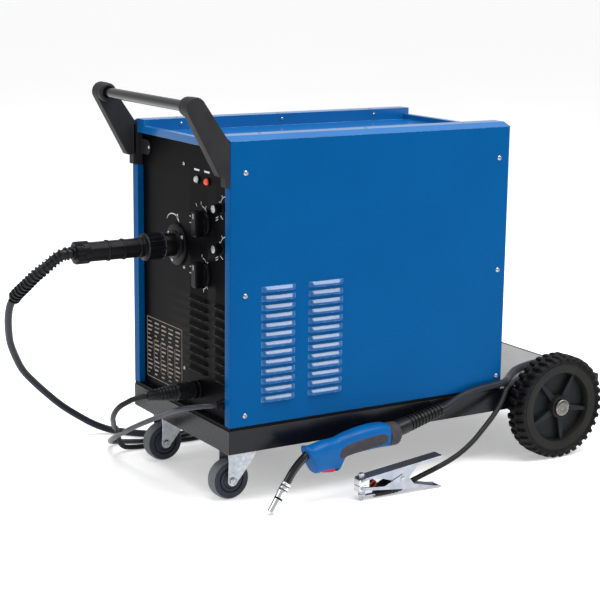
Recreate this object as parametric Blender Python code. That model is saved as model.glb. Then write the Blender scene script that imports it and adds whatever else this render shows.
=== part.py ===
"""MIG welder in a sheet-steel cabinet on a wheeled cart, with its torch, earth clamp and leads.

Metres, +Z up. The cabinet faces -Y, the cart's platform runs on behind it, and +X is the louvred
side. Heights are above the floor. Lengths across and along the cabinet are measured from its
symmetry plane and from its front edge; the empty called body_frame moves them so that the whole
machine stands centred on the origin.
"""

import math

import bmesh
import bpy
import numpy as np
from mathutils import Matrix, Vector

# ---- clearances and sheet -------------------------------------------------------------------
GAP = 0.0003                    # left between pieces that touch
SHEET = 0.0012                  # cabinet sheet
PANEL_SHEET = 0.0015            # front panel sheet

# ---- cart -----------------------------------------------------------------------------------
CART_WIDTH = 0.3717
CART_LENGTH = 0.8296
CART_FRONT = -0.0013            # cart's front edge, ahead of the cabinet's
CART_TOP = 0.1386
CART_RAIL = 0.0414              # depth of the down-turned rails
CART_SHEET = 0.0020
CASTER_PLATE = 0.0030
CASTER_PLATE_DEPTH = 0.105      # front to back

# ---- cabinet --------------------------------------------------------------------------------
CABINET_WIDTH = 0.3734
CABINET_LENGTH = 0.5836
BASE_HEIGHT = 0.0058
PANEL_HEIGHT = 0.4900
FLANGE = 0.0200                 # front and rear flanges of the side shells
FRONT_RECESS = 0.0120           # front panel behind the cabinet's front edge
TOP_FLANGE = 0.0100
NOTCH_HEIGHT = 0.4130           # flange height below the handle brackets' feet
RAIL_RISE = 0.0080              # top cover rails above the side shells
RAIL_CREST = 0.1670             # outer edge of a rail's flat crest, from the centre
RAIL_INNER = 0.1370             # inner edge of a rail's crest
TRAY_DROP = 0.0220              # tray floor below the crest
LIP_DROP = 0.0120               # front and rear lips below the crest
LIP_HEIGHT = 0.0130
LIP_DEPTH = 0.0120

# ---- louvres --------------------------------------------------------------------------------
LOUVRE_RISE = 0.0050
LOUVRE_HEIGHT = 0.0085
LOUVRE_PITCH = 0.0161
SIDE_LOUVRE_COLUMNS = ((0.0610, 0.1280), (0.1550, 0.2250))
SIDE_LOUVRE_ROWS = 13
SIDE_LOUVRE_LOW = 0.0395        # foot of the lowest hood, above the panel's foot
FRONT_LOUVRE_COLUMNS = ((0.0130, 0.0880), (0.1070, 0.1560))
FRONT_LOUVRE_ROWS = 9
FRONT_LOUVRE_LOW = 0.0690

# ---- side door ------------------------------------------------------------------------------
DOOR_FRONT = 0.0400
DOOR_HINGE = 0.5455             # hinge line from the cabinet's front
DOOR_LOW = 0.0400               # above the panel's foot
DOOR_HIGH = 0.4550
DOOR_GAP = 0.0010
KNUCKLE_RADIUS = 0.0025
LATCH_RADIUS = 0.0110
LATCH_FROM_EDGE = 0.0200

# ---- handle ---------------------------------------------------------------------------------
HANDLE_Y = -0.0630
HANDLE_Z = 0.6930
HANDLE_EYE = 0.0175             # radius of the bracket's round end
HANDLE_ARM = 0.0200             # thickness of the bracket's arm
HANDLE_BOSS = 0.0347            # length of the boss that takes the tube
HANDLE_TUBE = 0.00925           # radius
HANDLE_SEAT = 0.0080            # depth of the tube in each boss
BRACKET_FRONT = -0.0220         # foot of the front edge
BRACKET_REAR = -0.0020
BRACKET_LOW = 0.5770
BRACKET_HIGH = 0.6360
BRACKET_TAB = 0.0140            # radius of the rounded tab
BRACKET_TAB_OUT = 0.0197        # tab's centre inside the foot
BRACKET_TAB_Z = 0.5920

# ---- front panel fittings: across, height ---------------------------------------------------
BAR_KNOBS = {"coarse_knob": (0.0740, 0.4830), "fine_knob": (0.0740, 0.3930)}
BAR_KNOB_RADIUS = 0.0245
BAR_KNOB_DEPTH = 0.0230
BAR_KNOB_SKIRT = 0.0060
BAR_KNOB_GRIP = 0.0170          # thickness of the grip bar
SMALL_KNOBS = {"speed_knob": (0.1400, 0.5180), "timer_knob": (0.1400, 0.4490)}
SMALL_KNOB_RADIUS = 0.0098
SMALL_KNOB_DEPTH = 0.0200
SHAFT_RADIUS = 0.0030
LAMPS = {"power_lamp": (0.0470, 0.5560), "thermal_lamp": (0.0840, 0.5560)}
LAMP_RADIUS = 0.00625
LAMP_BARREL = 0.0045
SOCKET_X = -0.0320
SOCKET_Z = 0.4300
SOCKET_FLANGE = 0.0385          # radius
SOCKET_BOSS = 0.0205            # radius
SOCKET_REACH = 0.0182           # boss end, ahead of the cabinet's front edge
EARTH_X = 0.0500
EARTH_Z = 0.1815
EARTH_COLLAR = 0.0165           # radius
EARTH_REACH = 0.0040
MAINS_X = 0.1550
MAINS_Z = 0.1800
GLAND_RADIUS = 0.0090
GLAND_REACH = 0.0100

# ---- wheels ---------------------------------------------------------------------------------
WHEEL_RADIUS = 0.1000
WHEEL_Y = 0.6940
TYRE_INNER = 0.1950             # inner and outer faces, from the centre
TYRE_OUTER = 0.2370
TYRE_SEAT = 0.0875              # rim radius under the tyre
TYRE_LUG = 0.0060
TYRE_LUGS = 30
RIM_BORE = 0.0675
RIM_HUB = 0.0220
RIM_SPOKES = 5
AXLE_RADIUS = 0.0080
AXLE_CAP = 0.0150
AXLE_CAP_DEPTH = 0.0030
AXLE_BRACKET = 0.0040
CASTER_X = 0.1290
CASTER_SWIVEL = 0.0530
CASTER_WHEEL = 0.0360           # radius
CASTER_WHEEL_WIDTH = 0.0250
CASTER_TRAIL = 0.0250           # wheel centre ahead of the swivel line
FORK_HALF = 0.0190
FORK_SHEET = 0.0025
CASTER_BOLT = 0.0040

# ---- inside ---------------------------------------------------------------------------------
DIVIDER_X = 0.0080
DIVIDER_DROP = 0.0180           # divider's top below the side shells' top
TRANSFORMER_X = (0.0250, 0.1650)
TRANSFORMER_BACK = 0.1536       # rear face ahead of the cabinet's rear edge
TRANSFORMER_DEPTH = 0.2000
TRANSFORMER_HEIGHT = 0.2000
TRANSFORMER_CORE = 0.0450       # stack's margin around the windings
RECTIFIER_X = (0.0300, 0.1500)
RECTIFIER_BACK = 0.0536         # rear face ahead of the cabinet's rear edge
RECTIFIER_DEPTH = 0.0700
RECTIFIER_HEIGHT = 0.1300
RECTIFIER_FINS = 7
FAN_X = 0.0950
FAN_Z = 0.4300
FAN_SIZE = 0.1200
FAN_DEPTH = 0.0380
FAN_BORE = 0.0560
FAN_BLADES = 5
FAN_HUB = 0.0200
BOARD_Y = 0.0345
BOARD_SHEET = 0.0016
BOARD_X = (0.0300, 0.1700)
BOARD_Z = (0.4300, 0.6000)
FEED_PLATE = 0.0060
FEED_Y = (0.0550, 0.1550)
FEED_Z = (0.3850, 0.4900)
FEED_MOTOR = 0.0160             # radius
FEED_MOTOR_LENGTH = 0.0850
ROLL_Y = 0.1050
ROLL_Z = 0.4150
ROLL_RADIUS = 0.0150
ROLL_WIDTH = 0.0120
ARM_Y = 0.0700
ARM_Z = 0.4560
ARM_PIN = 0.0030
SPOOL_RADIUS = 0.1000
SPOOL_WIDTH = 0.0550
SPOOL_BORE = 0.0260
SPOOL_Y = 0.4000
SPOOL_Z = 0.3600
SPOOL_IN = -0.0650              # inner face of the spool
VALVE = (0.0400, 0.0350, 0.0300)
VALVE_X = -0.0600
VALVE_Z = 0.2400
NIPPLE = 0.0060

# ---- bottle rests on the rear panel ---------------------------------------------------------
BOTTLE_HALF = 0.0720
BOTTLE_REACH = 0.0750
UPPER_REST = (0.5450, 0.5750)
LOWER_REST = (0.1850, 0.2000)
REST_SHEET = 0.0030

# ---- torch: along its own line, and height --------------------------------------------------
TORCH_ROOT = (0.2450, 0.0500)   # nozzle end of the line on the floor
TORCH_FAR = (0.2150, 0.3200)    # a second point of the line
NOZZLE_TIP = (-0.0020, 0.0044)
NOZZLE_TOP = (0.0310, 0.0505)
NOZZLE_TIP_RADIUS = 0.0070
NOZZLE_TOP_RADIUS = 0.0085
NOZZLE_WALL = 0.0012
NECK_RADIUS = 0.00725
NECK_PATH = ((0.0310, 0.0505), (0.0370, 0.0590), (0.0435, 0.0672), (0.0504, 0.0743),
             (0.0580, 0.0812), (0.0667, 0.0880), (0.0790, 0.0965))
NECK_BORE = 0.0200              # depth of the handle's bore for the neck
HANDLE_STATIONS = (             # bottom (along, height), top (along, height), half width
    ((0.0850, 0.0660), (0.0670, 0.1080), 0.0120),
    ((0.0895, 0.0580), (0.0690, 0.1105), 0.0155),
    ((0.0970, 0.0570), (0.0820, 0.1088), 0.0170),
    ((0.1150, 0.0560), (0.1085, 0.1126), 0.0170),
    ((0.1340, 0.0535), (0.1260, 0.1130), 0.0165),
    ((0.1405, 0.0535), (0.1370, 0.1140), 0.0160),
    ((0.1455, 0.0620), (0.1450, 0.1158), 0.0160),
    ((0.1520, 0.0730), (0.1540, 0.1178), 0.0160),
    ((0.1650, 0.0768), (0.1670, 0.1200), 0.0165),
    ((0.1900, 0.0786), (0.1900, 0.1231), 0.0175),
    ((0.2200, 0.0792), (0.2200, 0.1245), 0.0185),
    ((0.2400, 0.0786), (0.2400, 0.1232), 0.0190),
    ((0.2510, 0.0780), (0.2510, 0.1205), 0.0190),
)
TRIGGER_PIVOT = (0.0990, 0.0630)
TRIGGER_OUTLINE = ((0.0975, 0.0585), (0.1310, 0.0526), (0.1335, 0.0640), (0.0990, 0.0660))
TRIGGER_WIDTH = 0.0120
TRIGGER_SLOT = (0.0965, 0.1360, 0.0700)   # front, rear and ceiling of its slot
RING_RADIUS = 0.0215
RING_LENGTH = 0.0277
RING_Z = 0.0985
BOOT_START = (0.2750, 0.1040)
BOOT_END = (0.3840, 0.1236)
BOOT_RADII = (0.0150, 0.0120)
BOOT_SMOOTH = 0.0300
BOOT_RIBS = 10

# ---- earth clamp: along +Y, and height ------------------------------------------------------
CLAMP_X = 0.2565
CLAMP_HALF = 0.0125
CLAMP_SHEET = 0.0015
CLAMP_PIVOT = (0.3050, 0.0302)
CLAMP_PIN = 0.0030
LOWER_FLOOR = ((0.2190, 0.0218), (0.2370, 0.0194), (0.3130, 0.0100), (0.3840, 0.0000),
               (0.3900, 0.0012))
LOWER_TOP = ((0.3900, 0.0040), (0.3720, 0.0065), (0.3300, 0.0170), (0.3210, 0.0275),
             (0.3130, 0.0350), (0.3050, 0.0385), (0.2970, 0.0350), (0.2670, 0.0220),
             (0.2450, 0.0240), (0.2190, 0.0265))
UPPER_TOP = ((0.2190, 0.0405), (0.2290, 0.0433), (0.3850, 0.0600), (0.3915, 0.0605))
UPPER_SKIRT = 0.0045
UPPER_CHEEK = ((0.2450, 0.0425), (0.2500, 0.0372), (0.2630, 0.0365), (0.2850, 0.0290),
               (0.2970, 0.0240), (0.3050, 0.0222), (0.3130, 0.0240), (0.3185, 0.0280),
               (0.3400, 0.0525))
JAW_FRONT = 0.2160
JAW_REAR = 0.2360
JAW_MEET = 0.0289
BOLT_Y = 0.2250
BOLT_RADIUS = 0.0030
BOLT_HEAD = 0.0050
BOOT_LUG = ((0.2565, 0.2520, 0.0075), (0.2565, 0.2800, 0.0075), (0.2565, 0.3040, 0.0092),
            (0.2565, 0.3240, 0.0152))
BOOT_LUG_RADIUS = 0.0056
BOOT_LUG_STEP = 0.0120
SPRING_CURLS = 5
SPRING_RADIUS = 0.0045
SPRING_WIRE = 0.0008

# ---- torch plug and its bend guard ----------------------------------------------------------
NUT_RADIUS = 0.0240
NUT_LENGTH = 0.0370
NUT_FLUTES = 14
PLUG_SLEEVE = 0.0175
PLUG_SLEEVE_LENGTH = 0.1075
PLUG_RIBS = (0.0455, 0.0770, 0.1065)
PLUG_RIB_RADIUS = 0.0192
PLUG_COLLAR = 0.0200
PLUG_COLLAR_LENGTH = 0.0240
PLUG_STUB = 0.0118
PLUG_STUB_LENGTH = 0.0040
GUARD_CURLS = 18
GUARD_PITCH = 0.0080
GUARD_WIRE = 0.0010             # radius
GUARD_RADIUS = 0.0104           # to the middle of the wire
POINTS_PER_CURL = 8

# ---- leads ----------------------------------------------------------------------------------
TORCH_LEAD = 0.00675            # radii
EARTH_LEAD = 0.00475
MAINS_LEAD = 0.00475
EARTH_PLUG = ((0.0000, 0.0150), (0.0300, 0.0150), (0.0300, 0.0135), (0.0360, 0.0135),
              (0.0360, 0.0148), (0.0420, 0.0145), (0.0420, 0.0125), (0.0480, 0.0120),
              (0.0480, 0.0132), (0.0540, 0.0128), (0.0540, 0.0108), (0.0600, 0.0102),
              (0.0600, 0.0112), (0.0660, 0.0108), (0.0660, 0.0090), (0.0870, 0.0078))
COIL_CENTRE = (-0.1520, 0.3300)
COIL_RADIUS = 0.0535
COIL_GAP = 0.0010
COIL_STEPS = ((0.0, 0.0), (2.5, 2.5), (3.0, 1.0), (3.5, 1.5), (4.0, 0.0), (4.5, 0.0))
COIL_CLIMB = (2.0, 2.5)         # turns between which it climbs to its second layer
POINTS_PER_LOOP = 24
MAINS_PLUG = 0.0235
MAINS_PLUG_Y = 0.2560
MAINS_PLUG_PROFILE = ((0.0000, 0.0085), (0.0250, 0.0130), (0.0260, 0.0180), (0.0300, 0.0200),
                      (0.0800, 0.0215), (0.0800, 0.0235), (0.1100, 0.0235), (0.1100, 0.0210),
                      (0.0900, 0.0210))
PLUG_PIN = 0.0025
PLUG_PIN_CIRCLE = 0.0130

TORCH_ROUTE = (
    (-0.0320, -0.2048, 0.4300), (-0.0345, -0.2160, 0.4250), (-0.0410, -0.2360, 0.4080),
    (-0.0530, -0.2510, 0.3920), (-0.0690, -0.2630, 0.3730), (-0.0880, -0.2720, 0.3550),
    (-0.1120, -0.2740, 0.3340), (-0.1430, -0.2670, 0.3040), (-0.1750, -0.2550, 0.2730),
    (-0.2050, -0.2410, 0.2420), (-0.2380, -0.2190, 0.2060), (-0.2680, -0.1930, 0.1690),
    (-0.2940, -0.1590, 0.1340), (-0.3140, -0.1260, 0.1030), (-0.3290, -0.0910, 0.0720),
    (-0.3370, -0.0520, 0.0430), (-0.3365, -0.0170, 0.0205), (-0.3260, 0.0100, 0.0090),
    (-0.3050, 0.0300, 0.0072), (-0.2770, 0.0550, 0.0072), (-0.2460, 0.0920, 0.0072),
    (-0.2330, 0.1300, 0.0072), (-0.2360, 0.1650, 0.0072), (-0.2400, 0.1950, 0.0085),
    (-0.2435, 0.2350, 0.0145), (-0.2460, 0.2650, 0.0174), (-0.2480, 0.3000, 0.0174),
    (-0.2490, 0.3350, 0.0120), (-0.2495, 0.3750, 0.0072), (-0.2495, 0.4500, 0.0072),
    (-0.2495, 0.5500, 0.0072), (-0.2495, 0.6500, 0.0072), (-0.2495, 0.7500, 0.0072),
    (-0.2495, 0.8200, 0.0072), (-0.2440, 0.8600, 0.0072), (-0.2220, 0.8930, 0.0072),
    (-0.1900, 0.9080, 0.0072), (-0.1500, 0.9120, 0.0072), (-0.0900, 0.9120, 0.0072),
    (-0.0400, 0.9100, 0.0072), (-0.0050, 0.9030, 0.0120), (0.0220, 0.8910, 0.0360),
    (0.0400, 0.8750, 0.0750), (0.0510, 0.8620, 0.1120), (0.0570, 0.8430, 0.1385), (0.0620, 0.8290, 0.1490),
    (0.0680, 0.8100, 0.1475), (0.0740, 0.7800, 0.1457), (0.0820, 0.7400, 0.1456),
    (0.1050, 0.6850, 0.1456), (0.1350, 0.6480, 0.1458), (0.1600, 0.6220, 0.1475),
    (0.1760, 0.6065, 0.1510), (0.1840, 0.5985, 0.1530), (0.1900, 0.5920, 0.1530),
    (0.1945, 0.5840, 0.1530), (0.1950, 0.5730, 0.1525), (0.1950, 0.5520, 0.1510),
    (0.1960, 0.5200, 0.1480), (0.1968, 0.4920, 0.1430), (0.1985, 0.4680, 0.1346),
)
EARTH_ROUTE = (
    (0.0500, -0.1011, 0.1815), (0.0498, -0.1080, 0.1806), (0.0470, -0.1180, 0.1780),
    (0.0420, -0.1250, 0.1730), (0.0340, -0.1310, 0.1670), (0.0230, -0.1330, 0.1590),
    (0.0090, -0.1320, 0.1490), (-0.0100, -0.1270, 0.1360), (-0.0300, -0.1190, 0.1240),
    (-0.0567, -0.1060, 0.1104), (-0.1009, -0.0843, 0.0878), (-0.1280, -0.0695, 0.0758),
    (-0.1540, -0.0550, 0.0646), (-0.1700, -0.0460, 0.0555), (-0.1800, -0.0404, 0.0473),
    (-0.1897, -0.0346, 0.0351), (-0.1956, -0.0302, 0.0257), (-0.2004, -0.0249, 0.0179),
    (-0.2047, -0.0150, 0.0096), (-0.2070, 0.0040, 0.0055), (-0.2030, 0.0300, 0.0051),
    (-0.2030, 0.0600, 0.0051), (-0.2050, 0.1000, 0.0051), (-0.2030, 0.1300, 0.0051),
    (-0.2070, 0.1600, 0.0051), (-0.2170, 0.1950, 0.0051), (-0.2320, 0.2350, 0.0051),
    (-0.2480, 0.2800, 0.0051), (-0.2585, 0.3300, 0.0051), (-0.2623, 0.3800, 0.0051),
    (-0.2623, 0.4800, 0.0051), (-0.2623, 0.6000, 0.0051), (-0.2623, 0.7200, 0.0051),
    (-0.2623, 0.8300, 0.0051), (-0.2570, 0.8720, 0.0051), (-0.2340, 0.9120, 0.0051),
    (-0.1960, 0.9320, 0.0051), (-0.1500, 0.9380, 0.0051), (-0.0800, 0.9380, 0.0051),
    (-0.0200, 0.9360, 0.0060), (0.0300, 0.9250, 0.0180), (0.0600, 0.9070, 0.0480),
    (0.0790, 0.8840, 0.0900), (0.0840, 0.8690, 0.1160), (0.0900, 0.8440, 0.1380),
    (0.0950, 0.8300, 0.1468), (0.1010, 0.8060, 0.1448), (0.1120, 0.7550, 0.1438),
    (0.1280, 0.7050, 0.1438), (0.1520, 0.6580, 0.1438), (0.1710, 0.6290, 0.1438),
    (0.1840, 0.6115, 0.1439), (0.1885, 0.6045, 0.1439), (0.1925, 0.5985, 0.1439),
    (0.1970, 0.5935, 0.1436), (0.2000, 0.5870, 0.1410), (0.2050, 0.5780, 0.1310),
    (0.2110, 0.5660, 0.1190), (0.2180, 0.5500, 0.1070), (0.2260, 0.5290, 0.0940),
    (0.2340, 0.5060, 0.0810), (0.2400, 0.4840, 0.0675), (0.2460, 0.4530, 0.0520),
    (0.2510, 0.4220, 0.0415), (0.2540, 0.3890, 0.0325), (0.2558, 0.3580, 0.0250),
)
MAINS_ROUTE = (
    (0.1550, -0.0200, 0.1800), (0.1510, -0.0310, 0.1805), (0.1420, -0.0410, 0.1780),
    (0.1280, -0.0480, 0.1740), (0.1100, -0.0525, 0.1680), (0.0880, -0.0545, 0.1600),
    (0.0660, -0.0545, 0.1510), (0.0420, -0.0540, 0.1410), (0.0160, -0.0540, 0.1295),
    (-0.0060, -0.0550, 0.1195), (-0.0250, -0.0560, 0.1110), (-0.0480, -0.0570, 0.1005),
    (-0.0700, -0.0570, 0.0905), (-0.0930, -0.0570, 0.0797), (-0.1160, -0.0550, 0.0685),
    (-0.1398, -0.0535, 0.0580), (-0.1613, -0.0521, 0.0477), (-0.1853, -0.0481, 0.0367),
    (-0.2090, -0.0421, 0.0262), (-0.2335, -0.0325, 0.0161), (-0.2500, -0.0205, 0.0085),
    (-0.2550, -0.0050, 0.0055), (-0.2460, 0.0140, 0.0051), (-0.2360, 0.0360, 0.0051),
    (-0.2260, 0.0800, 0.0055), (-0.2160, 0.1120, 0.0095), (-0.2120, 0.1400, 0.0149),
    (-0.2110, 0.1700, 0.0152), (-0.2100, 0.2000, 0.0140), (-0.2075, 0.2280, 0.0090),
    (-0.2060, 0.2620, 0.0055), (-0.2055, 0.2900, 0.0051),
)

# ---- places worked out from the sizes above -------------------------------------------------
CART_FOOT = CART_TOP - CART_RAIL
CART_REAR = CART_FRONT + CART_LENGTH
CART_HALF = CART_WIDTH / 2
CABINET_HALF = CABINET_WIDTH / 2
BASE_LOW = CART_TOP + GAP
BASE_TOP = BASE_LOW + BASE_HEIGHT
PANEL_LOW = BASE_TOP + GAP
PANEL_TOP = PANEL_LOW + PANEL_HEIGHT
NOTCH_LOW = PANEL_LOW + NOTCH_HEIGHT
INNER_HALF = CABINET_HALF - SHEET - GAP
FLANGE_X = CABINET_HALF - FLANGE
FACE_Y = FRONT_RECESS
BACK_Y = FACE_Y + PANEL_SHEET
SEAT_Y = FACE_Y - GAP                       # back of what is screwed to the front panel
COVER_LOW = PANEL_TOP + GAP
CREST_Z = COVER_LOW + RAIL_RISE - GAP
TRAY_Z = CREST_Z - TRAY_DROP
LIP_TOP = CREST_Z - LIP_DROP
LIP_LOW = LIP_TOP - LIP_HEIGHT
REAR_OUT = CABINET_LENGTH - SHEET - GAP     # outer face of the rear panel
REAR_IN = REAR_OUT - SHEET
HINGE_Y = DOOR_HINGE
WHEEL_Z = WHEEL_RADIUS
AXLE_END = TYRE_OUTER + AXLE_CAP_DEPTH
WHEEL_MID = (TYRE_INNER + TYRE_OUTER) / 2
CASTER_Y = CASTER_SWIVEL - CASTER_TRAIL
PLATE_LEFT = DIVIDER_X - SHEET / 2 - GAP - FEED_PLATE
CLAMP_NEAR = CLAMP_X + CLAMP_HALF
HANDLE_FRONT = HANDLE_Y - HANDLE_EYE
CENTRE_X = -(CLAMP_NEAR - AXLE_END) / 2
CENTRE_Y = -(CART_REAR + HANDLE_FRONT) / 2

PAINTS = {                       # colour (linear), roughness, metallic
    "blue_paint": ((0.000, 0.110, 0.345), 0.35, 0.0),
    "black_paint": ((0.012, 0.012, 0.014), 0.40, 0.0),
    "black_plastic": ((0.015, 0.015, 0.017), 0.45, 0.0),
    "grey_plastic": ((0.045, 0.044, 0.048), 0.55, 0.0),
    "blue_plastic": ((0.002, 0.160, 0.480), 0.35, 0.0),
    "red_plastic": ((0.650, 0.030, 0.035), 0.35, 0.0),
    "clear_plastic": ((0.700, 0.700, 0.720), 0.20, 0.0),
    "orange_plastic": ((0.800, 0.090, 0.010), 0.25, 0.0),
    "rubber": ((0.020, 0.020, 0.022), 0.80, 0.0),
    "tyre_rubber": ((0.020, 0.020, 0.022), 0.85, 0.0),
    "grey_rubber": ((0.060, 0.062, 0.066), 0.70, 0.0),
    "zinc": ((0.520, 0.540, 0.560), 0.35, 0.9),
    "chrome": ((0.750, 0.750, 0.760), 0.12, 1.0),
    "steel": ((0.350, 0.350, 0.350), 0.45, 0.8),
    "aluminium": ((0.600, 0.610, 0.620), 0.40, 0.9),
    "brass": ((0.620, 0.420, 0.150), 0.35, 0.9),
    "copper": ((0.550, 0.200, 0.080), 0.45, 0.7),
    "board_green": ((0.010, 0.150, 0.060), 0.50, 0.0),
    "lead_rubber": ((0.030, 0.033, 0.045), 0.60, 0.0),
}

AXES = {"X": Vector((1, 0, 0)), "Y": Vector((0, 1, 0)), "Z": Vector((0, 0, 1))}


# ---- tools ----------------------------------------------------------------------------------
def clear_scene():
    """Removes what the scene holds."""
    for item in list(bpy.data.objects):
        bpy.data.objects.remove(item, do_unlink=True)


def empty(name, location=(0, 0, 0), turn=0.0, parent=None):
    """An empty that places the pieces under it."""
    item = bpy.data.objects.new(name, None)
    item.location = location
    item.rotation_euler = (0, 0, turn)
    item.parent = parent
    bpy.context.scene.collection.objects.link(item)
    return item


def paint(name):
    """The material of that name, made once."""
    material = bpy.data.materials.get(name)
    if material is None:
        colour, roughness, metallic = PAINTS[name]
        material = bpy.data.materials.new(name)
        material.use_nodes = True
        shader = material.node_tree.nodes["Principled BSDF"]
        shader.inputs["Base Color"].default_value = (*colour, 1.0)
        shader.inputs["Roughness"].default_value = roughness
        shader.inputs["Metallic"].default_value = metallic
    return material


def from_bmesh(mesh_data):
    """A temporary object of this bmesh, with its faces turned outwards."""
    bmesh.ops.recalc_face_normals(mesh_data, faces=mesh_data.faces)
    mesh = bpy.data.meshes.new("shape")
    mesh_data.to_mesh(mesh)
    mesh_data.free()
    item = bpy.data.objects.new("shape", mesh)
    bpy.context.scene.collection.objects.link(item)
    return item


def box(low, high):
    """A block between two corners."""
    data = bmesh.new()
    bmesh.ops.create_cube(data, size=1.0)
    low, high = Vector(low), Vector(high)
    middle, size = (low + high) / 2, high - low
    for vertex in data.verts:
        vertex.co = Vector([middle[i] + vertex.co[i] * size[i] for i in range(3)])
    return from_bmesh(data)


def prism(outline, axis, start, end):
    """An outline pushed along an axis. It lies in Y, Z on X, in X, Z on Y and in X, Y on Z."""
    along = "XYZ".index(axis)
    others = [i for i in range(3) if i != along]
    data = bmesh.new()
    ring = []
    for a, b in outline:
        place = Vector((0, 0, 0))
        place[others[0]], place[others[1]], place[along] = a, b, start
        ring.append(data.verts.new(place))
    face = data.faces.new(ring)
    pushed = bmesh.ops.extrude_face_region(data, geom=[face])
    moved = [v for v in pushed["geom"] if isinstance(v, bmesh.types.BMVert)]
    bmesh.ops.translate(data, verts=moved, vec=AXES[axis] * (end - start))
    return from_bmesh(data)


def turned(profile, centre, axis, steps=18):
    """A profile of (distance along the axis, radius) spun about the axis through the centre."""
    axis = Vector(axis).normalized()
    first = Vector((0, 0, -1)) if abs(axis.z) < 0.9 else Vector((1, 0, 0))
    first = (first - axis * first.dot(axis)).normalized()
    data = bmesh.new()
    centre = Vector(centre)
    verts = [data.verts.new(centre + axis * a + first * r) for a, r in profile]
    edges = [data.edges.new((verts[i], verts[i + 1])) for i in range(len(verts) - 1)]
    if profile[0][1] > 0 and profile[-1][1] > 0:
        edges.append(data.edges.new((verts[-1], verts[0])))
    bmesh.ops.spin(data, geom=verts + edges, cent=centre, axis=axis, angle=math.tau,
                   steps=steps, use_merge=True)
    bmesh.ops.remove_doubles(data, verts=data.verts, dist=1e-6)
    return from_bmesh(data)


def cylinder(centre, axis, radius, length, steps=16):
    """A plain round bar from the centre along the axis."""
    return turned(((0, 0), (0, radius), (length, radius), (length, 0)), centre, axis, steps)


def loft(rings):
    """A closed skin over rings of points, with flat ends."""
    data = bmesh.new()
    rows = [[data.verts.new(p) for p in ring] for ring in rings]
    count = len(rows[0])
    for a, b in zip(rows, rows[1:]):
        for i in range(count):
            j = (i + 1) % count
            data.faces.new((a[i], a[j], b[j], b[i]))
    data.faces.new(rows[0])
    data.faces.new(rows[-1])
    return from_bmesh(data)


def combine(target, tools, operation):
    """The target joined with, or cut by, all the tools at once."""
    group = bpy.data.collections.new("tools")
    for tool in tools:
        group.objects.link(tool)
    modifier = target.modifiers.new("combine", "BOOLEAN")
    modifier.operation = operation
    modifier.operand_type = "COLLECTION"
    modifier.collection = group
    modifier.solver = "EXACT"
    bpy.context.view_layer.update()
    graph = bpy.context.evaluated_depsgraph_get()
    mesh = bpy.data.meshes.new_from_object(target.evaluated_get(graph))
    target.modifiers.clear()
    target.data = mesh
    for tool in tools:
        bpy.data.objects.remove(tool, do_unlink=True)
    bpy.data.collections.remove(group)
    return target


def join(target, *tools):
    """The union of the shapes."""
    return combine(target, tools, "UNION")


def cut(target, *tools):
    """The target without the tools."""
    return combine(target, tools, "DIFFERENCE")


def piece(item, name, finish, parent, origin=(0, 0, 0)):
    """Names a finished piece, gives it its material and puts its origin on its axis."""
    item.name = name
    item.data.name = name
    item.data.transform(Matrix.Translation(-Vector(origin)))
    item.location = origin
    item.parent = parent
    item.data.materials.clear()
    item.data.materials.append(paint(finish))
    item.data.shade_smooth()
    item.data.set_sharp_from_angle(angle=math.radians(35))
    return item


def smooth(points, spacing, bend=None):
    """Points about every spacing apart, and closer in bends, read from one smooth curve."""
    given = np.array(points, float)
    padded = np.vstack([2 * given[0] - given[1], given, 2 * given[-1] - given[-2]])
    knots = np.concatenate([[0], np.cumsum(np.linalg.norm(np.diff(padded, axis=0), axis=1)
                                           ** 0.5)])
    slopes = np.diff(padded, axis=0) / np.diff(knots)[:, None]
    steps = np.diff(knots)[:, None]
    middle = (slopes[:-1] * steps[1:] + slopes[1:] * steps[:-1]) / (steps[1:] + steps[:-1])
    share = np.linspace(0, 1, 24, endpoint=False)[:, None]
    dense = []
    for i in range(len(given) - 1):
        a, b, width = given[i], given[i + 1], steps[i + 1]
        dense.append(a * (2 * share ** 3 - 3 * share ** 2 + 1)
                     + b * (3 * share ** 2 - 2 * share ** 3)
                     + width * middle[i] * (share ** 3 - 2 * share ** 2 + share)
                     + width * middle[i + 1] * (share ** 3 - share ** 2))
    dense = np.vstack(dense + [given[-1:]])
    runs = np.linalg.norm(np.diff(dense, axis=0), axis=1)
    lines = np.diff(dense, axis=0) / runs[:, None]
    turns = np.arccos(np.clip((lines[1:] * lines[:-1]).sum(axis=1), -1, 1))
    cost = runs / spacing
    if bend:
        cost = cost + np.concatenate([[0], turns]) / bend
    along = np.concatenate([[0], np.cumsum(cost)])
    places = np.linspace(0, along[-1], max(int(round(along[-1])), 1) + 1)
    return np.stack([np.interp(places, along, dense[:, i]) for i in range(3)], axis=1)


def route_points(route, spacing, bend):
    """Points of a lead: straight end runs from the first and last two points of its route."""
    inner = smooth(route[1:-1], spacing, bend)
    return np.vstack([np.array(route[0]), inner, np.array(route[-1])])


def tube(points, radius, sides=8):
    """A round tube with closed ends along the points."""
    curve = bpy.data.curves.new("tube", "CURVE")
    curve.dimensions = "3D"
    curve.bevel_depth = radius
    curve.bevel_resolution = (sides - 4) // 2
    curve.use_fill_caps = True
    spline = curve.splines.new("POLY")
    spline.points.add(len(points) - 1)
    for point, place in zip(spline.points, points):
        point.co = (*place, 1.0)
    item = bpy.data.objects.new("tube", curve)
    bpy.context.scene.collection.objects.link(item)
    return item


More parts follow.
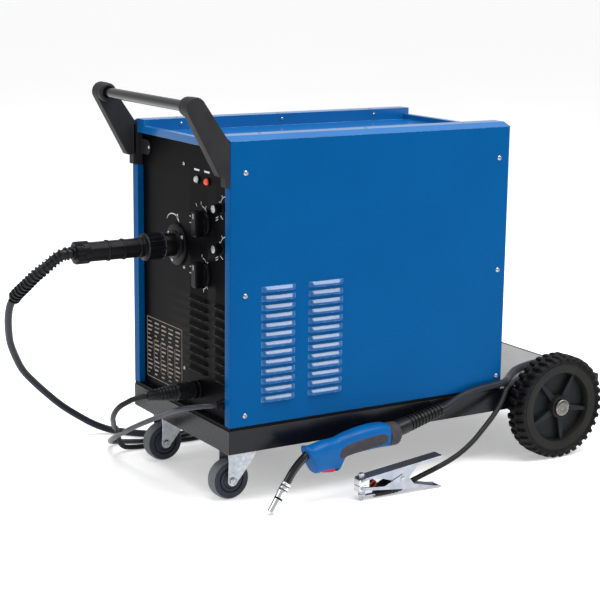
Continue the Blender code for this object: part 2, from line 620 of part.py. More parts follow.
def tube_mesh(points, radius, sides=8):
    """The same tube as a mesh, for joining."""
    item = tube(points, radius, sides)
    bpy.context.view_layer.update()
    graph = bpy.context.evaluated_depsgraph_get()
    mesh = bpy.data.meshes.new_from_object(item.evaluated_get(graph))
    bpy.data.objects.remove(item, do_unlink=True)
    data = bmesh.new()
    data.from_mesh(mesh)
    bmesh.ops.remove_doubles(data, verts=data.verts, dist=1e-6)
    return from_bmesh(data)


def lead(points, radius, name, finish, parent, sides=8):
    """A cord's free stretch, as a curve object."""
    item = tube(points, radius, sides)
    item.name = name
    item.data.name = name
    item.parent = parent
    item.data.materials.append(paint(finish))
    return item


def length_of(points):
    """Length of a run of points."""
    return float(np.linalg.norm(np.diff(np.array(points), axis=0), axis=1).sum())


def least_gap(points, radius, name):
    """Prints and returns the least gap between a wound tube and its own other turns."""
    points = np.array(points)
    along = np.concatenate([[0], np.cumsum(np.linalg.norm(np.diff(points, axis=0), axis=1))])
    apart = np.linalg.norm(points[:, None] - points[None], axis=2)
    near = np.abs(along[:, None] - along[None]) < math.pi * radius * 2
    apart[near] = np.inf
    gap = float(apart.min() - 2 * radius)
    print(f"{name}: least gap to itself {gap * 1000:.2f} mm, length {along[-1]:.3f} m")
    return gap


def mirrored(points, side):
    """The outline on the other side of the centre where side is -1."""
    return [(side * a, b) for a, b in points]


# ---- cart -----------------------------------------------------------------------------------
def make_cart(parent):
    """Folded tray, with the casters' mounting plate and the axle's brackets welded in."""
    inner = CART_HALF - CART_SHEET
    tray = box((-CART_HALF, CART_FRONT, CART_FOOT), (CART_HALF, CART_REAR, CART_TOP))
    tray = cut(tray, box((-inner, CART_FRONT + CART_SHEET, CART_FOOT - 0.01),
                         (inner, CART_REAR - CART_SHEET, CART_TOP - CART_SHEET)))
    plate = box((-inner - CART_SHEET / 2, CART_FRONT + CART_SHEET / 2, CART_FOOT),
                (inner + CART_SHEET / 2, CASTER_PLATE_DEPTH, CART_FOOT + CASTER_PLATE))
    hangers = []
    for side in (-1, 1):
        ears = [(WHEEL_Y - 0.034, CART_TOP - CART_SHEET / 2), (WHEEL_Y - 0.034, CART_FOOT),
                (WHEEL_Y - 0.016, WHEEL_Z - 0.019), (WHEEL_Y + 0.016, WHEEL_Z - 0.019),
                (WHEEL_Y + 0.034, CART_FOOT), (WHEEL_Y + 0.034, CART_TOP - CART_SHEET / 2)]
        near, far = inner + CART_SHEET / 2, inner - AXLE_BRACKET
        hangers.append(prism(ears, "X", side * far, side * near))
    tray = join(tray, plate, *hangers)
    tray = cut(tray, cylinder((-CART_HALF - 0.01, WHEEL_Y, WHEEL_Z), AXES["X"],
                              AXLE_RADIUS + GAP, CART_WIDTH + 0.02))
    return piece(tray, "cart_tray", "black_paint", parent)


def make_axle(parent):
    """Rear axle with its spacer collars and push caps."""
    collar, hub_in = CART_HALF + GAP, TYRE_INNER - GAP
    profile = [(-AXLE_END, 0), (-AXLE_END, AXLE_CAP), (-TYRE_OUTER - GAP, AXLE_CAP),
               (-TYRE_OUTER - GAP, AXLE_RADIUS), (-hub_in, AXLE_RADIUS),
               (-hub_in, AXLE_CAP), (-collar, AXLE_CAP), (-collar, AXLE_RADIUS)]
    profile = profile + [(-a, r) for a, r in reversed(profile)]
    axle = turned(profile, (0, WHEEL_Y, WHEEL_Z), AXES["X"], 14)
    return piece(axle, "rear_axle", "zinc", parent, (0, WHEEL_Y, WHEEL_Z))


def make_rim(side, parent):
    """Moulded wheel centre: hub, recessed web with spokes, and rim."""
    bore, half = AXLE_RADIUS + GAP, (TYRE_OUTER - TYRE_INNER) / 2
    web, web_half = 0.006, 0.003
    seat = half - 0.002
    profile = [(-half, bore), (-half, RIM_HUB), (-web, RIM_HUB + 0.002),
               (-web, RIM_BORE - 0.004), (-seat, RIM_BORE), (-seat, TYRE_SEAT), (seat, TYRE_SEAT),
               (seat, RIM_BORE), (web_half, RIM_BORE - 0.004), (web_half, RIM_HUB + 0.002),
               (half, RIM_HUB), (half, bore)]
    rim = turned([(side * a, r) for a, r in profile], (0, 0, 0), AXES["X"],
                 steps=TYRE_LUGS)
    spokes = []
    for index in range(RIM_SPOKES):
        outer = half - 0.007
        low, high = sorted((-side * outer, side * outer))
        spoke = box((low, -0.0085, RIM_HUB - 0.004), (high, 0.0085, RIM_BORE + 0.003))
        turn = Matrix.Rotation(math.tau * index / RIM_SPOKES, 4, "X")
        spoke.data.transform(turn)
        spokes.append(spoke)
    rim = join(rim, *spokes)
    name = "rim_right" if side > 0 else "rim_left"
    rim = piece(rim, name, "black_plastic", parent)
    rim.location = (side * WHEEL_MID, WHEEL_Y, WHEEL_Z)
    return rim


def make_tyre(side, parent):
    """Tyre with blocks along both shoulders."""
    half = (TYRE_OUTER - TYRE_INNER) / 2
    seat, tread = TYRE_SEAT + GAP, WHEEL_RADIUS - TYRE_LUG
    profile = [(-half, seat), (-half, tread - 0.003), (-half + 0.005, tread),
               (half - 0.005, tread), (half, tread - 0.003), (half, seat)]
    tyre = turned(profile, (0, 0, 0), AXES["X"], steps=TYRE_LUGS)
    lugs = []
    for index in range(TYRE_LUGS):
        shoulder = 1 if index % 2 else -1
        reach, root = half - 0.0006, -0.004
        low, high = sorted((shoulder * root, shoulder * reach))
        width = 0.0050
        lug = box((low, -width, -WHEEL_RADIUS), (high, width, -tread + 0.0045))
        lug.data.transform(Matrix.Rotation(math.tau * index / TYRE_LUGS, 4, "X"))
        lugs.append(lug)
    tyre = join(tyre, *lugs)
    name = "tyre_right" if side > 0 else "tyre_left"
    tyre = piece(tyre, name, "tyre_rubber", parent)
    tyre.location = (side * WHEEL_MID, WHEEL_Y, WHEEL_Z)
    return tyre


def make_caster(side, parent):
    """Pressed swivel fork with its axle bolt, and the wheel in it."""
    x, suffix = side * CASTER_X, "right" if side > 0 else "left"
    top = CART_FOOT - GAP
    race, crown = 0.0024, 0.0030
    head = top - race
    legs = [(CASTER_SWIVEL - 0.0340, head), (CASTER_Y - 0.0095, head - 0.012),
            (CASTER_Y - 0.0095, CASTER_WHEEL)]
    legs += [(CASTER_Y + 0.0095 * math.cos(a), CASTER_WHEEL + 0.0095 * math.sin(a))
             for a in np.linspace(1.15 * math.pi, 1.9 * math.pi, 6)]
    legs += [(CASTER_SWIVEL + 0.0240, head - 0.012), (CASTER_SWIVEL + 0.0240, head)]
    fork = prism(legs, "X", x - FORK_HALF, x + FORK_HALF)
    inner = FORK_HALF - FORK_SHEET
    fork = cut(fork, box((x - inner, CASTER_Y - 0.05, 0), (x + inner, CASTER_SWIVEL + 0.05,
                                                           head - crown)))
    swivel = cylinder((x, CASTER_SWIVEL, head - crown / 2), AXES["Z"], 0.0220, race + crown / 2)
    bolt_end = FORK_HALF + 0.0035
    bolt = turned(((-bolt_end, 0), (-bolt_end, 0.0065), (-FORK_HALF + 0.0005, 0.0065),
                   (-FORK_HALF + 0.0005, CASTER_BOLT), (FORK_HALF - 0.0005, CASTER_BOLT),
                   (FORK_HALF - 0.0005, 0.0065), (bolt_end, 0.0065), (bolt_end, 0)),
                  (x, CASTER_Y, CASTER_WHEEL), AXES["X"], steps=12)
    fork = join(fork, swivel, bolt)
    fork = piece(fork, f"caster_fork_{suffix}", "zinc", parent, (x, CASTER_SWIVEL, top))
    bore, half = CASTER_BOLT + GAP, CASTER_WHEEL_WIDTH / 2
    hub = FORK_HALF - FORK_SHEET - GAP
    profile = [(-hub, bore), (-hub, 0.0080), (-half, 0.0120), (-half, CASTER_WHEEL - 0.004),
               (-half + 0.004, CASTER_WHEEL), (half - 0.004, CASTER_WHEEL),
               (half, CASTER_WHEEL - 0.004), (half, 0.0120), (hub, 0.0080), (hub, bore)]
    wheel = turned(profile, (0, 0, 0), AXES["X"], steps=20)
    wheel = piece(wheel, f"caster_wheel_{suffix}", "grey_rubber", parent)
    wheel.location = (x, CASTER_Y, CASTER_WHEEL)


# ---- cabinet --------------------------------------------------------------------------------
def make_base(parent):
    """Base plate with a turned-down edge, standing on the cart."""
    half = CABINET_HALF - SHEET
    base = box((-half, 0, BASE_LOW), (half, CABINET_LENGTH, BASE_TOP))
    base = cut(base, box((-half + 0.002, 0.002, BASE_LOW - 0.001),
                         (half - 0.002, CABINET_LENGTH - 0.002, BASE_TOP - 0.002)))
    return piece(base, "base_plate", "black_paint", parent)


def louvred(sheet, axis, face, outward, columns, rows, low):
    """Presses rows of hooded louvres, open below, out of a sheet whose outer face is given."""
    hoods, slots = [], []
    inner = face - outward * (SHEET + 0.001)
    for start, end in columns:
        for row in range(rows):
            foot = low + row * LOUVRE_PITCH
            head = foot + LOUVRE_HEIGHT
            outer = [(face - outward * SHEET / 2, foot), (face + outward * LOUVRE_RISE, foot),
                     (face + outward * LOUVRE_RISE * 0.9, foot + 0.0020),
                     (face - outward * SHEET / 2, head)]
            wall = 0.0010
            hollow = [(inner, foot - 0.0012), (face + outward * (LOUVRE_RISE - wall), foot - 0.0012),
                      (inner, head - 1.5 * wall)]
            if axis == "Y":
                hoods.append(prism(outer, "Y", start, end))
                slots.append(prism(hollow, "Y", start + wall, end - wall))
            else:
                hoods.append(prism(outer, "X", start, end))
                slots.append(prism(hollow, "X", start + wall, end - wall))
    return cut(join(sheet, *hoods), *slots)


def side_shell(side):
    """Side sheet with its front, rear and top flanges, notched for the handle bracket."""
    outer, inner = side * CABINET_HALF, side * (CABINET_HALF - SHEET)
    edge, lip = side * FLANGE_X, side * (FLANGE_X + SHEET)
    rear = CABINET_LENGTH
    plan = [(outer, 0), (outer, rear), (edge, rear), (edge, rear - SHEET),
            (inner, rear - SHEET), (inner, SHEET), (lip, SHEET), (lip, SEAT_Y), (edge, SEAT_Y),
            (edge, 0)]
    shell = prism(plan, "Z", PANEL_LOW, PANEL_TOP)
    low, high = sorted((inner, side * (CABINET_HALF - TOP_FLANGE)))
    top = box((low - SHEET / 2, FRONT_RECESS + 0.002, PANEL_TOP - SHEET),
              (high + SHEET / 2, rear - SHEET / 2, PANEL_TOP))
    shell = join(shell, top)
    low, high = sorted((inner, side * (FLANGE_X - 0.001)))
    notch = box((low, -0.001, NOTCH_LOW), (high, FRONT_RECESS + 0.0005, PANEL_TOP + 0.001))
    return cut(shell, notch)


def make_right_side(parent):
    """Louvred side shell."""
    shell = louvred(side_shell(1), "Y", CABINET_HALF, 1, SIDE_LOUVRE_COLUMNS, SIDE_LOUVRE_ROWS,
                    PANEL_LOW + SIDE_LOUVRE_LOW)
    return piece(shell, "side_panel_right", "blue_paint", parent)


def make_left_side(parent):
    """Side shell with the opening for the wire compartment's door."""
    opening = box((-CABINET_HALF - 0.01, DOOR_FRONT, PANEL_LOW + DOOR_LOW),
                  (-CABINET_HALF + 0.01, HINGE_Y + KNUCKLE_RADIUS + GAP, PANEL_LOW + DOOR_HIGH))
    return piece(cut(side_shell(-1), opening), "side_frame_left", "blue_paint", parent)


def make_door(parent):
    """Door with its hinge tube, and the turn latch in it."""
    face = -CABINET_HALF
    low, high = PANEL_LOW + DOOR_LOW + DOOR_GAP, PANEL_LOW + DOOR_HIGH - DOOR_GAP
    leaf = box((face, DOOR_FRONT + DOOR_GAP, low), (face + SHEET, HINGE_Y, high))
    leaf = join(leaf, cylinder((face, HINGE_Y, low), AXES["Z"], KNUCKLE_RADIUS, high - low, 12))
    y, z = DOOR_FRONT + DOOR_GAP + LATCH_FROM_EDGE, (low + high) / 2
    hole = cylinder((face - 0.01, y, z), AXES["X"], SHAFT_RADIUS + GAP, 0.02, 16)
    leaf = piece(cut(leaf, hole), "wire_door", "blue_paint", parent, (face, HINGE_Y, z))
    outer, back = face - GAP, face + SHEET + GAP
    knob = turned(((-0.0080, 0), (-0.0080, LATCH_RADIUS - 0.001), (-0.0070, LATCH_RADIUS),
                   (0, LATCH_RADIUS), (0, SHAFT_RADIUS), (back - outer + 0.003, SHAFT_RADIUS),
                   (back - outer + 0.003, 0)), (outer, y, z), AXES["X"], 16)
    tongue = box((back, y - 0.0060, z - 0.0060), (back + 0.0025, y + 0.0060, z + 0.0300))
    piece(join(knob, tongue), "door_latch", "black_plastic", parent, (outer, y, z))


def make_front_panel(parent):
    """Recessed front panel with its louvres and the holes for what it carries."""
    panel = box((-INNER_HALF, FACE_Y, PANEL_LOW), (INNER_HALF, BACK_Y, LIP_LOW - GAP))
    hoods, slots = [], []
    for start, end in FRONT_LOUVRE_COLUMNS:
        for row in range(FRONT_LOUVRE_ROWS):
            foot = PANEL_LOW + FRONT_LOUVRE_LOW + row * LOUVRE_PITCH
            head, out, wall = foot + LOUVRE_HEIGHT, FACE_Y - LOUVRE_RISE, 0.0010
            hood = [(BACK_Y - PANEL_SHEET / 2, foot), (out, foot), (out + 0.0008, foot + 0.0025),
                    (BACK_Y - PANEL_SHEET / 2, head)]
            hollow = [(BACK_Y + 0.001, foot - 0.0012), (out + wall, foot - 0.0012),
                      (BACK_Y + 0.001, head - 1.5 * wall)]
            hoods.append(prism(hood, "X", start, end))
            slots.append(prism(hollow, "X", start + wall, end - wall))
    panel = cut(join(panel, *hoods), *slots)
    holes = [(x, z, SHAFT_RADIUS) for x, z in (*BAR_KNOBS.values(), *SMALL_KNOBS.values())]
    holes += [(x, z, LAMP_BARREL) for x, z in LAMPS.values()]
    holes += [(SOCKET_X, SOCKET_Z, SOCKET_BOSS), (EARTH_X, EARTH_Z, EARTH_COLLAR - 0.004),
              (MAINS_X, MAINS_Z, GLAND_RADIUS - 0.002)]
    borers = [cylinder((x, FACE_Y - 0.01, z), AXES["Y"], r + GAP, 0.03, 20) for x, z, r in holes]
    return piece(cut(panel, *borers), "front_panel", "black_paint", parent)


def make_rear_panel(parent):
    """Rear panel with the fan grille, the gas inlet's hole and the lower bottle rest."""
    panel = box((-INNER_HALF, REAR_IN, PANEL_LOW), (INNER_HALF, REAR_OUT, LIP_LOW - GAP))
    slots = []
    for index in range(-4, 5):
        offset = index * 0.0115
        half = math.sqrt(FAN_BORE ** 2 - offset ** 2) - 0.004
        slots.append(box((FAN_X - half, REAR_IN - 0.01, FAN_Z + offset - 0.0032),
                         (FAN_X + half, REAR_OUT + 0.01, FAN_Z + offset + 0.0032)))
    slots.append(cylinder((VALVE_X, REAR_IN - 0.01, VALVE_Z), AXES["Y"], NIPPLE + GAP, 0.03, 20))
    panel = join(cut(panel, *slots), bottle_rest(LOWER_REST, REAR_OUT - SHEET / 2))
    return piece(panel, "rear_panel", "black_paint", parent)


def bottle_rest(heights, root):
    """Sheet cradle: a back strip with two arms that reach round the bottle."""
    half, reach, wall = BOTTLE_HALF, REAR_OUT + BOTTLE_REACH, REST_SHEET
    middle = root + 0.6 * (reach - root)
    plan = [(-half, root), (half, root), (half, reach), (half - wall, reach),
            (half - wall, middle), (0.030, root + wall), (-0.030, root + wall),
            (-half + wall, middle), (-half + wall, reach), (-half, reach)]
    rest = prism(plan, "Z", *heights)
    return rest


def make_top_cover(parent):
    """Top cover: two raised rails beside a shallow tray, closed by lips at both ends."""
    rear = CABINET_LENGTH
    pieces = []
    for side in (-1, 1):
        rail = [(RAIL_INNER, TRAY_Z - SHEET), (RAIL_INNER, CREST_Z), (RAIL_CREST, CREST_Z),
                (CABINET_HALF, COVER_LOW + 0.0006), (CABINET_HALF, COVER_LOW),
                (CABINET_HALF - 0.0020, COVER_LOW), (RAIL_CREST - 0.0006, CREST_Z - SHEET),
                (RAIL_INNER + SHEET, CREST_Z - SHEET), (RAIL_INNER + SHEET, TRAY_Z - SHEET)]
        pieces.append(prism(mirrored(rail, side), "Y", 0, rear))
        for start, end in ((0, SHEET), (rear - SHEET, rear)):
            plate = [(RAIL_INNER, LIP_LOW), (FLANGE_X - GAP, LIP_LOW), (FLANGE_X - GAP, COVER_LOW),
                     (CABINET_HALF, COVER_LOW), (CABINET_HALF, COVER_LOW + 0.0006),
                     (RAIL_CREST, CREST_Z), (RAIL_INNER, CREST_Z)]
            pieces.append(prism(mirrored(plate, side), "Y", start, end))
    lip = [(0, LIP_LOW), (SHEET, LIP_LOW), (SHEET, LIP_TOP - SHEET),
           (LIP_DEPTH - SHEET, LIP_TOP - SHEET), (LIP_DEPTH - SHEET, TRAY_Z - SHEET),
           (LIP_DEPTH, TRAY_Z - SHEET), (LIP_DEPTH, LIP_TOP), (0, LIP_TOP)]
    reach = RAIL_INNER + SHEET / 2
    pieces.append(prism(lip, "X", -reach, reach))
    pieces.append(prism([(rear - a, b) for a, b in lip], "X", -reach, reach))
    tray = box((-reach, LIP_DEPTH - SHEET / 2, TRAY_Z - SHEET),
               (reach, rear - LIP_DEPTH + SHEET / 2, TRAY_Z))
    return piece(join(tray, *pieces), "top_cover", "blue_paint", parent)


# ---- handle ---------------------------------------------------------------------------------
def bracket_outline():
    """Side outline of the bracket's arm: foot, two straight edges and a round eye."""
    eye = Vector((HANDLE_Y, HANDLE_Z))
    corners = (Vector((BRACKET_FRONT, BRACKET_LOW)), Vector((BRACKET_REAR, BRACKET_HIGH)))
    angles = []
    for corner, turn in zip(corners, (-1, 1)):
        line = corner - eye
        angles.append(math.atan2(line.y, line.x) + turn * math.acos(HANDLE_EYE / line.length))
    start, end = angles
    end += math.tau if end < start - math.tau else 0
    while end > start:
        end -= math.tau
    arc = [(eye.x + HANDLE_EYE * math.cos(a), eye.y + HANDLE_EYE * math.sin(a))
           for a in np.linspace(start, end, 12)]
    round_foot = 0.0040
    return [(BRACKET_REAR, BRACKET_HIGH), (BRACKET_REAR, BRACKET_LOW + round_foot),
            (BRACKET_REAR - round_foot, BRACKET_LOW), (BRACKET_FRONT + round_foot, BRACKET_LOW),
            (BRACKET_FRONT, BRACKET_LOW + round_foot), *arc]


def make_handle_bracket(side, parent):
    """Cast arm with the boss for the tube, its foot and the screwed tab."""
    outer, inner = CABINET_HALF, CABINET_HALF - HANDLE_ARM
    low, high = sorted((side * outer, side * inner))
    arm = prism(bracket_outline(), "X", low, high)
    boss = cylinder((side * outer, HANDLE_Y, HANDLE_Z), AXES["X"] * -side, HANDLE_EYE - 0.0005,
                    HANDLE_BOSS)
    foot_low, foot_high = sorted((side * FLANGE_X, side * INNER_HALF))
    foot = box((foot_low, BRACKET_REAR - 0.004, NOTCH_LOW + GAP), (foot_high, SEAT_Y,
                                                                   PANEL_TOP - 0.0010))
    tab_x, tab_front = side * (FLANGE_X - BRACKET_TAB_OUT), SEAT_Y - 0.0030
    tab = cylinder((tab_x, tab_front, BRACKET_TAB_Z), AXES["Y"], BRACKET_TAB, SEAT_Y - tab_front)
    web_low, web_high = sorted((tab_x, side * (FLANGE_X + 0.002)))
    web = box((web_low, tab_front, BRACKET_TAB_Z - BRACKET_TAB),
              (web_high, SEAT_Y, BRACKET_TAB_Z + BRACKET_TAB))
    bracket = join(arm, boss, foot, tab, web)
    mouth = CABINET_HALF - HANDLE_BOSS
    bore = cylinder((side * (mouth - 0.001), HANDLE_Y, HANDLE_Z), AXES["X"] * side,
                    HANDLE_TUBE + GAP, HANDLE_SEAT + GAP + 0.001)
    suffix = "right" if side > 0 else "left"
    return piece(cut(bracket, bore), f"handle_bracket_{suffix}", "black_paint", parent)


def make_handle_tube(parent):
    """Cross tube held in both brackets' bosses."""
    half = CABINET_HALF - HANDLE_BOSS + HANDLE_SEAT
    bar = cylinder((-half, HANDLE_Y, HANDLE_Z), AXES["X"], HANDLE_TUBE, 2 * half, 20)
    return piece(bar, "handle_tube", "black_paint", parent)


# ---- controls -------------------------------------------------------------------------------
def make_bar_knob(name, parent):
    """Rotary switch knob: skirt, grip bar with round ends, and its shaft."""
    x, z = BAR_KNOBS[name]
    skirt = turned(((0, 0), (0, BAR_KNOB_RADIUS), (BAR_KNOB_SKIRT - 0.001, BAR_KNOB_RADIUS),
                    (BAR_KNOB_SKIRT, BAR_KNOB_RADIUS - 0.001), (BAR_KNOB_SKIRT, 0)),
                   (x, SEAT_Y, z), -AXES["Y"], 24)
    half, reach = BAR_KNOB_GRIP / 2, BAR_KNOB_RADIUS - 0.001
    shoulder = math.acos(half / reach)
    grip = [(x + reach * math.cos(a), z + reach * math.sin(a))
            for a in np.linspace(shoulder, math.pi - shoulder, 7)]
    grip += [(x - (a - x), z - (b - z)) for a, b in grip]
    bar = prism(grip, "Y", SEAT_Y - BAR_KNOB_SKIRT / 2, SEAT_Y - BAR_KNOB_DEPTH)
    shaft = cylinder((x, SEAT_Y - 0.001, z), AXES["Y"], SHAFT_RADIUS, 0.0180, 12)
    return piece(join(skirt, bar, shaft), name, "black_plastic", parent, (x, SEAT_Y, z))


def make_small_knob(name, parent):
    """Potentiometer knob with a pointer rib on its skirt, and its shaft."""
    x, z = SMALL_KNOBS[name]
    r, depth = SMALL_KNOB_RADIUS, SMALL_KNOB_DEPTH
    knob = turned(((0, 0), (0, r), (0.004, r), (0.005, r - 0.0012), (depth - 0.001, r - 0.0018),
                   (depth, r - 0.0028), (depth, 0)), (x, SEAT_Y, z), -AXES["Y"], 16)
    rib = box((x - 0.0006, SEAT_Y - 0.0048, z), (x + 0.0006, SEAT_Y - 0.0015, z + r + 0.0015))
    shaft = cylinder((x, SEAT_Y - 0.001, z), AXES["Y"], SHAFT_RADIUS, 0.0200, 12)
    return piece(join(knob, rib, shaft), name, "black_plastic", parent, (x, SEAT_Y, z))


def make_lamp(name, finish, parent):
    """Indicator lamp: bezel, domed lens and barrel."""
    x, z = LAMPS[name]
    r = LAMP_RADIUS
    lamp = turned(((-0.0150, 0), (-0.0150, LAMP_BARREL), (0, LAMP_BARREL), (0, r), (0.0016, r),
                   (0.0022, r - 0.0008), (0.0050, 0.0042), (0.0064, 0.0024), (0.0068, 0)),
                  (x, SEAT_Y, z), -AXES["Y"], 14)
    return piece(lamp, name, finish, parent)


def make_sockets(parent):
    """Torch socket, earth socket and the mains lead's gland."""
    reach = SOCKET_REACH + SEAT_Y
    profile = ((-0.0200, 0), (-0.0200, SOCKET_BOSS), (0, SOCKET_BOSS), (0, SOCKET_FLANGE),
               (0.0025, SOCKET_FLANGE), (0.0040, SOCKET_FLANGE - 0.0020),
               (0.0045, SOCKET_BOSS + 0.0015), (0.0060, SOCKET_BOSS), (reach, SOCKET_BOSS),
               (reach, 0.0110), (reach - 0.0150, 0.0110), (reach - 0.0150, 0))
    socket = turned(profile, (SOCKET_X, SEAT_Y, SOCKET_Z), -AXES["Y"], 24)
    piece(socket, "torch_socket", "black_plastic", parent)
    reach, bore = EARTH_REACH + SEAT_Y, EARTH_COLLAR - 0.0040
    profile = ((-0.0180, 0), (-0.0180, bore), (0, bore), (0, EARTH_COLLAR),
               (reach - 0.001, EARTH_COLLAR), (reach, EARTH_COLLAR - 0.001), (reach, 0.0070),
               (reach - 0.0120, 0.0070), (reach - 0.0120, 0))
    socket = turned(profile, (EARTH_X, SEAT_Y, EARTH_Z), -AXES["Y"], 18)
    piece(socket, "earth_socket", "black_plastic", parent)
    reach, throat = GLAND_REACH + SEAT_Y, MAINS_LEAD + 0.0012
    profile = ((-0.0120, 0), (-0.0120, GLAND_RADIUS - 0.002), (0, GLAND_RADIUS - 0.002),
               (0, GLAND_RADIUS), (0.0060, GLAND_RADIUS), (0.0070, GLAND_RADIUS - 0.0015),
               (reach, throat), (reach, 0))
    gland = turned(profile, (MAINS_X, SEAT_Y, MAINS_Z), -AXES["Y"], 14)
    piece(gland, "mains_gland", "black_plastic", parent)


# ---- inside ---------------------------------------------------------------------------------
def make_divider(parent):
    """Centre divider with the hole for the feed motor."""
    left, right = DIVIDER_X - SHEET / 2, DIVIDER_X + SHEET / 2
    wall = box((left, BACK_Y + GAP, PANEL_LOW), (right, REAR_IN - GAP,
                                                      PANEL_TOP - DIVIDER_DROP))
    foot = box((left, BACK_Y + GAP, PANEL_LOW), (right + 0.012, REAR_IN - GAP,
                                                 PANEL_LOW + SHEET))
    wall = join(wall, foot)
    hole = cylinder((DIVIDER_X - 0.01, ROLL_Y, ROLL_Z), AXES["X"], FEED_MOTOR + GAP, 0.02)
    return piece(cut(wall, hole), "divider", "steel", parent)


def make_transformer(parent):
    """Laminated core with its two windings, standing on the base."""
    (x0, x1), height = TRANSFORMER_X, TRANSFORMER_HEIGHT
    y1 = CABINET_LENGTH - TRANSFORMER_BACK
    y0 = y1 - TRANSFORMER_DEPTH
    core = TRANSFORMER_CORE
    stack = box((x0 + 0.020, y0, PANEL_LOW), (x1 - 0.020, y1, PANEL_LOW + height))
    windings = []
    for a, b in ((y0 + core, (y0 + y1) / 2 - 0.004), ((y0 + y1) / 2 + 0.004, y1 - core)):
        windings.append(box((x0, a, PANEL_LOW + core), (x1, b, PANEL_LOW + height - core)))
    return piece(join(stack, *windings), "transformer", "steel", parent)


def make_rectifier(parent):
    """Finned heat sink of the rectifier."""
    (x0, x1), height = RECTIFIER_X, RECTIFIER_HEIGHT
    y1 = CABINET_LENGTH - RECTIFIER_BACK
    y0 = y1 - RECTIFIER_DEPTH
    sink = box((x0, y0, PANEL_LOW), (x1, y1, PANEL_LOW + height))
    pitch = (x1 - x0) / RECTIFIER_FINS
    slots = [box((x0 + (i + 0.35) * pitch, y0 + 0.010, PANEL_LOW - 0.01),
                 (x0 + (i + 0.85) * pitch, y1 + 0.01, PANEL_LOW + height + 0.01))
             for i in range(RECTIFIER_FINS)]
    return piece(cut(sink, *slots), "rectifier", "aluminium", parent)


def make_fan(parent):
    """Fan shroud with its motor held on two struts, and the rotor."""
    half, front = FAN_SIZE / 2, REAR_IN - GAP - FAN_DEPTH
    back = front + FAN_DEPTH
    frame = box((FAN_X - half, front, FAN_Z - half), (FAN_X + half, back, FAN_Z + half))
    frame = cut(frame, cylinder((FAN_X, front - 0.01, FAN_Z), AXES["Y"], FAN_BORE,
                                FAN_DEPTH + 0.02, 24))
    motor_front = front + 0.024
    motor = cylinder((FAN_X, motor_front, FAN_Z), AXES["Y"], FAN_HUB, back - motor_front)
    struts = [box((FAN_X - FAN_BORE - 0.002, back - 0.006, FAN_Z - 0.004),
                  (FAN_X + FAN_BORE + 0.002, back, FAN_Z + 0.004)),
              box((FAN_X - 0.004, back - 0.006, FAN_Z - FAN_BORE - 0.002),
                  (FAN_X + 0.004, back, FAN_Z + FAN_BORE + 0.002))]
    piece(join(frame, motor, *struts), "fan_housing", "black_plastic", parent)
    rotor_front, rotor_back = front + 0.006, motor_front - GAP
    rotor = cylinder((0, rotor_front, 0), AXES["Y"], FAN_HUB, rotor_back - rotor_front)
    blades = []
    for index in range(FAN_BLADES):
        blade = box((FAN_HUB - 0.004, rotor_front + 0.007, -0.016),
                    (FAN_BORE - 0.0030, rotor_front + 0.009, 0.016))
        middle = Vector((0, rotor_front + 0.008, 0))
        pitch = Matrix.Translation(middle) @ Matrix.Rotation(0.45, 4, "X")
        blade.data.transform(pitch @ Matrix.Translation(-middle))
        blade.data.transform(Matrix.Rotation(math.tau * index / FAN_BLADES, 4, "Y"))
        blades.append(blade)
    rotor = join(rotor, *blades)
    rotor.data.transform(Matrix.Translation((FAN_X, 0, FAN_Z)))
    piece(rotor, "fan_rotor", "black_plastic", parent, (FAN_X, rotor_front, FAN_Z))


def make_board(parent):
    """Control board on four posts behind the front panel."""
    (x0, x1), (z0, z1) = BOARD_X, BOARD_Z
    board = box((x0, BOARD_Y, z0), (x1, BOARD_Y + BOARD_SHEET, z1))
    parts = [cylinder((x, BACK_Y + GAP, z), AXES["Y"], 0.0030, BOARD_Y - BACK_Y, 10)
             for x in (x0 + 0.006, x1 - 0.006) for z in (z0 + 0.006, z1 - 0.006)]
    back = BOARD_Y + BOARD_SHEET / 2
    parts.append(box((x0 + 0.020, back, z0 + 0.030), (x0 + 0.060, back + 0.030, z0 + 0.070)))
    parts.append(box((x1 - 0.050, back, z1 - 0.060), (x1 - 0.015, back + 0.016, z1 - 0.020)))
    return piece(join(board, *parts), "control_board", "board_green", parent)


def make_gas_valve(parent):
    """Solenoid gas valve on the rear panel, with its inlet through it."""
    width, depth, height = VALVE
    back = REAR_IN - GAP
    block = box((VALVE_X - width / 2, back - depth, VALVE_Z - height / 2),
                (VALVE_X + width / 2, back, VALVE_Z + height / 2))
    inlet = turned(((-0.002, 0), (-0.002, NIPPLE), (0.010, NIPPLE), (0.010, 0.0045),
                    (0.024, 0.0045), (0.024, 0.0030), (0.002, 0.0030), (0.002, 0)),
                   (VALVE_X, back, VALVE_Z), AXES["Y"], 16)
    solenoid = box((VALVE_X - 0.012, back - depth + 0.005, VALVE_Z + height / 2 - 0.001),
                   (VALVE_X + 0.012, back - 0.006, VALVE_Z + height / 2 + 0.025))
    return piece(join(block, inlet, solenoid), "gas_valve", "brass", parent)


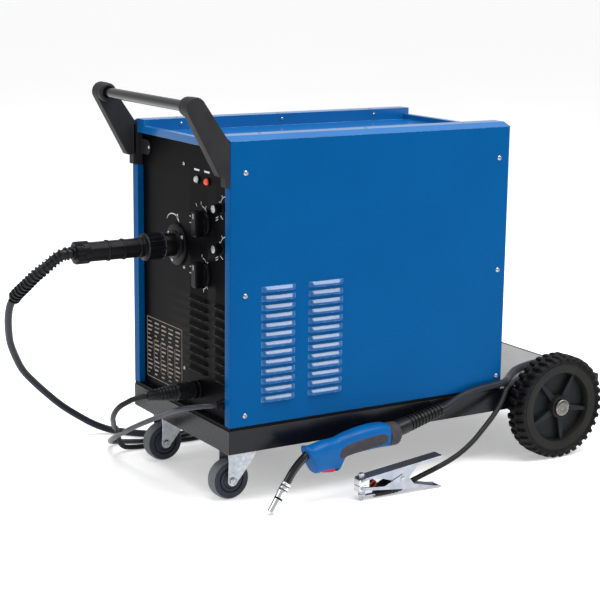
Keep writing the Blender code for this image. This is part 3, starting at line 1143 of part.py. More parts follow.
def make_wire_feeder(parent):
    """Feed plate with its motor and roll shaft, the pressure arm, and the two rolls."""
    right = PLATE_LEFT + FEED_PLATE
    plate = box((PLATE_LEFT, FEED_Y[0], FEED_Z[0]), (right, FEED_Y[1], FEED_Z[1]))
    motor = cylinder((right - 0.002, ROLL_Y, ROLL_Z), AXES["X"], FEED_MOTOR, FEED_MOTOR_LENGTH)
    roll_out = PLATE_LEFT - 0.002
    shaft = cylinder((PLATE_LEFT + 0.001, ROLL_Y, ROLL_Z), -AXES["X"], 0.0040,
                     ROLL_WIDTH + 0.0040, 16)
    arm_in = roll_out - ROLL_WIDTH - 0.0035
    arm_out = arm_in - 0.0060
    pin = cylinder((PLATE_LEFT + 0.001, ARM_Y, ARM_Z), -AXES["X"], ARM_PIN,
                   PLATE_LEFT + 0.001 - arm_out + 0.001, 16)
    piece(join(plate, motor, shaft, pin), "wire_feeder", "steel", parent)
    drive = turned(((0, 0.0043), (0, ROLL_RADIUS), (ROLL_WIDTH / 2 - 0.002, ROLL_RADIUS),
                    (ROLL_WIDTH / 2, ROLL_RADIUS - 0.0015),
                    (ROLL_WIDTH / 2 + 0.002, ROLL_RADIUS), (ROLL_WIDTH, ROLL_RADIUS),
                    (ROLL_WIDTH, 0.0043)), (roll_out, ROLL_Y, ROLL_Z), -AXES["X"], 16)
    piece(drive, "drive_roll", "steel", parent, (roll_out, ROLL_Y, ROLL_Z))
    over = ROLL_Z + 2 * ROLL_RADIUS + 0.0006
    top = turned(((0, 0.0043), (0, ROLL_RADIUS), (ROLL_WIDTH, ROLL_RADIUS),
                  (ROLL_WIDTH, 0.0043)), (roll_out, ROLL_Y, over), -AXES["X"], 16)
    piece(top, "pressure_roll", "steel", parent, (roll_out, ROLL_Y, over))
    arm = prism([(ARM_Y - 0.008, ARM_Z - 0.008), (ARM_Y + 0.008, ARM_Z - 0.009),
                 (ROLL_Y - 0.004, over - 0.007), (ROLL_Y + 0.020, over - 0.006),
                 (ROLL_Y + 0.020, over + 0.006), (ROLL_Y, over + 0.008),
                 (ARM_Y + 0.004, ARM_Z + 0.008), (ARM_Y - 0.008, ARM_Z + 0.008)],
                "X", arm_out, arm_in)
    boss = cylinder((arm_out, ARM_Y, ARM_Z), AXES["X"], 0.0070, PLATE_LEFT - GAP - arm_out, 12)
    axle = cylinder((arm_in - 0.001, ROLL_Y, over), AXES["X"], 0.0040,
                    roll_out - arm_in + 0.001, 12)
    arm = join(arm, boss, axle)
    bore = cylinder((arm_out - 0.01, ARM_Y, ARM_Z), AXES["X"], ARM_PIN + GAP, 0.05, 16)
    piece(cut(arm, bore), "pressure_arm", "zinc", parent, (arm_in, ARM_Y, ARM_Z))


def make_spool(parent):
    """Spool spindle on the divider and the wire spool that turns on it."""
    wall = DIVIDER_X - SHEET / 2 - GAP
    spindle, out = SPOOL_BORE - GAP, SPOOL_IN - SPOOL_WIDTH
    shoulder = SPOOL_IN + GAP
    hub = turned(((0, 0), (0, 0.0400), (0.0040, 0.0400), (0.0040, spindle - 0.002),
                  (wall - shoulder - 0.003, spindle - 0.002), (wall - shoulder - 0.003, 0.0330),
                  (wall - shoulder, 0.0330), (wall - shoulder, spindle),
                  (wall - out + 0.0080, spindle), (wall - out + 0.0100, spindle - 0.002),
                  (wall - out + 0.0100, 0)), (wall, SPOOL_Y, SPOOL_Z), -AXES["X"], 18)
    piece(hub, "spool_hub", "black_plastic", parent)
    rim, wire = SPOOL_RADIUS, SPOOL_RADIUS - 0.0150
    spool = turned(((0, SPOOL_BORE), (0, rim), (0.0030, rim), (0.0040, wire),
                    (SPOOL_WIDTH - 0.0040, wire), (SPOOL_WIDTH - 0.0030, rim),
                    (SPOOL_WIDTH, rim), (SPOOL_WIDTH, SPOOL_BORE)),
                   (SPOOL_IN, SPOOL_Y, SPOOL_Z), -AXES["X"], 28)
    piece(spool, "wire_spool", "steel", parent, (SPOOL_IN, SPOOL_Y, SPOOL_Z))


def make_upper_rest(parent):
    """Upper bottle rest, on the outside of the rear panel."""
    rest = bottle_rest(UPPER_REST, REAR_OUT + GAP)
    return piece(rest, "bottle_bracket_upper", "black_paint", parent)


# ---- torch ----------------------------------------------------------------------------------
def rounded_ring(bottom, top, half, count=16):
    """Ring of a handle's section, between its bottom and its top, with full flanks."""
    bottom = Vector((bottom[0], 0, bottom[1]))
    top = Vector((top[0], 0, top[1]))
    middle, rise = (bottom + top) / 2, (top - bottom) / 2
    ring = []
    for index in range(count):
        angle = math.tau * (index + 0.5) / count
        c, s = math.cos(angle), math.sin(angle)
        across = math.copysign(abs(c) ** 0.75, c)
        up = math.copysign(abs(s) ** 0.75, s)
        ring.append(middle + rise * up + Vector((0, half * across, 0)))
    return ring


def make_torch(parent):
    """Torch handle with its trigger, neck, nozzle, ring and ribbed boot, on the torch's line."""
    bore_at = Vector((NECK_PATH[-1][0], 0, NECK_PATH[-1][1]))
    before = Vector((NECK_PATH[-2][0], 0, NECK_PATH[-2][1]))
    inwards = (bore_at - before).normalized()
    handle = loft([rounded_ring(*station) for station in HANDLE_STATIONS])
    front, rear, ceiling = TRIGGER_SLOT
    half = TRIGGER_WIDTH / 2
    slot = box((front, -half - GAP, TRIGGER_PIVOT[1] - 0.030), (rear, half + GAP, ceiling))
    neck_bore = cylinder(bore_at - inwards * NECK_BORE, inwards, NECK_RADIUS + GAP,
                         NECK_BORE + GAP, 16)
    handle = cut(handle, slot, neck_bore)
    piece(handle, "torch_handle", "blue_plastic", parent)
    trigger = prism(TRIGGER_OUTLINE, "Y", -half, half)
    piece(trigger, "torch_trigger", "red_plastic", parent, (TRIGGER_PIVOT[0], 0,
                                                            TRIGGER_PIVOT[1]))
    tip = Vector((NOZZLE_TIP[0], 0, NOZZLE_TIP[1]))
    top = Vector((NOZZLE_TOP[0], 0, NOZZLE_TOP[1]))
    line = (top - tip).normalized()
    neck_path = [top + line * GAP] + [Vector((a, 0, b)) for a, b in NECK_PATH[1:]]
    neck = tube_mesh(smooth(neck_path, 0.006), NECK_RADIUS, 12)
    piece(neck, "torch_neck", "black_paint", parent)
    length = (top - tip).length
    wall, tip_r, top_r = NOZZLE_WALL, NOZZLE_TIP_RADIUS, NOZZLE_TOP_RADIUS
    nozzle = turned(((0, tip_r - wall), (0, tip_r), (length * 0.55, tip_r + 0.0005),
                     (length * 0.70, top_r), (length, top_r), (length, 0),
                     (length * 0.60, 0), (length * 0.60, tip_r - wall)), tip, line, 16)
    piece(nozzle, "torch_nozzle", "chrome", parent)
    ring_start = HANDLE_STATIONS[-1][0][0] + GAP
    ring = turned(((0, 0), (0, RING_RADIUS), (RING_LENGTH - 0.006, RING_RADIUS),
                   (RING_LENGTH, RING_RADIUS - 0.005), (RING_LENGTH, 0)),
                  (ring_start, 0, RING_Z), AXES["X"], 18)
    start = Vector((BOOT_START[0], 0, BOOT_START[1]))
    end = Vector((BOOT_END[0], 0, BOOT_END[1]))
    along, full = (end - start).normalized(), (end - start).length
    root, thin = BOOT_RADII
    profile = [(-0.006, 0), (-0.006, root), (BOOT_SMOOTH, root)]
    pitch = (full - BOOT_SMOOTH) / BOOT_RIBS
    for index in range(BOOT_RIBS):
        share = (index + 1) / BOOT_RIBS
        radius = root + (thin - root) * share
        place = BOOT_SMOOTH + index * pitch
        profile += [(place + 0.25 * pitch, radius - 0.0018), (place + 0.75 * pitch, radius)]
    profile += [(full, thin - 0.0015), (full, 0)]
    boot = turned(profile, start, along, 14)
    piece(join(boot, ring), "torch_boot", "rubber", parent)


# ---- earth clamp ----------------------------------------------------------------------------
def make_clamp(parent):
    """Sprung earth clamp: pressed lower arm with the jaw, bolt and lead boot, upper arm, spring."""
    low_x, high_x = CLAMP_X - CLAMP_HALF, CLAMP_X + CLAMP_HALF
    sheet = CLAMP_SHEET
    pivot_y, pivot_z = CLAMP_PIVOT
    lower = prism([*LOWER_FLOOR, *LOWER_TOP], "X", low_x, high_x)
    trough = [(y, z + sheet) for y, z in LOWER_FLOOR[1:]] + [(LOWER_FLOOR[-1][0] + 0.01, 0.060),
                                                             (LOWER_FLOOR[1][0], 0.060)]
    lower = cut(lower, prism(trough, "X", low_x + sheet, high_x - sheet))
    pin = turned(((-CLAMP_HALF - 0.002, 0), (-CLAMP_HALF - 0.002, 0.0050),
                  (-CLAMP_HALF + 0.0005, 0.0050), (-CLAMP_HALF + 0.0005, CLAMP_PIN),
                  (CLAMP_HALF - 0.0005, CLAMP_PIN), (CLAMP_HALF - 0.0005, 0.0050),
                  (CLAMP_HALF - 0.0001, 0.0050), (CLAMP_HALF - 0.0001, 0)),
                 (CLAMP_X, pivot_y, pivot_z), AXES["X"], 12)
    block_half = CLAMP_HALF - 0.0035
    block = box((CLAMP_X - block_half, JAW_FRONT, 0.0190),
                (CLAMP_X + block_half, JAW_REAR, JAW_MEET - GAP))
    bolt = turned(((0, 0), (0, BOLT_RADIUS), (0.0120, BOLT_RADIUS), (0.0120, BOLT_HEAD),
                   (0.0170, BOLT_HEAD), (0.0170, BOLT_RADIUS), (0.0220, BOLT_RADIUS),
                   (0.0220, 0)), (CLAMP_X, BOLT_Y, 0), AXES["Z"], 8)
    boot = tube_mesh(smooth(BOOT_LUG, BOOT_LUG_STEP), BOOT_LUG_RADIUS, 10)
    strap = box((CLAMP_X - 0.004, BOLT_Y, 0.0125), (CLAMP_X + 0.004, BOLT_Y + 0.006, 0.0150))
    shank = box((CLAMP_X - 0.004, BOLT_Y + 0.002, 0.0060), (CLAMP_X + 0.004, BOOT_LUG[0][1]
                                                            + 0.004, 0.0085))
    riser = box((CLAMP_X - 0.004, BOLT_Y + 0.002, 0.0060), (CLAMP_X + 0.004, BOLT_Y + 0.006,
                                                            0.0150))
    lower = join(lower, pin, block, bolt, boot, strap, shank, riser)
    piece(lower, "clamp_lower_jaw", "zinc", parent)

    crown = [*UPPER_TOP]
    under = [(y, z - UPPER_SKIRT) for y, z in reversed(UPPER_TOP)]
    upper = prism(crown + under, "X", low_x, high_x)
    hollow = [(y, z - sheet) for y, z in UPPER_TOP[1:]]
    hollow[-1] = (hollow[-1][0] - sheet, hollow[-1][1])
    hollow += [(hollow[-1][0], hollow[-1][1] - 0.020), (hollow[0][0], hollow[0][1] - 0.020)]
    upper = cut(upper, prism(hollow, "X", low_x + sheet, high_x - sheet))
    inner = CLAMP_HALF - sheet - GAP
    cheeks = []
    for side in (-1, 1):
        near, far = sorted((CLAMP_X + side * inner, CLAMP_X + side * (inner - sheet)))
        cheeks.append(prism(UPPER_CHEEK, "X", near, far))
    bridge = [box((low_x + 0.0005, 0.2480, 0.0425), (high_x - 0.0005, 0.2540, 0.0445))]
    block = box((CLAMP_X - block_half, JAW_FRONT, JAW_MEET),
                (CLAMP_X + block_half, JAW_REAR, 0.0400))
    head = turned(((0, 0), (0, 0.0045), (0.0080, 0.0045), (0.0080, 0)),
                  (CLAMP_X, BOLT_Y, 0.0385), AXES["Z"], 8)
    upper = join(upper, *cheeks, *bridge, block, head)
    eye = cylinder((low_x - 0.01, pivot_y, pivot_z), AXES["X"], CLAMP_PIN + GAP, 0.05, 16)
    piece(cut(upper, eye), "clamp_upper_jaw", "zinc", parent, (CLAMP_X, pivot_y, pivot_z))

    half = SPRING_CURLS * (2 * SPRING_WIRE + 0.0008) / 2
    turns = np.linspace(0, math.tau * SPRING_CURLS, SPRING_CURLS * POINTS_PER_CURL + 1)
    coil = [(CLAMP_X - half + 2 * half * t / turns[-1],
             pivot_y + SPRING_RADIUS * math.cos(t - math.pi / 2),
             pivot_z + SPRING_RADIUS * math.sin(t - math.pi / 2)) for t in turns]
    first, last = Vector(coil[0]), Vector(coil[-1])
    leg = Vector((0, 1, 0))
    coil = [first - leg * 0.010, first - leg * 0.004, *coil, last + leg * 0.004,
            last + leg * 0.008]
    least_gap(coil, SPRING_WIRE, "clamp_spring")
    lead(coil, SPRING_WIRE, "clamp_spring", "steel", parent, 6)


# ---- leads ----------------------------------------------------------------------------------
def helix_round(path, radius, pitch, curls, per_curl):
    """Points of a helix of the radius round a path, with a turn every pitch."""
    path = np.array(path)
    along = np.concatenate([[0], np.cumsum(np.linalg.norm(np.diff(path, axis=0), axis=1))])
    places = np.linspace(0, pitch * curls, curls * per_curl + 1)
    centre = np.stack([np.interp(places, along, path[:, i]) for i in range(3)], axis=1)
    ahead = np.stack([np.interp(places + 0.003, along, path[:, i]) for i in range(3)], axis=1)
    points = []
    up = Vector((0, 0, 1))
    for place, here, there in zip(places, centre, ahead):
        tangent = Vector(there - here).normalized()
        up = (up - tangent * up.dot(tangent)).normalized()
        side = tangent.cross(up)
        angle = math.tau * place / pitch
        points.append(Vector(here) + (up * math.cos(angle) + side * math.sin(angle)) * radius)
    return points


def make_torch_cord(parent, torch_line):
    """Torch plug, bend guard and lead, as far as the torch's boot."""
    start = -SOCKET_REACH - GAP
    centre = Vector((SOCKET_X, start, SOCKET_Z))
    flutes = []
    for index in range(2 * NUT_FLUTES):
        radius = NUT_RADIUS if index % 2 else NUT_RADIUS - 0.0012
        angle = math.tau * index / (2 * NUT_FLUTES)
        flutes.append((SOCKET_X + radius * math.cos(angle), SOCKET_Z + radius * math.sin(angle)))
    nut = prism(flutes, "Y", start, start - NUT_LENGTH)
    sleeve_end = NUT_LENGTH + PLUG_SLEEVE_LENGTH
    collar_end = sleeve_end + PLUG_COLLAR_LENGTH
    stub_end = collar_end + PLUG_STUB_LENGTH
    profile = [(0.002, 0), (0.002, PLUG_SLEEVE)]
    for place in PLUG_RIBS:
        profile += [(place - 0.002, PLUG_SLEEVE), (place - 0.0012, PLUG_RIB_RADIUS),
                    (place + 0.0012, PLUG_RIB_RADIUS), (place + 0.002, PLUG_SLEEVE)]
    profile += [(sleeve_end - 0.001, PLUG_SLEEVE), (sleeve_end, PLUG_COLLAR),
                (collar_end - 0.001, PLUG_COLLAR), (collar_end, PLUG_COLLAR - 0.002),
                (collar_end, PLUG_STUB), (stub_end, PLUG_STUB), (stub_end, 0)]
    plug = join(turned(profile, centre, -AXES["Y"], 18), nut)
    piece(plug, "torch_plug", "black_plastic", parent)
    mouth = start - stub_end
    first = Vector((SOCKET_X, mouth - GAP, SOCKET_Z))
    end = Vector((BOOT_END[0], 0, BOOT_END[1]))
    back = Vector((BOOT_END[0] - BOOT_START[0], 0, BOOT_END[1] - BOOT_START[1])).normalized()
    face = torch_line @ (end + back * GAP)
    run = torch_line @ (end + back * (GAP + 2 * TORCH_LEAD))
    route = [first, *TORCH_ROUTE, run, face]
    points = route_points(route, 0.052, 0.75)
    print(f"torch_lead: {len(points)} points, {length_of(smooth(route, 0.004)):.3f} m")
    lead(points, TORCH_LEAD, "torch_lead", "lead_rubber", parent)
    fine = smooth(route, 0.002)
    guard = helix_round(fine[1:], GUARD_RADIUS, GUARD_PITCH, GUARD_CURLS, POINTS_PER_CURL)
    root = Vector((guard[0].x, mouth - GAP, guard[0].z))
    guard = [root, *guard]
    tip = guard[-1] + (guard[-1] - guard[-2]).normalized() * 2 * GUARD_WIRE
    guard.append(tip)
    least_gap(guard, GUARD_WIRE, "torch_spring")
    lead(guard, GUARD_WIRE, "torch_spring", "steel", parent, 6)


def make_earth_cord(parent):
    """Earth plug with its ribbed boot, and the lead as far as the clamp."""
    start = -EARTH_REACH - GAP
    profile = [(0, 0), *EARTH_PLUG, (EARTH_PLUG[-1][0], 0)]
    plug = turned(profile, (EARTH_X, start, EARTH_Z), -AXES["Y"], 14)
    piece(plug, "earth_plug", "rubber", parent)
    first = Vector((EARTH_X, start - EARTH_PLUG[-1][0] - GAP, EARTH_Z))
    boot = smooth(BOOT_LUG, BOOT_LUG_STEP)
    end, out = Vector(boot[-1]), Vector(boot[-1] - boot[-2]).normalized()
    route = [first, *EARTH_ROUTE, end + out * (GAP + 2 * EARTH_LEAD), end + out * GAP]
    points = route_points(route, 0.048, 0.75)
    print(f"earth_lead: {len(points)} points, {length_of(smooth(route, 0.004)):.3f} m")
    lead(points, EARTH_LEAD, "earth_lead", "lead_rubber", parent)


def coil_points():
    """The mains lead's coil: it spirals in, climbs in half a turn, and winds out on top."""
    pitch = 2 * MAINS_LEAD + COIL_GAP
    low = MAINS_LEAD + GAP
    turns, inward = zip(*COIL_STEPS)
    points = []
    for index in range(int(turns[-1] * POINTS_PER_LOOP) + 1):
        turn = index / POINTS_PER_LOOP
        radius = COIL_RADIUS - pitch * float(np.interp(turn, turns, inward))
        angle = math.pi - math.tau * turn
        height = low + pitch * float(np.interp(turn, COIL_CLIMB, (0, 1)))
        points.append(Vector((COIL_CENTRE[0] + radius * math.cos(angle),
                              COIL_CENTRE[1] + radius * math.sin(angle), height)))
    return points


def make_mains_cord(parent):
    """Mains lead out of its gland, its coil under the cart, and its plug."""
    first = Vector((MAINS_X, -GLAND_REACH - GAP, MAINS_Z))
    coil = coil_points()
    entry = (coil[1] - coil[0]).normalized()
    entry = Vector((0, 1, 0)) if entry.y > 0.9 else entry
    meet = coil[0] - entry * 2 * MAINS_LEAD
    route = [first, *MAINS_ROUTE, meet - entry * (GAP + 2 * MAINS_LEAD), meet - entry * GAP]
    points = route_points(route, 0.032, 0.70)
    print(f"mains_lead: {len(points)} points, {length_of(smooth(route, 0.004)):.3f} m")
    lead(points, MAINS_LEAD, "mains_lead", "lead_rubber", parent)
    plug_x = coil[-1].x
    face = Vector((plug_x, MAINS_PLUG_Y, MAINS_PLUG))
    leave = coil[-1] + Vector((0, -0.024, 0.002))
    tail = smooth([coil[-1], leave, face + Vector((0, 0.024, -0.0015)),
                   face + Vector((0, 2 * MAINS_LEAD, 0))], 0.012)
    wound = [meet, *coil, *[Vector(p) for p in tail[1:]], face + Vector((0, GAP, 0))]
    least_gap(wound, MAINS_LEAD, "mains_coil")
    lead(wound, MAINS_LEAD, "mains_coil", "lead_rubber", parent, 6)
    profile = [(0, 0), *MAINS_PLUG_PROFILE, (MAINS_PLUG_PROFILE[-1][0], 0)]
    plug = turned(profile, face, -AXES["Y"], 16)
    floor = face.y - MAINS_PLUG_PROFILE[-1][0]
    pins = [cylinder((face.x + PLUG_PIN_CIRCLE * math.cos(a), floor + 0.002,
                      face.z + PLUG_PIN_CIRCLE * math.sin(a)), -AXES["Y"], PLUG_PIN, 0.0180, 8)
            for a in (math.pi / 2, math.pi * 7 / 6, math.pi * 11 / 6)]
    piece(join(plug, *pins), "mains_plug", "black_plastic", parent)


# ---- the machine ----------------------------------------------------------------------------
def main():
    """Builds every piece."""
    clear_scene()
    body = empty("body_frame", (CENTRE_X, CENTRE_Y, 0))
    direction = Vector(TORCH_FAR) - Vector(TORCH_ROOT)
    turn = math.atan2(direction.y, direction.x)
    torch = empty("torch_frame", (*TORCH_ROOT, 0), turn, body)
    torch_line = Matrix.Translation((*TORCH_ROOT, 0)) @ Matrix.Rotation(turn, 4, "Z")
    make_cart(body)
    make_axle(body)
    for side in (1, -1):
        make_rim(side, body)
        make_tyre(side, body)
        make_caster(side, body)
        make_handle_bracket(side, body)
    make_base(body)
    make_right_side(body)
    make_left_side(body)
    make_door(body)
    make_front_panel(body)
    make_rear_panel(body)
    make_top_cover(body)
    make_handle_tube(body)
    for name in BAR_KNOBS:
        make_bar_knob(name, body)
    for name in SMALL_KNOBS:
        make_small_knob(name, body)
    make_lamp("power_lamp", "clear_plastic", body)
    make_lamp("thermal_lamp", "orange_plastic", body)
    make_sockets(body)
    make_divider(body)
    make_transformer(body)
    make_rectifier(body)
    make_fan(body)
    make_board(body)
    make_gas_valve(body)
    make_wire_feeder(body)
    make_spool(body)
    make_upper_rest(body)
    make_torch(torch)
    make_clamp(body)
    make_torch_cord(body, torch_line)
    make_earth_cord(body)
    make_mains_cord(body)


main()
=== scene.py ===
"""Welder with wire feed on its cart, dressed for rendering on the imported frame.

Lengths are metres. Pieces are worked out in the cabinet's frame: X across from the symmetry plane,
Y back from the cabinet's front edge, Z above the floor. ORIGIN carries them to the row frame.
"""

from __future__ import annotations

import logging
import math
from collections.abc import Callable, Sequence
from dataclasses import dataclass, field
from enum import Enum

import bmesh
import bpy
import numpy as np
from mathutils import Matrix, Vector


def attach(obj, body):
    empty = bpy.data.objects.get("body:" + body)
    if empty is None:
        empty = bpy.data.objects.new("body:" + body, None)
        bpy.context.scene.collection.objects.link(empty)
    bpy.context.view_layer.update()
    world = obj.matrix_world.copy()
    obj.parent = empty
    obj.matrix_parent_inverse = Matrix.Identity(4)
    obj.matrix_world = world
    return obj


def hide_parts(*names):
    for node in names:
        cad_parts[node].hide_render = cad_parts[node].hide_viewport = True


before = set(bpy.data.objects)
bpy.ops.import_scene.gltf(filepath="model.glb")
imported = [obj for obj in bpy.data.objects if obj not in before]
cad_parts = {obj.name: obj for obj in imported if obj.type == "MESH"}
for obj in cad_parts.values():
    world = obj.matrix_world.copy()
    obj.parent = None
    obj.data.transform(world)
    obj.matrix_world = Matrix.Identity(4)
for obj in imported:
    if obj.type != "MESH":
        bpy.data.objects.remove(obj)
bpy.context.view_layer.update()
LOG = logging.getLogger("welder")

Array, Point = np.ndarray, Sequence[float]
Pair, Spot = tuple[float, float], tuple[float, float, float]
Tree, Socket = bpy.types.NodeTree, bpy.types.NodeSocket

ORIGIN = np.array([-0.0145, -0.3739, 0.0])
HALF = 0.1867                   # cabinet's half width
LENGTH = 0.5836                 # cabinet's length
PANEL_LOW, PANEL_TOP = 0.145, 0.635
NOTCH_LOW = 0.558              # front flanges' top, below the handle's feet
FLANGE_X = 0.1667               # inner edges of the shells' flanges
FACE_Y, SEAT_Y = 0.012, 0.0117    # front panel's face, and where fittings start on it
PRINT_Y = FACE_Y - 0.0002       # printed lines, just ahead of the panel
LIP_LOW = 0.618                # top cover's front lip
SHEET = 0.0012
GAP = 0.0003                    # left between pieces that touch
FORWARD = (0, -1, 0)

TORCH_ROUTE = (
    (-0.032, -0.2048, 0.43), (-0.0345, -0.216, 0.425), (-0.041, -0.236, 0.408),
    (-0.053, -0.251, 0.392), (-0.069, -0.263, 0.373), (-0.088, -0.272, 0.355),
    (-0.112, -0.274, 0.334), (-0.143, -0.267, 0.304), (-0.175, -0.255, 0.273),
    (-0.205, -0.241, 0.242), (-0.238, -0.219, 0.206), (-0.268, -0.193, 0.169),
    (-0.294, -0.159, 0.134), (-0.314, -0.126, 0.103), (-0.329, -0.091, 0.072),
    (-0.337, -0.052, 0.043), (-0.3365, -0.017, 0.0205), (-0.326, 0.01, 0.009),
    (-0.305, 0.03, 0.0072), (-0.277, 0.055, 0.0072), (-0.246, 0.092, 0.0072),
    (-0.233, 0.13, 0.0072), (-0.236, 0.165, 0.0072), (-0.24, 0.195, 0.0085),
    (-0.2435, 0.235, 0.0145), (-0.246, 0.265, 0.0174), (-0.248, 0.3, 0.0174),
    (-0.249, 0.335, 0.012), (-0.2495, 0.375, 0.0072), (-0.2495, 0.45, 0.0072),
    (-0.2495, 0.55, 0.0072), (-0.2495, 0.65, 0.0072), (-0.2495, 0.75, 0.0072),
    (-0.2495, 0.82, 0.0072), (-0.244, 0.86, 0.0072), (-0.222, 0.893, 0.0072),
    (-0.19, 0.908, 0.0072), (-0.15, 0.912, 0.0072), (-0.09, 0.912, 0.0072), (-0.04, 0.91, 0.0072),
    (-0.005, 0.903, 0.012), (0.022, 0.891, 0.036), (0.04, 0.875, 0.075), (0.051, 0.862, 0.112),
    (0.057, 0.843, 0.1385), (0.062, 0.829, 0.149), (0.068, 0.81, 0.1475), (0.074, 0.78, 0.1457),
    (0.082, 0.74, 0.1456), (0.105, 0.685, 0.1456), (0.135, 0.648, 0.1458), (0.16, 0.622, 0.1475),
    (0.176, 0.6065, 0.151), (0.184, 0.5985, 0.153), (0.19, 0.592, 0.153), (0.1945, 0.584, 0.153),
    (0.195, 0.573, 0.1525), (0.195, 0.552, 0.151), (0.196, 0.52, 0.148), (0.1968, 0.492, 0.143),
    (0.1985, 0.468, 0.1346),
)
EARTH_ROUTE = (
    (0.05, -0.1011, 0.1815), (0.0498, -0.108, 0.1806), (0.047, -0.118, 0.178),
    (0.042, -0.125, 0.173), (0.034, -0.131, 0.167), (0.023, -0.133, 0.159), (0.009, -0.132, 0.149),
    (-0.01, -0.127, 0.136), (-0.03, -0.119, 0.124), (-0.0567, -0.106, 0.1104),
    (-0.1009, -0.0843, 0.0878), (-0.128, -0.0695, 0.0758), (-0.154, -0.055, 0.0646),
    (-0.17, -0.046, 0.0555), (-0.18, -0.0404, 0.0473), (-0.1897, -0.0346, 0.0351),
    (-0.1956, -0.0302, 0.0257), (-0.2004, -0.0249, 0.0179), (-0.2047, -0.015, 0.0096),
    (-0.207, 0.004, 0.0055), (-0.203, 0.03, 0.0051), (-0.203, 0.06, 0.0051), (-0.205, 0.1, 0.0051),
    (-0.203, 0.13, 0.0051), (-0.207, 0.16, 0.0051), (-0.217, 0.195, 0.0051),
    (-0.232, 0.235, 0.0051), (-0.248, 0.28, 0.0051), (-0.2585, 0.33, 0.0051),
    (-0.2623, 0.38, 0.0051), (-0.2623, 0.48, 0.0051), (-0.2623, 0.6, 0.0051),
    (-0.2623, 0.72, 0.0051), (-0.2623, 0.83, 0.0051), (-0.257, 0.872, 0.0051),
    (-0.234, 0.912, 0.0051), (-0.196, 0.932, 0.0051), (-0.15, 0.938, 0.0051),
    (-0.08, 0.938, 0.0051), (-0.02, 0.936, 0.006), (0.03, 0.925, 0.018), (0.06, 0.907, 0.048),
    (0.079, 0.884, 0.09), (0.084, 0.869, 0.116), (0.09, 0.844, 0.138), (0.095, 0.83, 0.1468),
    (0.101, 0.806, 0.1448), (0.112, 0.755, 0.1438), (0.128, 0.705, 0.1438), (0.152, 0.658, 0.1438),
    (0.171, 0.629, 0.1438), (0.184, 0.6115, 0.1439), (0.1885, 0.6045, 0.1439),
    (0.1925, 0.5985, 0.1439), (0.197, 0.5935, 0.1436), (0.2, 0.587, 0.141), (0.205, 0.578, 0.131),
    (0.211, 0.566, 0.119), (0.218, 0.55, 0.107), (0.226, 0.529, 0.094), (0.234, 0.506, 0.081),
    (0.24, 0.484, 0.0675), (0.246, 0.453, 0.052), (0.251, 0.422, 0.0415), (0.254, 0.389, 0.0325),
    (0.2558, 0.358, 0.025),
)
MAINS_ROUTE = (
    (0.155, -0.02, 0.18), (0.151, -0.031, 0.1805), (0.142, -0.041, 0.178), (0.128, -0.048, 0.174),
    (0.11, -0.0525, 0.168), (0.088, -0.0545, 0.16), (0.066, -0.0545, 0.151), (0.042, -0.054, 0.141),
    (0.016, -0.054, 0.1295), (-0.006, -0.055, 0.1195), (-0.025, -0.056, 0.111),
    (-0.048, -0.057, 0.1005), (-0.07, -0.057, 0.0905), (-0.093, -0.057, 0.0797),
    (-0.116, -0.055, 0.0685), (-0.1398, -0.0535, 0.058), (-0.1613, -0.0521, 0.0477),
    (-0.1853, -0.0481, 0.0367), (-0.209, -0.0421, 0.0262), (-0.2335, -0.0325, 0.0161),
    (-0.25, -0.0205, 0.0085), (-0.255, -0.005, 0.0055), (-0.246, 0.014, 0.0051),
    (-0.236, 0.036, 0.0051), (-0.226, 0.08, 0.0055), (-0.216, 0.112, 0.0095),
    (-0.212, 0.14, 0.0149), (-0.211, 0.17, 0.0152), (-0.21, 0.2, 0.014), (-0.2075, 0.228, 0.009),
    (-0.206, 0.262, 0.0055), (-0.2055, 0.29, 0.0051),
)


class Axis(Enum):
    """The frame's directions, as (along, first across, second across)."""

    X = ((1, 0, 0), (0, 1, 0), (0, 0, 1))
    Y = ((0, 1, 0), (0, 0, 1), (1, 0, 0))
    Z = ((0, 0, 1), (1, 0, 0), (0, 1, 0))


class Relief(Enum):
    """How a surface was made, which sets its fine relief."""

    PEEL = "powder or paint that flowed out in the oven: low round waves"
    SPARK = "moulded against a spark-eroded tool: fine pits"
    CAST = "die-cast and shot-blasted: coarse pits"
    BRUSHED = "drawn or rolled metal: long scratches"
    SPANGLE = "plated on a rolled sheet: crystals and faint clouds"
    RUBBER = "cured rubber: a dull, slightly uneven skin"


# ---- finishes ---------------------------------------------------------------------------------
EDGE_COSINES = (0.99, 0.8)     # of the rounded to the true normal, where the edge tone starts and is full
EDGE_PATCHES_PER_METRE = 120.0
EDGE_PATCH_RANGE = (0.42, 0.62)        # noise from no edge tone to the full edge tone


def linear(code: str) -> tuple[float, float, float, float]:
    """Linear colour of an sRGB hex value.

    Args:
        code: Six hex digits after a #.

    Returns:
        Red, green and blue as linear light, and full alpha.
    """
    parts = [int(code[i:i + 2], 16) / 255 for i in (1, 3, 5)]
    light = [p / 12.92 if p <= 0.04045 else ((p + 0.055) / 1.055) ** 2.4 for p in parts]
    return (*light, 1.0)


def add_node(tree: Tree, kind: str, inputs: dict | None = None,
             **settings: object) -> bpy.types.Node:
    """Adds a node, sets its properties and fills its inputs.

    Args:
        tree: The material's tree.
        kind: The node's type name.
        inputs: Socket name or index to a value, or to the socket that is linked to it.
        **settings: The node's properties.

    Returns:
        The new node.
    """
    node = tree.nodes.new(kind)
    for key, value in settings.items():
        setattr(node, key, value)
    for key, value in (inputs or {}).items():
        if isinstance(value, Socket):
            tree.links.new(value, node.inputs[key])
        else:
            node.inputs[key].default_value = value
    return node


def blend_tones(tree: Tree, share: Socket, one: object, other: object) -> Socket:
    """Colour between two others, by a share from 0 to 1."""
    return add_node(tree, "ShaderNodeMix", {0: share, 6: one, 7: other},
                    data_type="RGBA").outputs[2]


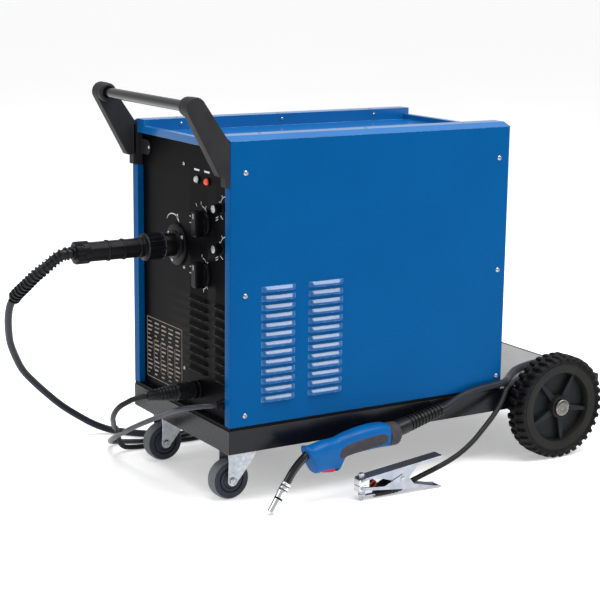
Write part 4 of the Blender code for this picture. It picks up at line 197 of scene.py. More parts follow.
@dataclass(frozen=True)
class Finish:
    """A surface: its colours, gloss, relief and edge tone, with sizes in millimetres; the edge tone
    is wear on some finishes and a painted highlight on others.
    """

    name: str
    colour: str
    shade: str
    roughness: float
    relief: Relief
    metallic: float = 0.0
    ior: float = 1.5
    coat: float = 0.0
    spread: float = 0.06
    mottle_mm: float = 60.0
    grain_mm: float = 1.5
    depth_mm: float = 0.02
    wear_and_highlight: str = "#8A8C90"
    wear_and_highlight_share: float = 0.25
    round_mm: float = 0.6
    see_through: float = 0.0
    glow: float = 0.0
    specular: float = 0.14
    grain_line: Axis = Axis.Y

    def height(self, tree: Tree, place: Socket
               ) -> Socket:
        """Fine relief from 0 to 1: noise, cells or stretched noise, one feature per grain size."""
        scale = 1000 / self.grain_mm
        if self.relief is Relief.BRUSHED:
            along = [1.0 if v else 0.03 for v in (1 - np.array(self.grain_line.value[0]))]
            place = add_node(tree, "ShaderNodeMapping", {"Vector": place, "Scale": along}
                             ).outputs["Vector"]
        if self.relief in (Relief.SPARK, Relief.CAST, Relief.SPANGLE):
            return add_node(tree, "ShaderNodeTexVoronoi", {
                "Vector": place, "Scale": scale, "Randomness": 1.0}).outputs["Distance"]
        detail = {Relief.PEEL: 1.0, Relief.BRUSHED: 3.0}.get(self.relief, 5.0)
        return add_node(tree, "ShaderNodeTexNoise", {
            "Vector": place, "Scale": scale, "Detail": detail, "Roughness": 0.5}).outputs["Fac"]

    def tint(self, tree: Tree, place: Socket,
             clouds: Socket) -> Socket:
        """Base colour: the two tones mixed by slow clouds, about one per mottle size."""
        share = add_node(tree, "ShaderNodeMapRange", {
            "Value": clouds, "From Min": 0.32, "From Max": 0.68}).outputs["Result"]
        return blend_tones(tree, share, linear(self.colour), linear(self.shade))

    def material(self) -> bpy.types.Material:
        """The finish as a material: made once, then found by its name."""
        found = bpy.data.materials.get(self.name)
        if found:
            return found
        material = bpy.data.materials.new(self.name)
        material.use_nodes = True
        tree = material.node_tree
        tree.nodes.clear()
        place = add_node(tree, "ShaderNodeTexCoord").outputs["Object"]
        clouds = add_node(tree, "ShaderNodeTexNoise", {
            "Vector": place, "Scale": 1000 / self.mottle_mm, "Detail": 4.0}).outputs["Fac"]
        fine = self.height(tree, place)
        colour = self.tint(tree, place, clouds)
        rounded = add_node(tree, "ShaderNodeBevel", {"Radius": self.round_mm / 1000},
                           samples=4).outputs["Normal"]
        face = add_node(tree, "ShaderNodeNewGeometry").outputs["Normal"]
        turn = add_node(tree, "ShaderNodeVectorMath", {0: rounded, 1: face},
                        operation="DOT_PRODUCT").outputs["Value"]
        edge = add_node(tree, "ShaderNodeMapRange", {
            "Value": turn, "From Min": EDGE_COSINES[0], "From Max": EDGE_COSINES[1]
        }).outputs["Result"]
        # Edges take the edge tone in patches: wear, and on the blue powders and the front panel a
        # painted highlight.
        edge_patch_noise = add_node(tree, "ShaderNodeTexNoise", {
            "Vector": place, "Scale": EDGE_PATCHES_PER_METRE, "Detail": 3.0}).outputs["Fac"]
        patch = add_node(tree, "ShaderNodeMapRange", {
            "Value": edge_patch_noise, "From Min": EDGE_PATCH_RANGE[0], "From Max": EDGE_PATCH_RANGE[1],
            "To Max": self.wear_and_highlight_share}).outputs["Result"]
        worn_and_lit_edges = add_node(tree, "ShaderNodeMath", {0: edge, 1: patch},
                        operation="MULTIPLY").outputs["Value"]
        colour = blend_tones(tree, worn_and_lit_edges, colour, linear(self.wear_and_highlight))
        mixed = add_node(tree, "ShaderNodeMath", {0: clouds, 1: fine},
                         operation="ADD").outputs["Value"]
        gloss = add_node(tree, "ShaderNodeMapRange", {
            "Value": mixed, "From Min": 0.5, "From Max": 1.4,
            "To Min": max(self.roughness - self.spread, 0.02),
            "To Max": self.roughness + self.spread}).outputs["Result"]
        normal = add_node(tree, "ShaderNodeBump", {
            "Height": fine, "Distance": self.depth_mm / 1000, "Strength": 1.0,
            "Normal": rounded}).outputs["Normal"]
        shader = add_node(tree, "ShaderNodeBsdfPrincipled", {
            "Base Color": colour, "Roughness": gloss, "Normal": normal,
            "Metallic": self.metallic, "IOR": self.ior, "Coat Weight": self.coat,
            "Coat Roughness": 0.06, "Transmission Weight": self.see_through,
            "Specular IOR Level": 0.5 if self.metallic else self.specular,
            "Emission Strength": self.glow,
            "Emission Color": linear(self.colour)})
        out = add_node(tree, "ShaderNodeOutputMaterial")
        tree.links.new(shader.outputs["BSDF"], out.inputs["Surface"])
        return material


@dataclass(frozen=True)
class Layered(Finish):
    """A finish with bands of its two tones across one direction, such as laminations or a braid."""

    band_mm: float = 1.0
    slant: float = 0.0

    def tint(self, tree: Tree, place: Socket,
             clouds: Socket) -> Socket:
        """Base colour: the two tones in bands, one pair per band size along grain_line."""
        turned = add_node(tree, "ShaderNodeMapping", {
            "Vector": place, "Rotation": (self.slant, 0.0, self.slant)}).outputs["Vector"]
        bands = add_node(tree, "ShaderNodeTexWave", {
            "Vector": turned, "Scale": 1000 / (self.band_mm * 20), "Distortion": 0.4},
            wave_type="BANDS", bands_direction=self.grain_line.name).outputs["Fac"]
        share = add_node(tree, "ShaderNodeMix", {0: 0.25, 2: bands, 3: clouds}).outputs[0]
        return blend_tones(tree, share, linear(self.colour), linear(self.shade))


@dataclass(frozen=True)
class Smooth(Finish):
    """A surface that flowed out or was cast smooth, such as paint, ink or a clear moulding."""

    relief: Relief = Relief.PEEL
    mottle_mm: float = 180
    grain_mm: float = 3.0
    depth_mm: float = 0.01


@dataclass(frozen=True)
class Moulded(Finish):
    """A surface moulded against a worked tool, or powder with the same pitted skin."""

    relief: Relief = Relief.SPARK
    mottle_mm: float = 14
    grain_mm: float = 0.6
    depth_mm: float = 0.03


@dataclass(frozen=True)
class Cured(Finish):
    """Cured rubber."""

    relief: Relief = Relief.RUBBER
    depth_mm: float = 0.03


@dataclass(frozen=True)
class Metal(Finish):
    """Bare or plated metal."""

    relief: Relief = Relief.BRUSHED
    metallic: float = 1.0
    depth_mm: float = 0.01


class Finishes:
    """Every finish of the machine. Each comment says what the surface gives the eye, and where
    light is painted into its colour.
    """

    # Polyester powder on sheet steel: even deep blue, soft gloss, 3 mm orange peel. Its paler blue
    # edge tone is a painted highlight.
    BLUE_POWDER = Smooth(
        "blue_powder_coat", "#004B82", "#00487E", 0.28, depth_mm=0.012, wear_and_highlight="#2F8FD0",
        wear_and_highlight_share=0.5, round_mm=1.0, specular=0.03)
    # Lit copy of the same powder for the pressed hoods: a lighter blue and pale lavender edges
    # painted as their highlight, with a stronger specular level.
    BLUE_HOODS_PAINTED_HIGHLIGHT = Smooth(
        "blue_powder_hoods_painted_highlight", "#04508A", "#034C85", 0.22, depth_mm=0.008, wear_and_highlight="#A9C2E6",
        wear_and_highlight_share=0.9, round_mm=0.9, specular=0.5)
    # Lit copy of the same powder for the top cover: a lighter blue painted for the light from
    # above, pale edges as a painted highlight, and a higher gloss.
    BLUE_COVER_PAINTED_LIGHT = Smooth(
        "blue_powder_cover_painted_light", "#0A5A98", "#08548F", 0.16, depth_mm=0.008, wear_and_highlight="#7FB4DC",
        wear_and_highlight_share=0.6, round_mm=0.8, specular=0.35)
    # The front panel's powder: the hoods' edges carry a thin grey painted highlight.
    FRONT_POWDER = Moulded(
        "black_powder_front_painted_edge_highlight", "#050506", "#09080A", 0.4, mottle_mm=90, grain_mm=0.9,
        wear_and_highlight="#A4A4AE", wear_and_highlight_share=0.9, round_mm=0.9, specular=0.03)
    # Painted reflection: the black cart enamel painted pale grey on the bottle platform's top, with
    # a strong specular level.
    PLATFORM_PAINTED_REFLECTION = Smooth(
        "platform_enamel_painted_reflection", "#77777A", "#828285", 0.16, mottle_mm=90, grain_mm=4.0,
        specular=0.5)
    # Pressed nickel cap, handled and dull.
    PUSH_CAP = Metal(
        "pressed_nickel_cap", "#77736F", "#524F4C", 0.34, mottle_mm=5, grain_mm=0.8, depth_mm=0.05,
        wear_and_highlight="#B4B0AC", wear_and_highlight_share=0.7)
    # Fine-texture black powder: a dry black that shows a faint sparkle of pits.
    BLACK_POWDER = Moulded(
        "black_texture_powder", "#0B0A0C", "#100F11", 0.42, mottle_mm=90, grain_mm=0.9,
        wear_and_highlight="#3A3A40", specular=0.03)
    # Stoved black enamel on the folded cart: smooth, reflects the floor as a blue grey.
    CART_ENAMEL = Smooth(
        "black_stoved_enamel", "#080A0E", "#0D0F15", 0.24, mottle_mm=70, grain_mm=4.0,
        depth_mm=0.02, wear_and_highlight="#4A505C", round_mm=1.2, specular=0.22)
    # Glass-filled nylon arm: charcoal with a coarse blasted skin and paler rubbed edges.
    ARM_NYLON = Moulded(
        "glass_filled_nylon", "#1E1E20", "#262628", 0.5, relief=Relief.CAST, mottle_mm=40,
        grain_mm=0.8, depth_mm=0.06, wear_and_highlight="#5A5C66", wear_and_highlight_share=0.5, round_mm=1.5)
    # Gloss-painted steel tube: wet black with long highlights.
    TUBE_GLOSS = Smooth(
        "gloss_black_tube", "#070708", "#0B0B0C", 0.12, mottle_mm=120, grain_mm=5.0, wear_and_highlight="#2A2A2C",
        specular=0.45)
    # Moulded black nylon of knobs and plugs: satin black.
    BLACK_NYLON = Moulded(
        "moulded_black_nylon", "#08080A", "#0D0D0F", 0.3, mottle_mm=25, depth_mm=0.02,
        wear_and_highlight="#4B4E58", wear_and_highlight_share=0.6, round_mm=0.7, specular=0.08)
    # Moulded charcoal wheel centre: slightly warm, dull.
    RIM_PLASTIC = Moulded(
        "moulded_wheel_centre", "#1A1918", "#141312", 0.48, mottle_mm=35, grain_mm=0.8,
        wear_and_highlight="#4A4844", round_mm=1.0)
    # Recessed web of the wheel centre: the same nylon in shade, a darker teal grey.
    WEB_PLASTIC = Moulded(
        "moulded_wheel_web", "#14191B", "#101416", 0.5, mottle_mm=35, grain_mm=0.8, wear_and_highlight="#343C40",
        round_mm=1.0)
    # Glass-filled nylon of the torch plug: black that handling has turned a little grey.
    PLUG_NYLON = Moulded(
        "handled_black_nylon", "#0A0A0C", "#111114", 0.34, mottle_mm=20, grain_mm=0.7,
        wear_and_highlight="#50525C", wear_and_highlight_share=0.7, round_mm=0.8, specular=0.1)
    # The ring nut's end rims: pale grey, a painted highlight.
    NUT_RIM_PAINTED_HIGHLIGHT = Moulded(
        "nylon_rim_painted_highlight", "#4A4C56", "#2C2D33", 0.42, mottle_mm=6, grain_mm=0.7, wear_and_highlight="#70737E",
        wear_and_highlight_share=0.7)
    # Cured tyre rubber: dusty black.
    TYRE = Cured(
        "tyre_rubber_skin", "#070708", "#0E0D10", 0.52, spread=0.12, mottle_mm=18, grain_mm=1.2,
        depth_mm=0.08, wear_and_highlight="#3C3C42", wear_and_highlight_share=0.7, round_mm=1.0)
    # Grey thermoplastic rubber of the casters: mid grey, matt.
    GREY_TREAD = Cured(
        "grey_caster_rubber", "#5A5E62", "#666A6D", 0.6, mottle_mm=14, grain_mm=1.0, depth_mm=0.05,
        wear_and_highlight="#7C8084")
    DARK_HUB = Moulded("dark_caster_hub", "#2A2C35", "#32343F", 0.45, wear_and_highlight="#4C4E58")
    # Moulded rubber boots: black with soft sheen on the ribs.
    BOOT_RUBBER = Cured(
        "moulded_boot_rubber", "#0B0C0D", "#131416", 0.34, mottle_mm=20, grain_mm=0.8,
        wear_and_highlight="#3C3F48", specular=0.2)
    # Extruded cable sheath: slate black with a satin line along it.
    LEAD_SHEATH = Cured(
        "rubber_cable_sheath", "#1B1E26", "#23262F", 0.42, mottle_mm=50, grain_mm=0.9,
        wear_and_highlight="#4A5060")
    EARTH_SHEATH = Cured(
        "earth_cable_sheath", "#161617", "#201F1F", 0.45, mottle_mm=50, grain_mm=0.9,
        wear_and_highlight="#4A4844")
    # PVC mains sheath: a lighter slate, glossier than rubber.
    MAINS_SHEATH = Smooth(
        "pvc_mains_sheath", "#20232B", "#282B35", 0.3, mottle_mm=60, grain_mm=1.5, depth_mm=0.02,
        wear_and_highlight="#6A7080", specular=0.3)
    # Bright zinc plate: pale cool grey with faint clouds.
    ZINC = Metal(
        "bright_zinc_plate", "#B9BDC2", "#A2A7AD", 0.36, relief=Relief.SPANGLE, spread=0.12,
        mottle_mm=9, grain_mm=2.4, depth_mm=0.015, wear_and_highlight="#D8DCE0", wear_and_highlight_share=0.5)
    # Nickel-plated pressed plate of the clamp: silver with long drawing lines.
    CLAMP_PLATE = Metal(
        "nickel_plated_plate", "#A3A7B0", "#8F939C", 0.34, spread=0.08, mottle_mm=20, grain_mm=0.5,
        wear_and_highlight="#E4E6EC", wear_and_highlight_share=0.4, round_mm=0.5)
    # Chrome over brass: a mirror.
    CHROME = Metal(
        "chrome_plate", "#DCDDE0", "#CFD0D4", 0.07, relief=Relief.PEEL, spread=0.03, mottle_mm=12,
        grain_mm=3.0, depth_mm=0.004, wear_and_highlight="#F0F0F2")
    # Screw and rivet heads, bright nickel.
    SCREW = Metal(
        "nickel_screw", "#B2B3B6", "#8C8D91", 0.24, mottle_mm=4, grain_mm=0.4, wear_and_highlight="#EDEDF0")
    # Blackened spring wire.
    SPRING = Smooth(
        "blackened_spring_wire", "#17181B", "#222328", 0.3, metallic=0.6, mottle_mm=8,
        grain_mm=1.0, wear_and_highlight="#5A5C64")
    STEEL = Metal(
        "rolled_mild_steel", "#7C7D80", "#68696C", 0.42, mottle_mm=30, grain_mm=0.8, depth_mm=0.02,
        wear_and_highlight="#A9AAAD")
    ALUMINIUM = Metal(
        "extruded_aluminium", "#B4B6B9", "#A3A5A8", 0.38, mottle_mm=25, grain_mm=0.6, depth_mm=0.02,
        wear_and_highlight="#D0D2D4")
    BRASS = Metal(
        "turned_brass", "#B08A3E", "#9C7832", 0.3, mottle_mm=12, grain_mm=0.5, wear_and_highlight="#D8B468")
    # Injection-moulded ABS of the torch: bright blue with a fine sheen.
    TORCH_BLUE = Moulded(
        "moulded_blue_abs", "#02518E", "#024C86", 0.3, mottle_mm=30, grain_mm=0.7, depth_mm=0.015,
        wear_and_highlight="#3D9AD6", wear_and_highlight_share=0.5, round_mm=0.8, specular=0.12)
    TORCH_RED = Moulded(
        "moulded_red_abs", "#D5282F", "#C62229", 0.32, mottle_mm=12, depth_mm=0.012, wear_and_highlight="#E86A66")
    # Overmoulded soft grip: matt charcoal with pebbled skin.
    SOFT_GRIP = Moulded(
        "overmoulded_soft_grip", "#302E31", "#3B393C", 0.62, relief=Relief.CAST, grain_mm=1.1,
        depth_mm=0.1, wear_and_highlight="#4C4A4E")
    GUARD_PLASTIC = Moulded(
        "moulded_grey_ring", "#312F31", "#3A383A", 0.42, depth_mm=0.02, wear_and_highlight="#57565A")
    # Polycarbonate lamp lenses.
    CLEAR_LENS = Smooth(
        "clear_polycarbonate", "#DADCE0", "#C4C6CA", 0.12, ior=1.58, mottle_mm=3, grain_mm=1.5,
        depth_mm=0.05, wear_and_highlight="#FFFFFF", see_through=0.35, specular=0.5)
    ORANGE_LENS = Smooth(
        "orange_polycarbonate", "#F04A12", "#C8340A", 0.12, ior=1.58, mottle_mm=3, grain_mm=1.5,
        depth_mm=0.05, wear_and_highlight="#FFB070", see_through=0.15, glow=0.12, specular=0.5)
    # Screen print: opaque off-white ink.
    PRINT = Smooth(
        "white_screen_print", "#D8D8DA", "#C8C8CC", 0.55, mottle_mm=6, grain_mm=0.8, depth_mm=0.005,
        wear_and_highlight="#D8D8DA")
    PLATE_PRINT = Smooth(
        "grey_rating_print", "#8A8078", "#9C938A", 0.55, mottle_mm=6, grain_mm=0.8, depth_mm=0.005,
        wear_and_highlight="#A09890")
    BOARD = Smooth(
        "green_solder_mask", "#0E5A32", "#0A4A28", 0.35, mottle_mm=12, grain_mm=1.2, depth_mm=0.02,
        wear_and_highlight="#C8A050")
    # Stacked core sheets, 0.5 mm each, drawn 1.5 mm apart so that they show.
    LAMINATIONS = Layered(
        "varnished_core_sheets", "#5A5652", "#2E2C2A", 0.45, Relief.BRUSHED, metallic=0.6,
        grain_mm=0.6, depth_mm=0.05, band_mm=1.5, wear_and_highlight="#8A8480")
    # Enamelled copper wire, 1.6 mm, drawn at 2 mm.
    WINDING = Layered(
        "enamelled_copper_winding", "#A8521E", "#5E2A10", 0.35, Relief.PEEL, metallic=0.5,
        grain_mm=1.6, depth_mm=0.2, band_mm=2.0, grain_line=Axis.Z, wear_and_highlight="#D08A50")
    # Woven copper strap: 0.8 mm strands, drawn 1.2 mm apart.
    BRAID = Layered(
        "woven_copper_braid", "#A8502C", "#6A2A16", 0.42, Relief.CAST, metallic=0.7, grain_mm=0.9,
        depth_mm=0.25, band_mm=1.2, slant=0.7, wear_and_highlight="#D88A5A")
    # Copper-coated filler wire, 1 mm, in layers.
    FILLER_WIRE = Layered(
        "wound_filler_wire", "#B4714A", "#7A452A", 0.28, Relief.PEEL, metallic=0.9, grain_mm=1.0,
        depth_mm=0.1, band_mm=1.1, grain_line=Axis.X, wear_and_highlight="#D8A078")
    # Matt floor sheet, lit from within so that it stays near white.
    FLOOR = Smooth(
        "pale_studio_floor", "#F2F2F2", "#EFEFEF", 0.7, mottle_mm=900, grain_mm=200,
        wear_and_highlight="#F2F2F2", wear_and_highlight_share=0.0, glow=0.42)


# ---- surfaces ---------------------------------------------------------------------------------
@dataclass
class Skin:
    """A surface: points, quads that share them, and flat many-sided caps."""

    points: Array
    quads: Array
    caps: list[list[int]] = field(default_factory=list)

    def __add__(self, other: Skin) -> Skin:
        """Both surfaces as one."""
        shift = len(self.points)
        caps = self.caps + [[i + shift for i in cap] for cap in other.caps]
        return Skin(np.vstack([self.points, other.points]),
                    np.vstack([self.quads, other.quads + shift]), caps)

    def moved(self, matrix: Matrix) -> Skin:
        """The surface after a placement."""
        table = np.array(matrix)
        return Skin(self.points @ table[:3, :3].T + table[:3, 3], self.quads, self.caps)


def joined(skins: Sequence[Skin]) -> Skin:
    """All the surfaces as one."""
    total = skins[0]
    for skin in skins[1:]:
        total = total + skin
    return total


def grid(points: Array, closed_u: bool = False, closed_v: bool = False,
         keep: Array | None = None) -> Skin:
    """Surface through a net of points, wound so that it faces du x dv.

    Args:
        points: Net of shape (u, v, 3).
        closed_u: Whether the last row meets the first.
        closed_v: Whether the last column meets the first.
        keep: Which quads stay, of the net's quad shape.

    Returns:
        The surface.
    """
    rows, columns = points.shape[:2]
    u = np.arange(rows if closed_u else rows - 1)[:, None]
    v = np.arange(columns if closed_v else columns - 1)[None, :]
    after_u, after_v = (u + 1) % rows, (v + 1) % columns
    quads = np.stack([u * columns + v, after_u * columns + v,
                      after_u * columns + after_v, u * columns + after_v], axis=-1)
    if keep is None:
        return Skin(points.reshape(-1, 3), quads.reshape(-1, 4))
    used, places = np.unique(quads[keep], return_inverse=True)
    return Skin(points.reshape(-1, 3)[used], places.reshape(-1, 4))


def fillet(corners: Sequence, radius: float, steps: int = 3, closed: bool = False) -> Array:
    """Rounds the corners of a line: each becomes a parabola that touches both its sides.

    Args:
        corners: The line's points, in the plane or in space.
        radius: How far from the corner the curve starts, at most 0.45 of a side.
        steps: Spans of each curve.
        closed: Whether the line is a loop.

    Returns:
        The rounded line's points.
    """
    line = np.array(corners, float)
    before, after = np.roll(line, 1, axis=0), np.roll(line, -1, axis=0)
    back, ahead = before - line, after - line
    size_b = np.linalg.norm(back, axis=1, keepdims=True)
    size_a = np.linalg.norm(ahead, axis=1, keepdims=True)
    start = line + back / size_b * np.minimum(radius, 0.45 * size_b)
    end = line + ahead / size_a * np.minimum(radius, 0.45 * size_a)
    t = np.linspace(0, 1, steps + 1)[None, :, None]
    curve = ((1 - t) ** 2 * start[:, None] + 2 * t * (1 - t) * line[:, None]
             + t ** 2 * end[:, None])
    if closed:
        return curve.reshape(-1, line.shape[1])
    return np.vstack([line[:1], curve[1:-1].reshape(-1, line.shape[1]), line[-1:]])


def unit(value: Array) -> Array:
    """Each direction, along the last axis, with length 1."""
    return value / np.linalg.norm(value, axis=-1, keepdims=True)


def basis(axis: Point) -> Array:
    """Three unit rows: the axis and two directions across it, right-handed."""
    along = unit(np.array(axis, float))
    helper = np.eye(3)[int(np.argmin(np.abs(along)))]
    first = unit(np.cross(helper, along))
    return np.array([along, first, np.cross(along, first)])


def lidded(skin: Skin, sides: int) -> Skin:
    """The surface with a flat cap on its first and its last ring of points."""
    last = len(skin.points) - sides
    return Skin(skin.points, skin.quads, [list(range(sides)), list(range(last, last + sides))])


def turned_net(along: Array, radius: Array, angle: Array,
               centre: Point, axis: Point, loop: bool = False) -> Skin:
    """Net of centre + along * axis + radius * (cos a, sin a) across it.

    Args:
        along: Place on the axis, by station and angle.
        radius: Distance from the axis, by station and angle.
        angle: Angles round the axis, as one row.
        centre: Where along is 0.
        axis: Direction of the axis.
        loop: Whether the last station meets the first.

    Returns:
        The surface, closed round the axis.
    """
    a, b, c = basis(axis)
    points = (np.array(centre, float) + along[..., None] * a
              + (radius * np.cos(angle))[..., None] * b
              + (radius * np.sin(angle))[..., None] * c)
    return grid(points, closed_u=loop, closed_v=True)


def revolve(profile: Sequence, centre: Point, axis: Point, steps: int = 48,
            ripple: Callable[[Array, Array], Array] | None = None) -> Skin:
    """Turned surface: centre + along * axis + radius * (cos a, sin a) across it.

    Args:
        profile: Rows of (along, radius).
        centre: Where along is 0.
        axis: Direction of the axis.
        steps: Points round.
        ripple: Extra radius as a function of along and angle.

    Returns:
        The surface, closed round the axis.
    """
    rows = np.array(profile, float)
    angle = np.linspace(0, math.tau, steps, endpoint=False)[None, :]
    radius = np.repeat(rows[:, 1:2], steps, axis=1)
    if ripple is not None:
        radius = np.where(radius > 1e-6, radius + ripple(rows[:, :1], angle), radius)
    return turned_net(rows[:, :1], radius, angle, centre, axis)


def extrude(outline: Sequence, axis: Axis, low: float, high: float) -> Skin:
    """Prism: the outline, given across the axis in the frame's order, between two places on it.

    Args:
        outline: Corners as (y, z) for X, (x, z) for Y, or (x, y) for Z.
        axis: Direction of the prism.
        low: Its start.
        high: Its end.

    Returns:
        The closed surface.
    """
    flat = np.array(outline, float)
    slot = "XYZ".index(axis.name)
    ends = [np.insert(flat, slot, place, axis=1) for place in (low, high)]
    return lidded(grid(np.stack(ends), closed_v=True), len(flat))


def block(low: Point, high: Point) -> Skin:
    """Box between two corners."""
    (x0, y0, z0), (x1, y1, z1) = low, high
    return extrude([(x0, y0), (x1, y0), (x1, y1), (x0, y1)], Axis.Z, z0, z1)


def path_through(points: Sequence, spacing: float) -> Array:
    """Even points on the smooth curve through the given ones.

    Each span is a cubic whose end slopes are the means of its neighbours' slopes, weighted by
    the square roots of their lengths, so that the curve doesn't swing out where spans differ.

    Args:
        points: Points that the curve passes.
        spacing: Distance between the points returned.

    Returns:
        The curve's points.
    """
    given = np.array(points, float)
    padded = np.vstack([2 * given[0] - given[1], given, 2 * given[-1] - given[-2]])
    steps = np.linalg.norm(np.diff(padded, axis=0), axis=1)[:, None] ** 0.5
    slopes = np.diff(padded, axis=0) / steps
    middle = (slopes[:-1] * steps[1:] + slopes[1:] * steps[:-1]) / (steps[1:] + steps[:-1])
    t = np.linspace(0, 1, 24, endpoint=False)[None, :, None]
    a, b, width = given[:-1, None], given[1:, None], steps[1:-1, None]
    dense = (a * (2 * t ** 3 - 3 * t ** 2 + 1) + b * (3 * t ** 2 - 2 * t ** 3)
             + width * middle[:-1, None] * (t ** 3 - 2 * t ** 2 + t)
             + width * middle[1:, None] * (t ** 3 - t ** 2)).reshape(-1, 3)
    dense = np.vstack([dense, given[-1:]])
    run = np.concatenate([[0], np.cumsum(np.linalg.norm(np.diff(dense, axis=0), axis=1))])
    places = np.linspace(0, run[-1], max(int(round(run[-1] / spacing)), 2) + 1)
    return np.stack([np.interp(places, run, dense[:, i]) for i in range(3)], axis=1)


def length_of(path: Array) -> float:
    """Length of a line of points."""
    return float(np.linalg.norm(np.diff(path, axis=0), axis=1).sum())


def frames_along(path: Array) -> tuple[Array, Array, Array]:
    """Unit tangent and two directions across it at each point of a path.

    The directions across come from one fixed vector, the one of 400 spread over the sphere that
    is the least in line with any tangent.

    Args:
        path: The path's points.

    Returns:
        Tangents, sides and ups.
    """
    tangent = unit(np.gradient(path, axis=0))
    index = np.arange(400) + 0.5
    polar, turn = np.arccos(1 - index / 200), math.pi * (1 + 5 ** 0.5) * index
    tries = np.stack([np.cos(turn) * np.sin(polar), np.sin(turn) * np.sin(polar),
                      np.cos(polar)], axis=1)
    best = tries[np.argmin(np.abs(tangent @ tries.T).max(axis=0))]
    side = unit(np.cross(best, tangent))
    return tangent, side, np.cross(tangent, side)


def pipe(path: Array, radius: float | Array, sides: int = 12) -> Skin:
    """Round tube along a path, closed at both ends: path + radius * (cos a, sin a) across it."""
    tangent, side, up = frames_along(path)
    angle = np.linspace(0, math.tau, sides, endpoint=False)
    size = np.broadcast_to(np.array(radius, float), (len(path),))[:, None, None]
    ring = np.cos(angle)[None, :, None] * side[:, None] + np.sin(angle)[None, :, None] * up[:, None]
    return lidded(grid(path[:, None] + size * ring, closed_v=True), sides)


def squared(value: Array, power: float) -> Array:
    """sign(v) |v|^power, which turns a circle's sine and cosine into a rounder-cornered square."""
    return np.sign(value) * np.abs(value) ** power


def smoothstep(value: Array) -> Array:
    """0 below 0, 1 above 1, and 3t^2 - 2t^3 between."""
    t = np.clip(value, 0, 1)
    return t * t * (3 - 2 * t)


# ---- putting pieces in ------------------------------------------------------------------------
@dataclass
class Edge:
    """How a piece's corners and walls are finished by modifiers."""

    crease: float = 38.0        # degrees: sharper corners stay sharp
    bevel: float = 0.0          # metres
    wall: float = 0.0           # metres, inwards
    outward: bool = True        # closed shape whose normals are worked out again
    pocket: Skin | None = None  # closed shape cut out of the piece


INK = Edge(wall=0.00015, outward=False)     # a printed line


def mesh_of(name: str, skin: Skin, outward: bool = True) -> bpy.types.Mesh:
    """Mesh of a surface in the row frame, merged, smooth, and facing outwards.

    Args:
        name: The mesh's name.
        skin: The surface, in the cabinet's frame.
        outward: Whether the faces' directions are worked out again.

    Returns:
        The mesh.
    """
    mesh = bpy.data.meshes.new(name)
    mesh.from_pydata((skin.points + ORIGIN).tolist(), [], skin.quads.tolist() + skin.caps)
    data = bmesh.new()
    data.from_mesh(mesh)
    bmesh.ops.remove_doubles(data, verts=data.verts, dist=2e-6)
    bmesh.ops.dissolve_degenerate(data, edges=data.edges, dist=1e-7)
    if outward:
        bmesh.ops.recalc_face_normals(data, faces=data.faces)
    data.to_mesh(mesh)
    data.free()
    mesh.shade_smooth()
    return mesh


def new_object(name: str, data: bpy.types.ID) -> bpy.types.Object:
    """Object at the origin, in the scene, that holds the data."""
    item = bpy.data.objects.new(name, data)
    bpy.context.scene.collection.objects.link(item)
    return item


def settle(item: bpy.types.Object) -> None:
    """Works a piece's modifiers into its mesh."""
    graph = bpy.context.evaluated_depsgraph_get()
    graph.update()
    mesh = bpy.data.meshes.new_from_object(item.evaluated_get(graph))
    item.modifiers.clear()
    item.data = mesh


def put(name: str, skin: Skin, finish: Finish, body: str = "machine",
        replaces: Sequence[str] = (), edge: Edge | None = None) -> bpy.types.Object:
    """Puts a surface into the scene as a piece on a body.

    Args:
        name: The piece's name.
        skin: Its surface, in the cabinet's frame.
        finish: Its finish.
        body: The body that it rides on.
        replaces: CAD nodes that it stands for.
        edge: How its corners are finished.

    Returns:
        The piece.
    """
    edge = edge or Edge()
    item = new_object(name, mesh_of(name, skin, edge.outward))
    item.data.materials.append(finish.material())
    if edge.wall:
        wall = item.modifiers.new("wall", "SOLIDIFY")
        wall.thickness, wall.offset = edge.wall, -1.0
        settle(item)
    if edge.pocket:
        tool = new_object(f"{name}_pocket", mesh_of(f"{name}_pocket", edge.pocket))
        cut = item.modifiers.new("pocket", "BOOLEAN")
        cut.object, cut.operation, cut.solver = tool, "DIFFERENCE", "EXACT"
        settle(item)
        bpy.data.objects.remove(tool)
    if edge.bevel:
        rounding = item.modifiers.new("rounding", "BEVEL")
        rounding.width, rounding.segments = edge.bevel, 3
        rounding.limit_method, rounding.angle_limit = "ANGLE", math.radians(32)
        item.modifiers.new("even_normals", "WEIGHTED_NORMAL")
    else:
        item.data.set_sharp_from_angle(angle=math.radians(edge.crease))
    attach(item, body)
    if replaces:
        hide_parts(*replaces)
    LOG.info("%s: %d points on %s", name, len(item.data.vertices), body)
    return item


def dress(finish: Finish, *nodes: str) -> None:
    """Gives CAD nodes a finish on their own material slots."""
    for name in nodes:
        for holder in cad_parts[name].material_slots:
            holder.material = finish.material()
        LOG.info("%s: dressed with %s", name, finish.name)


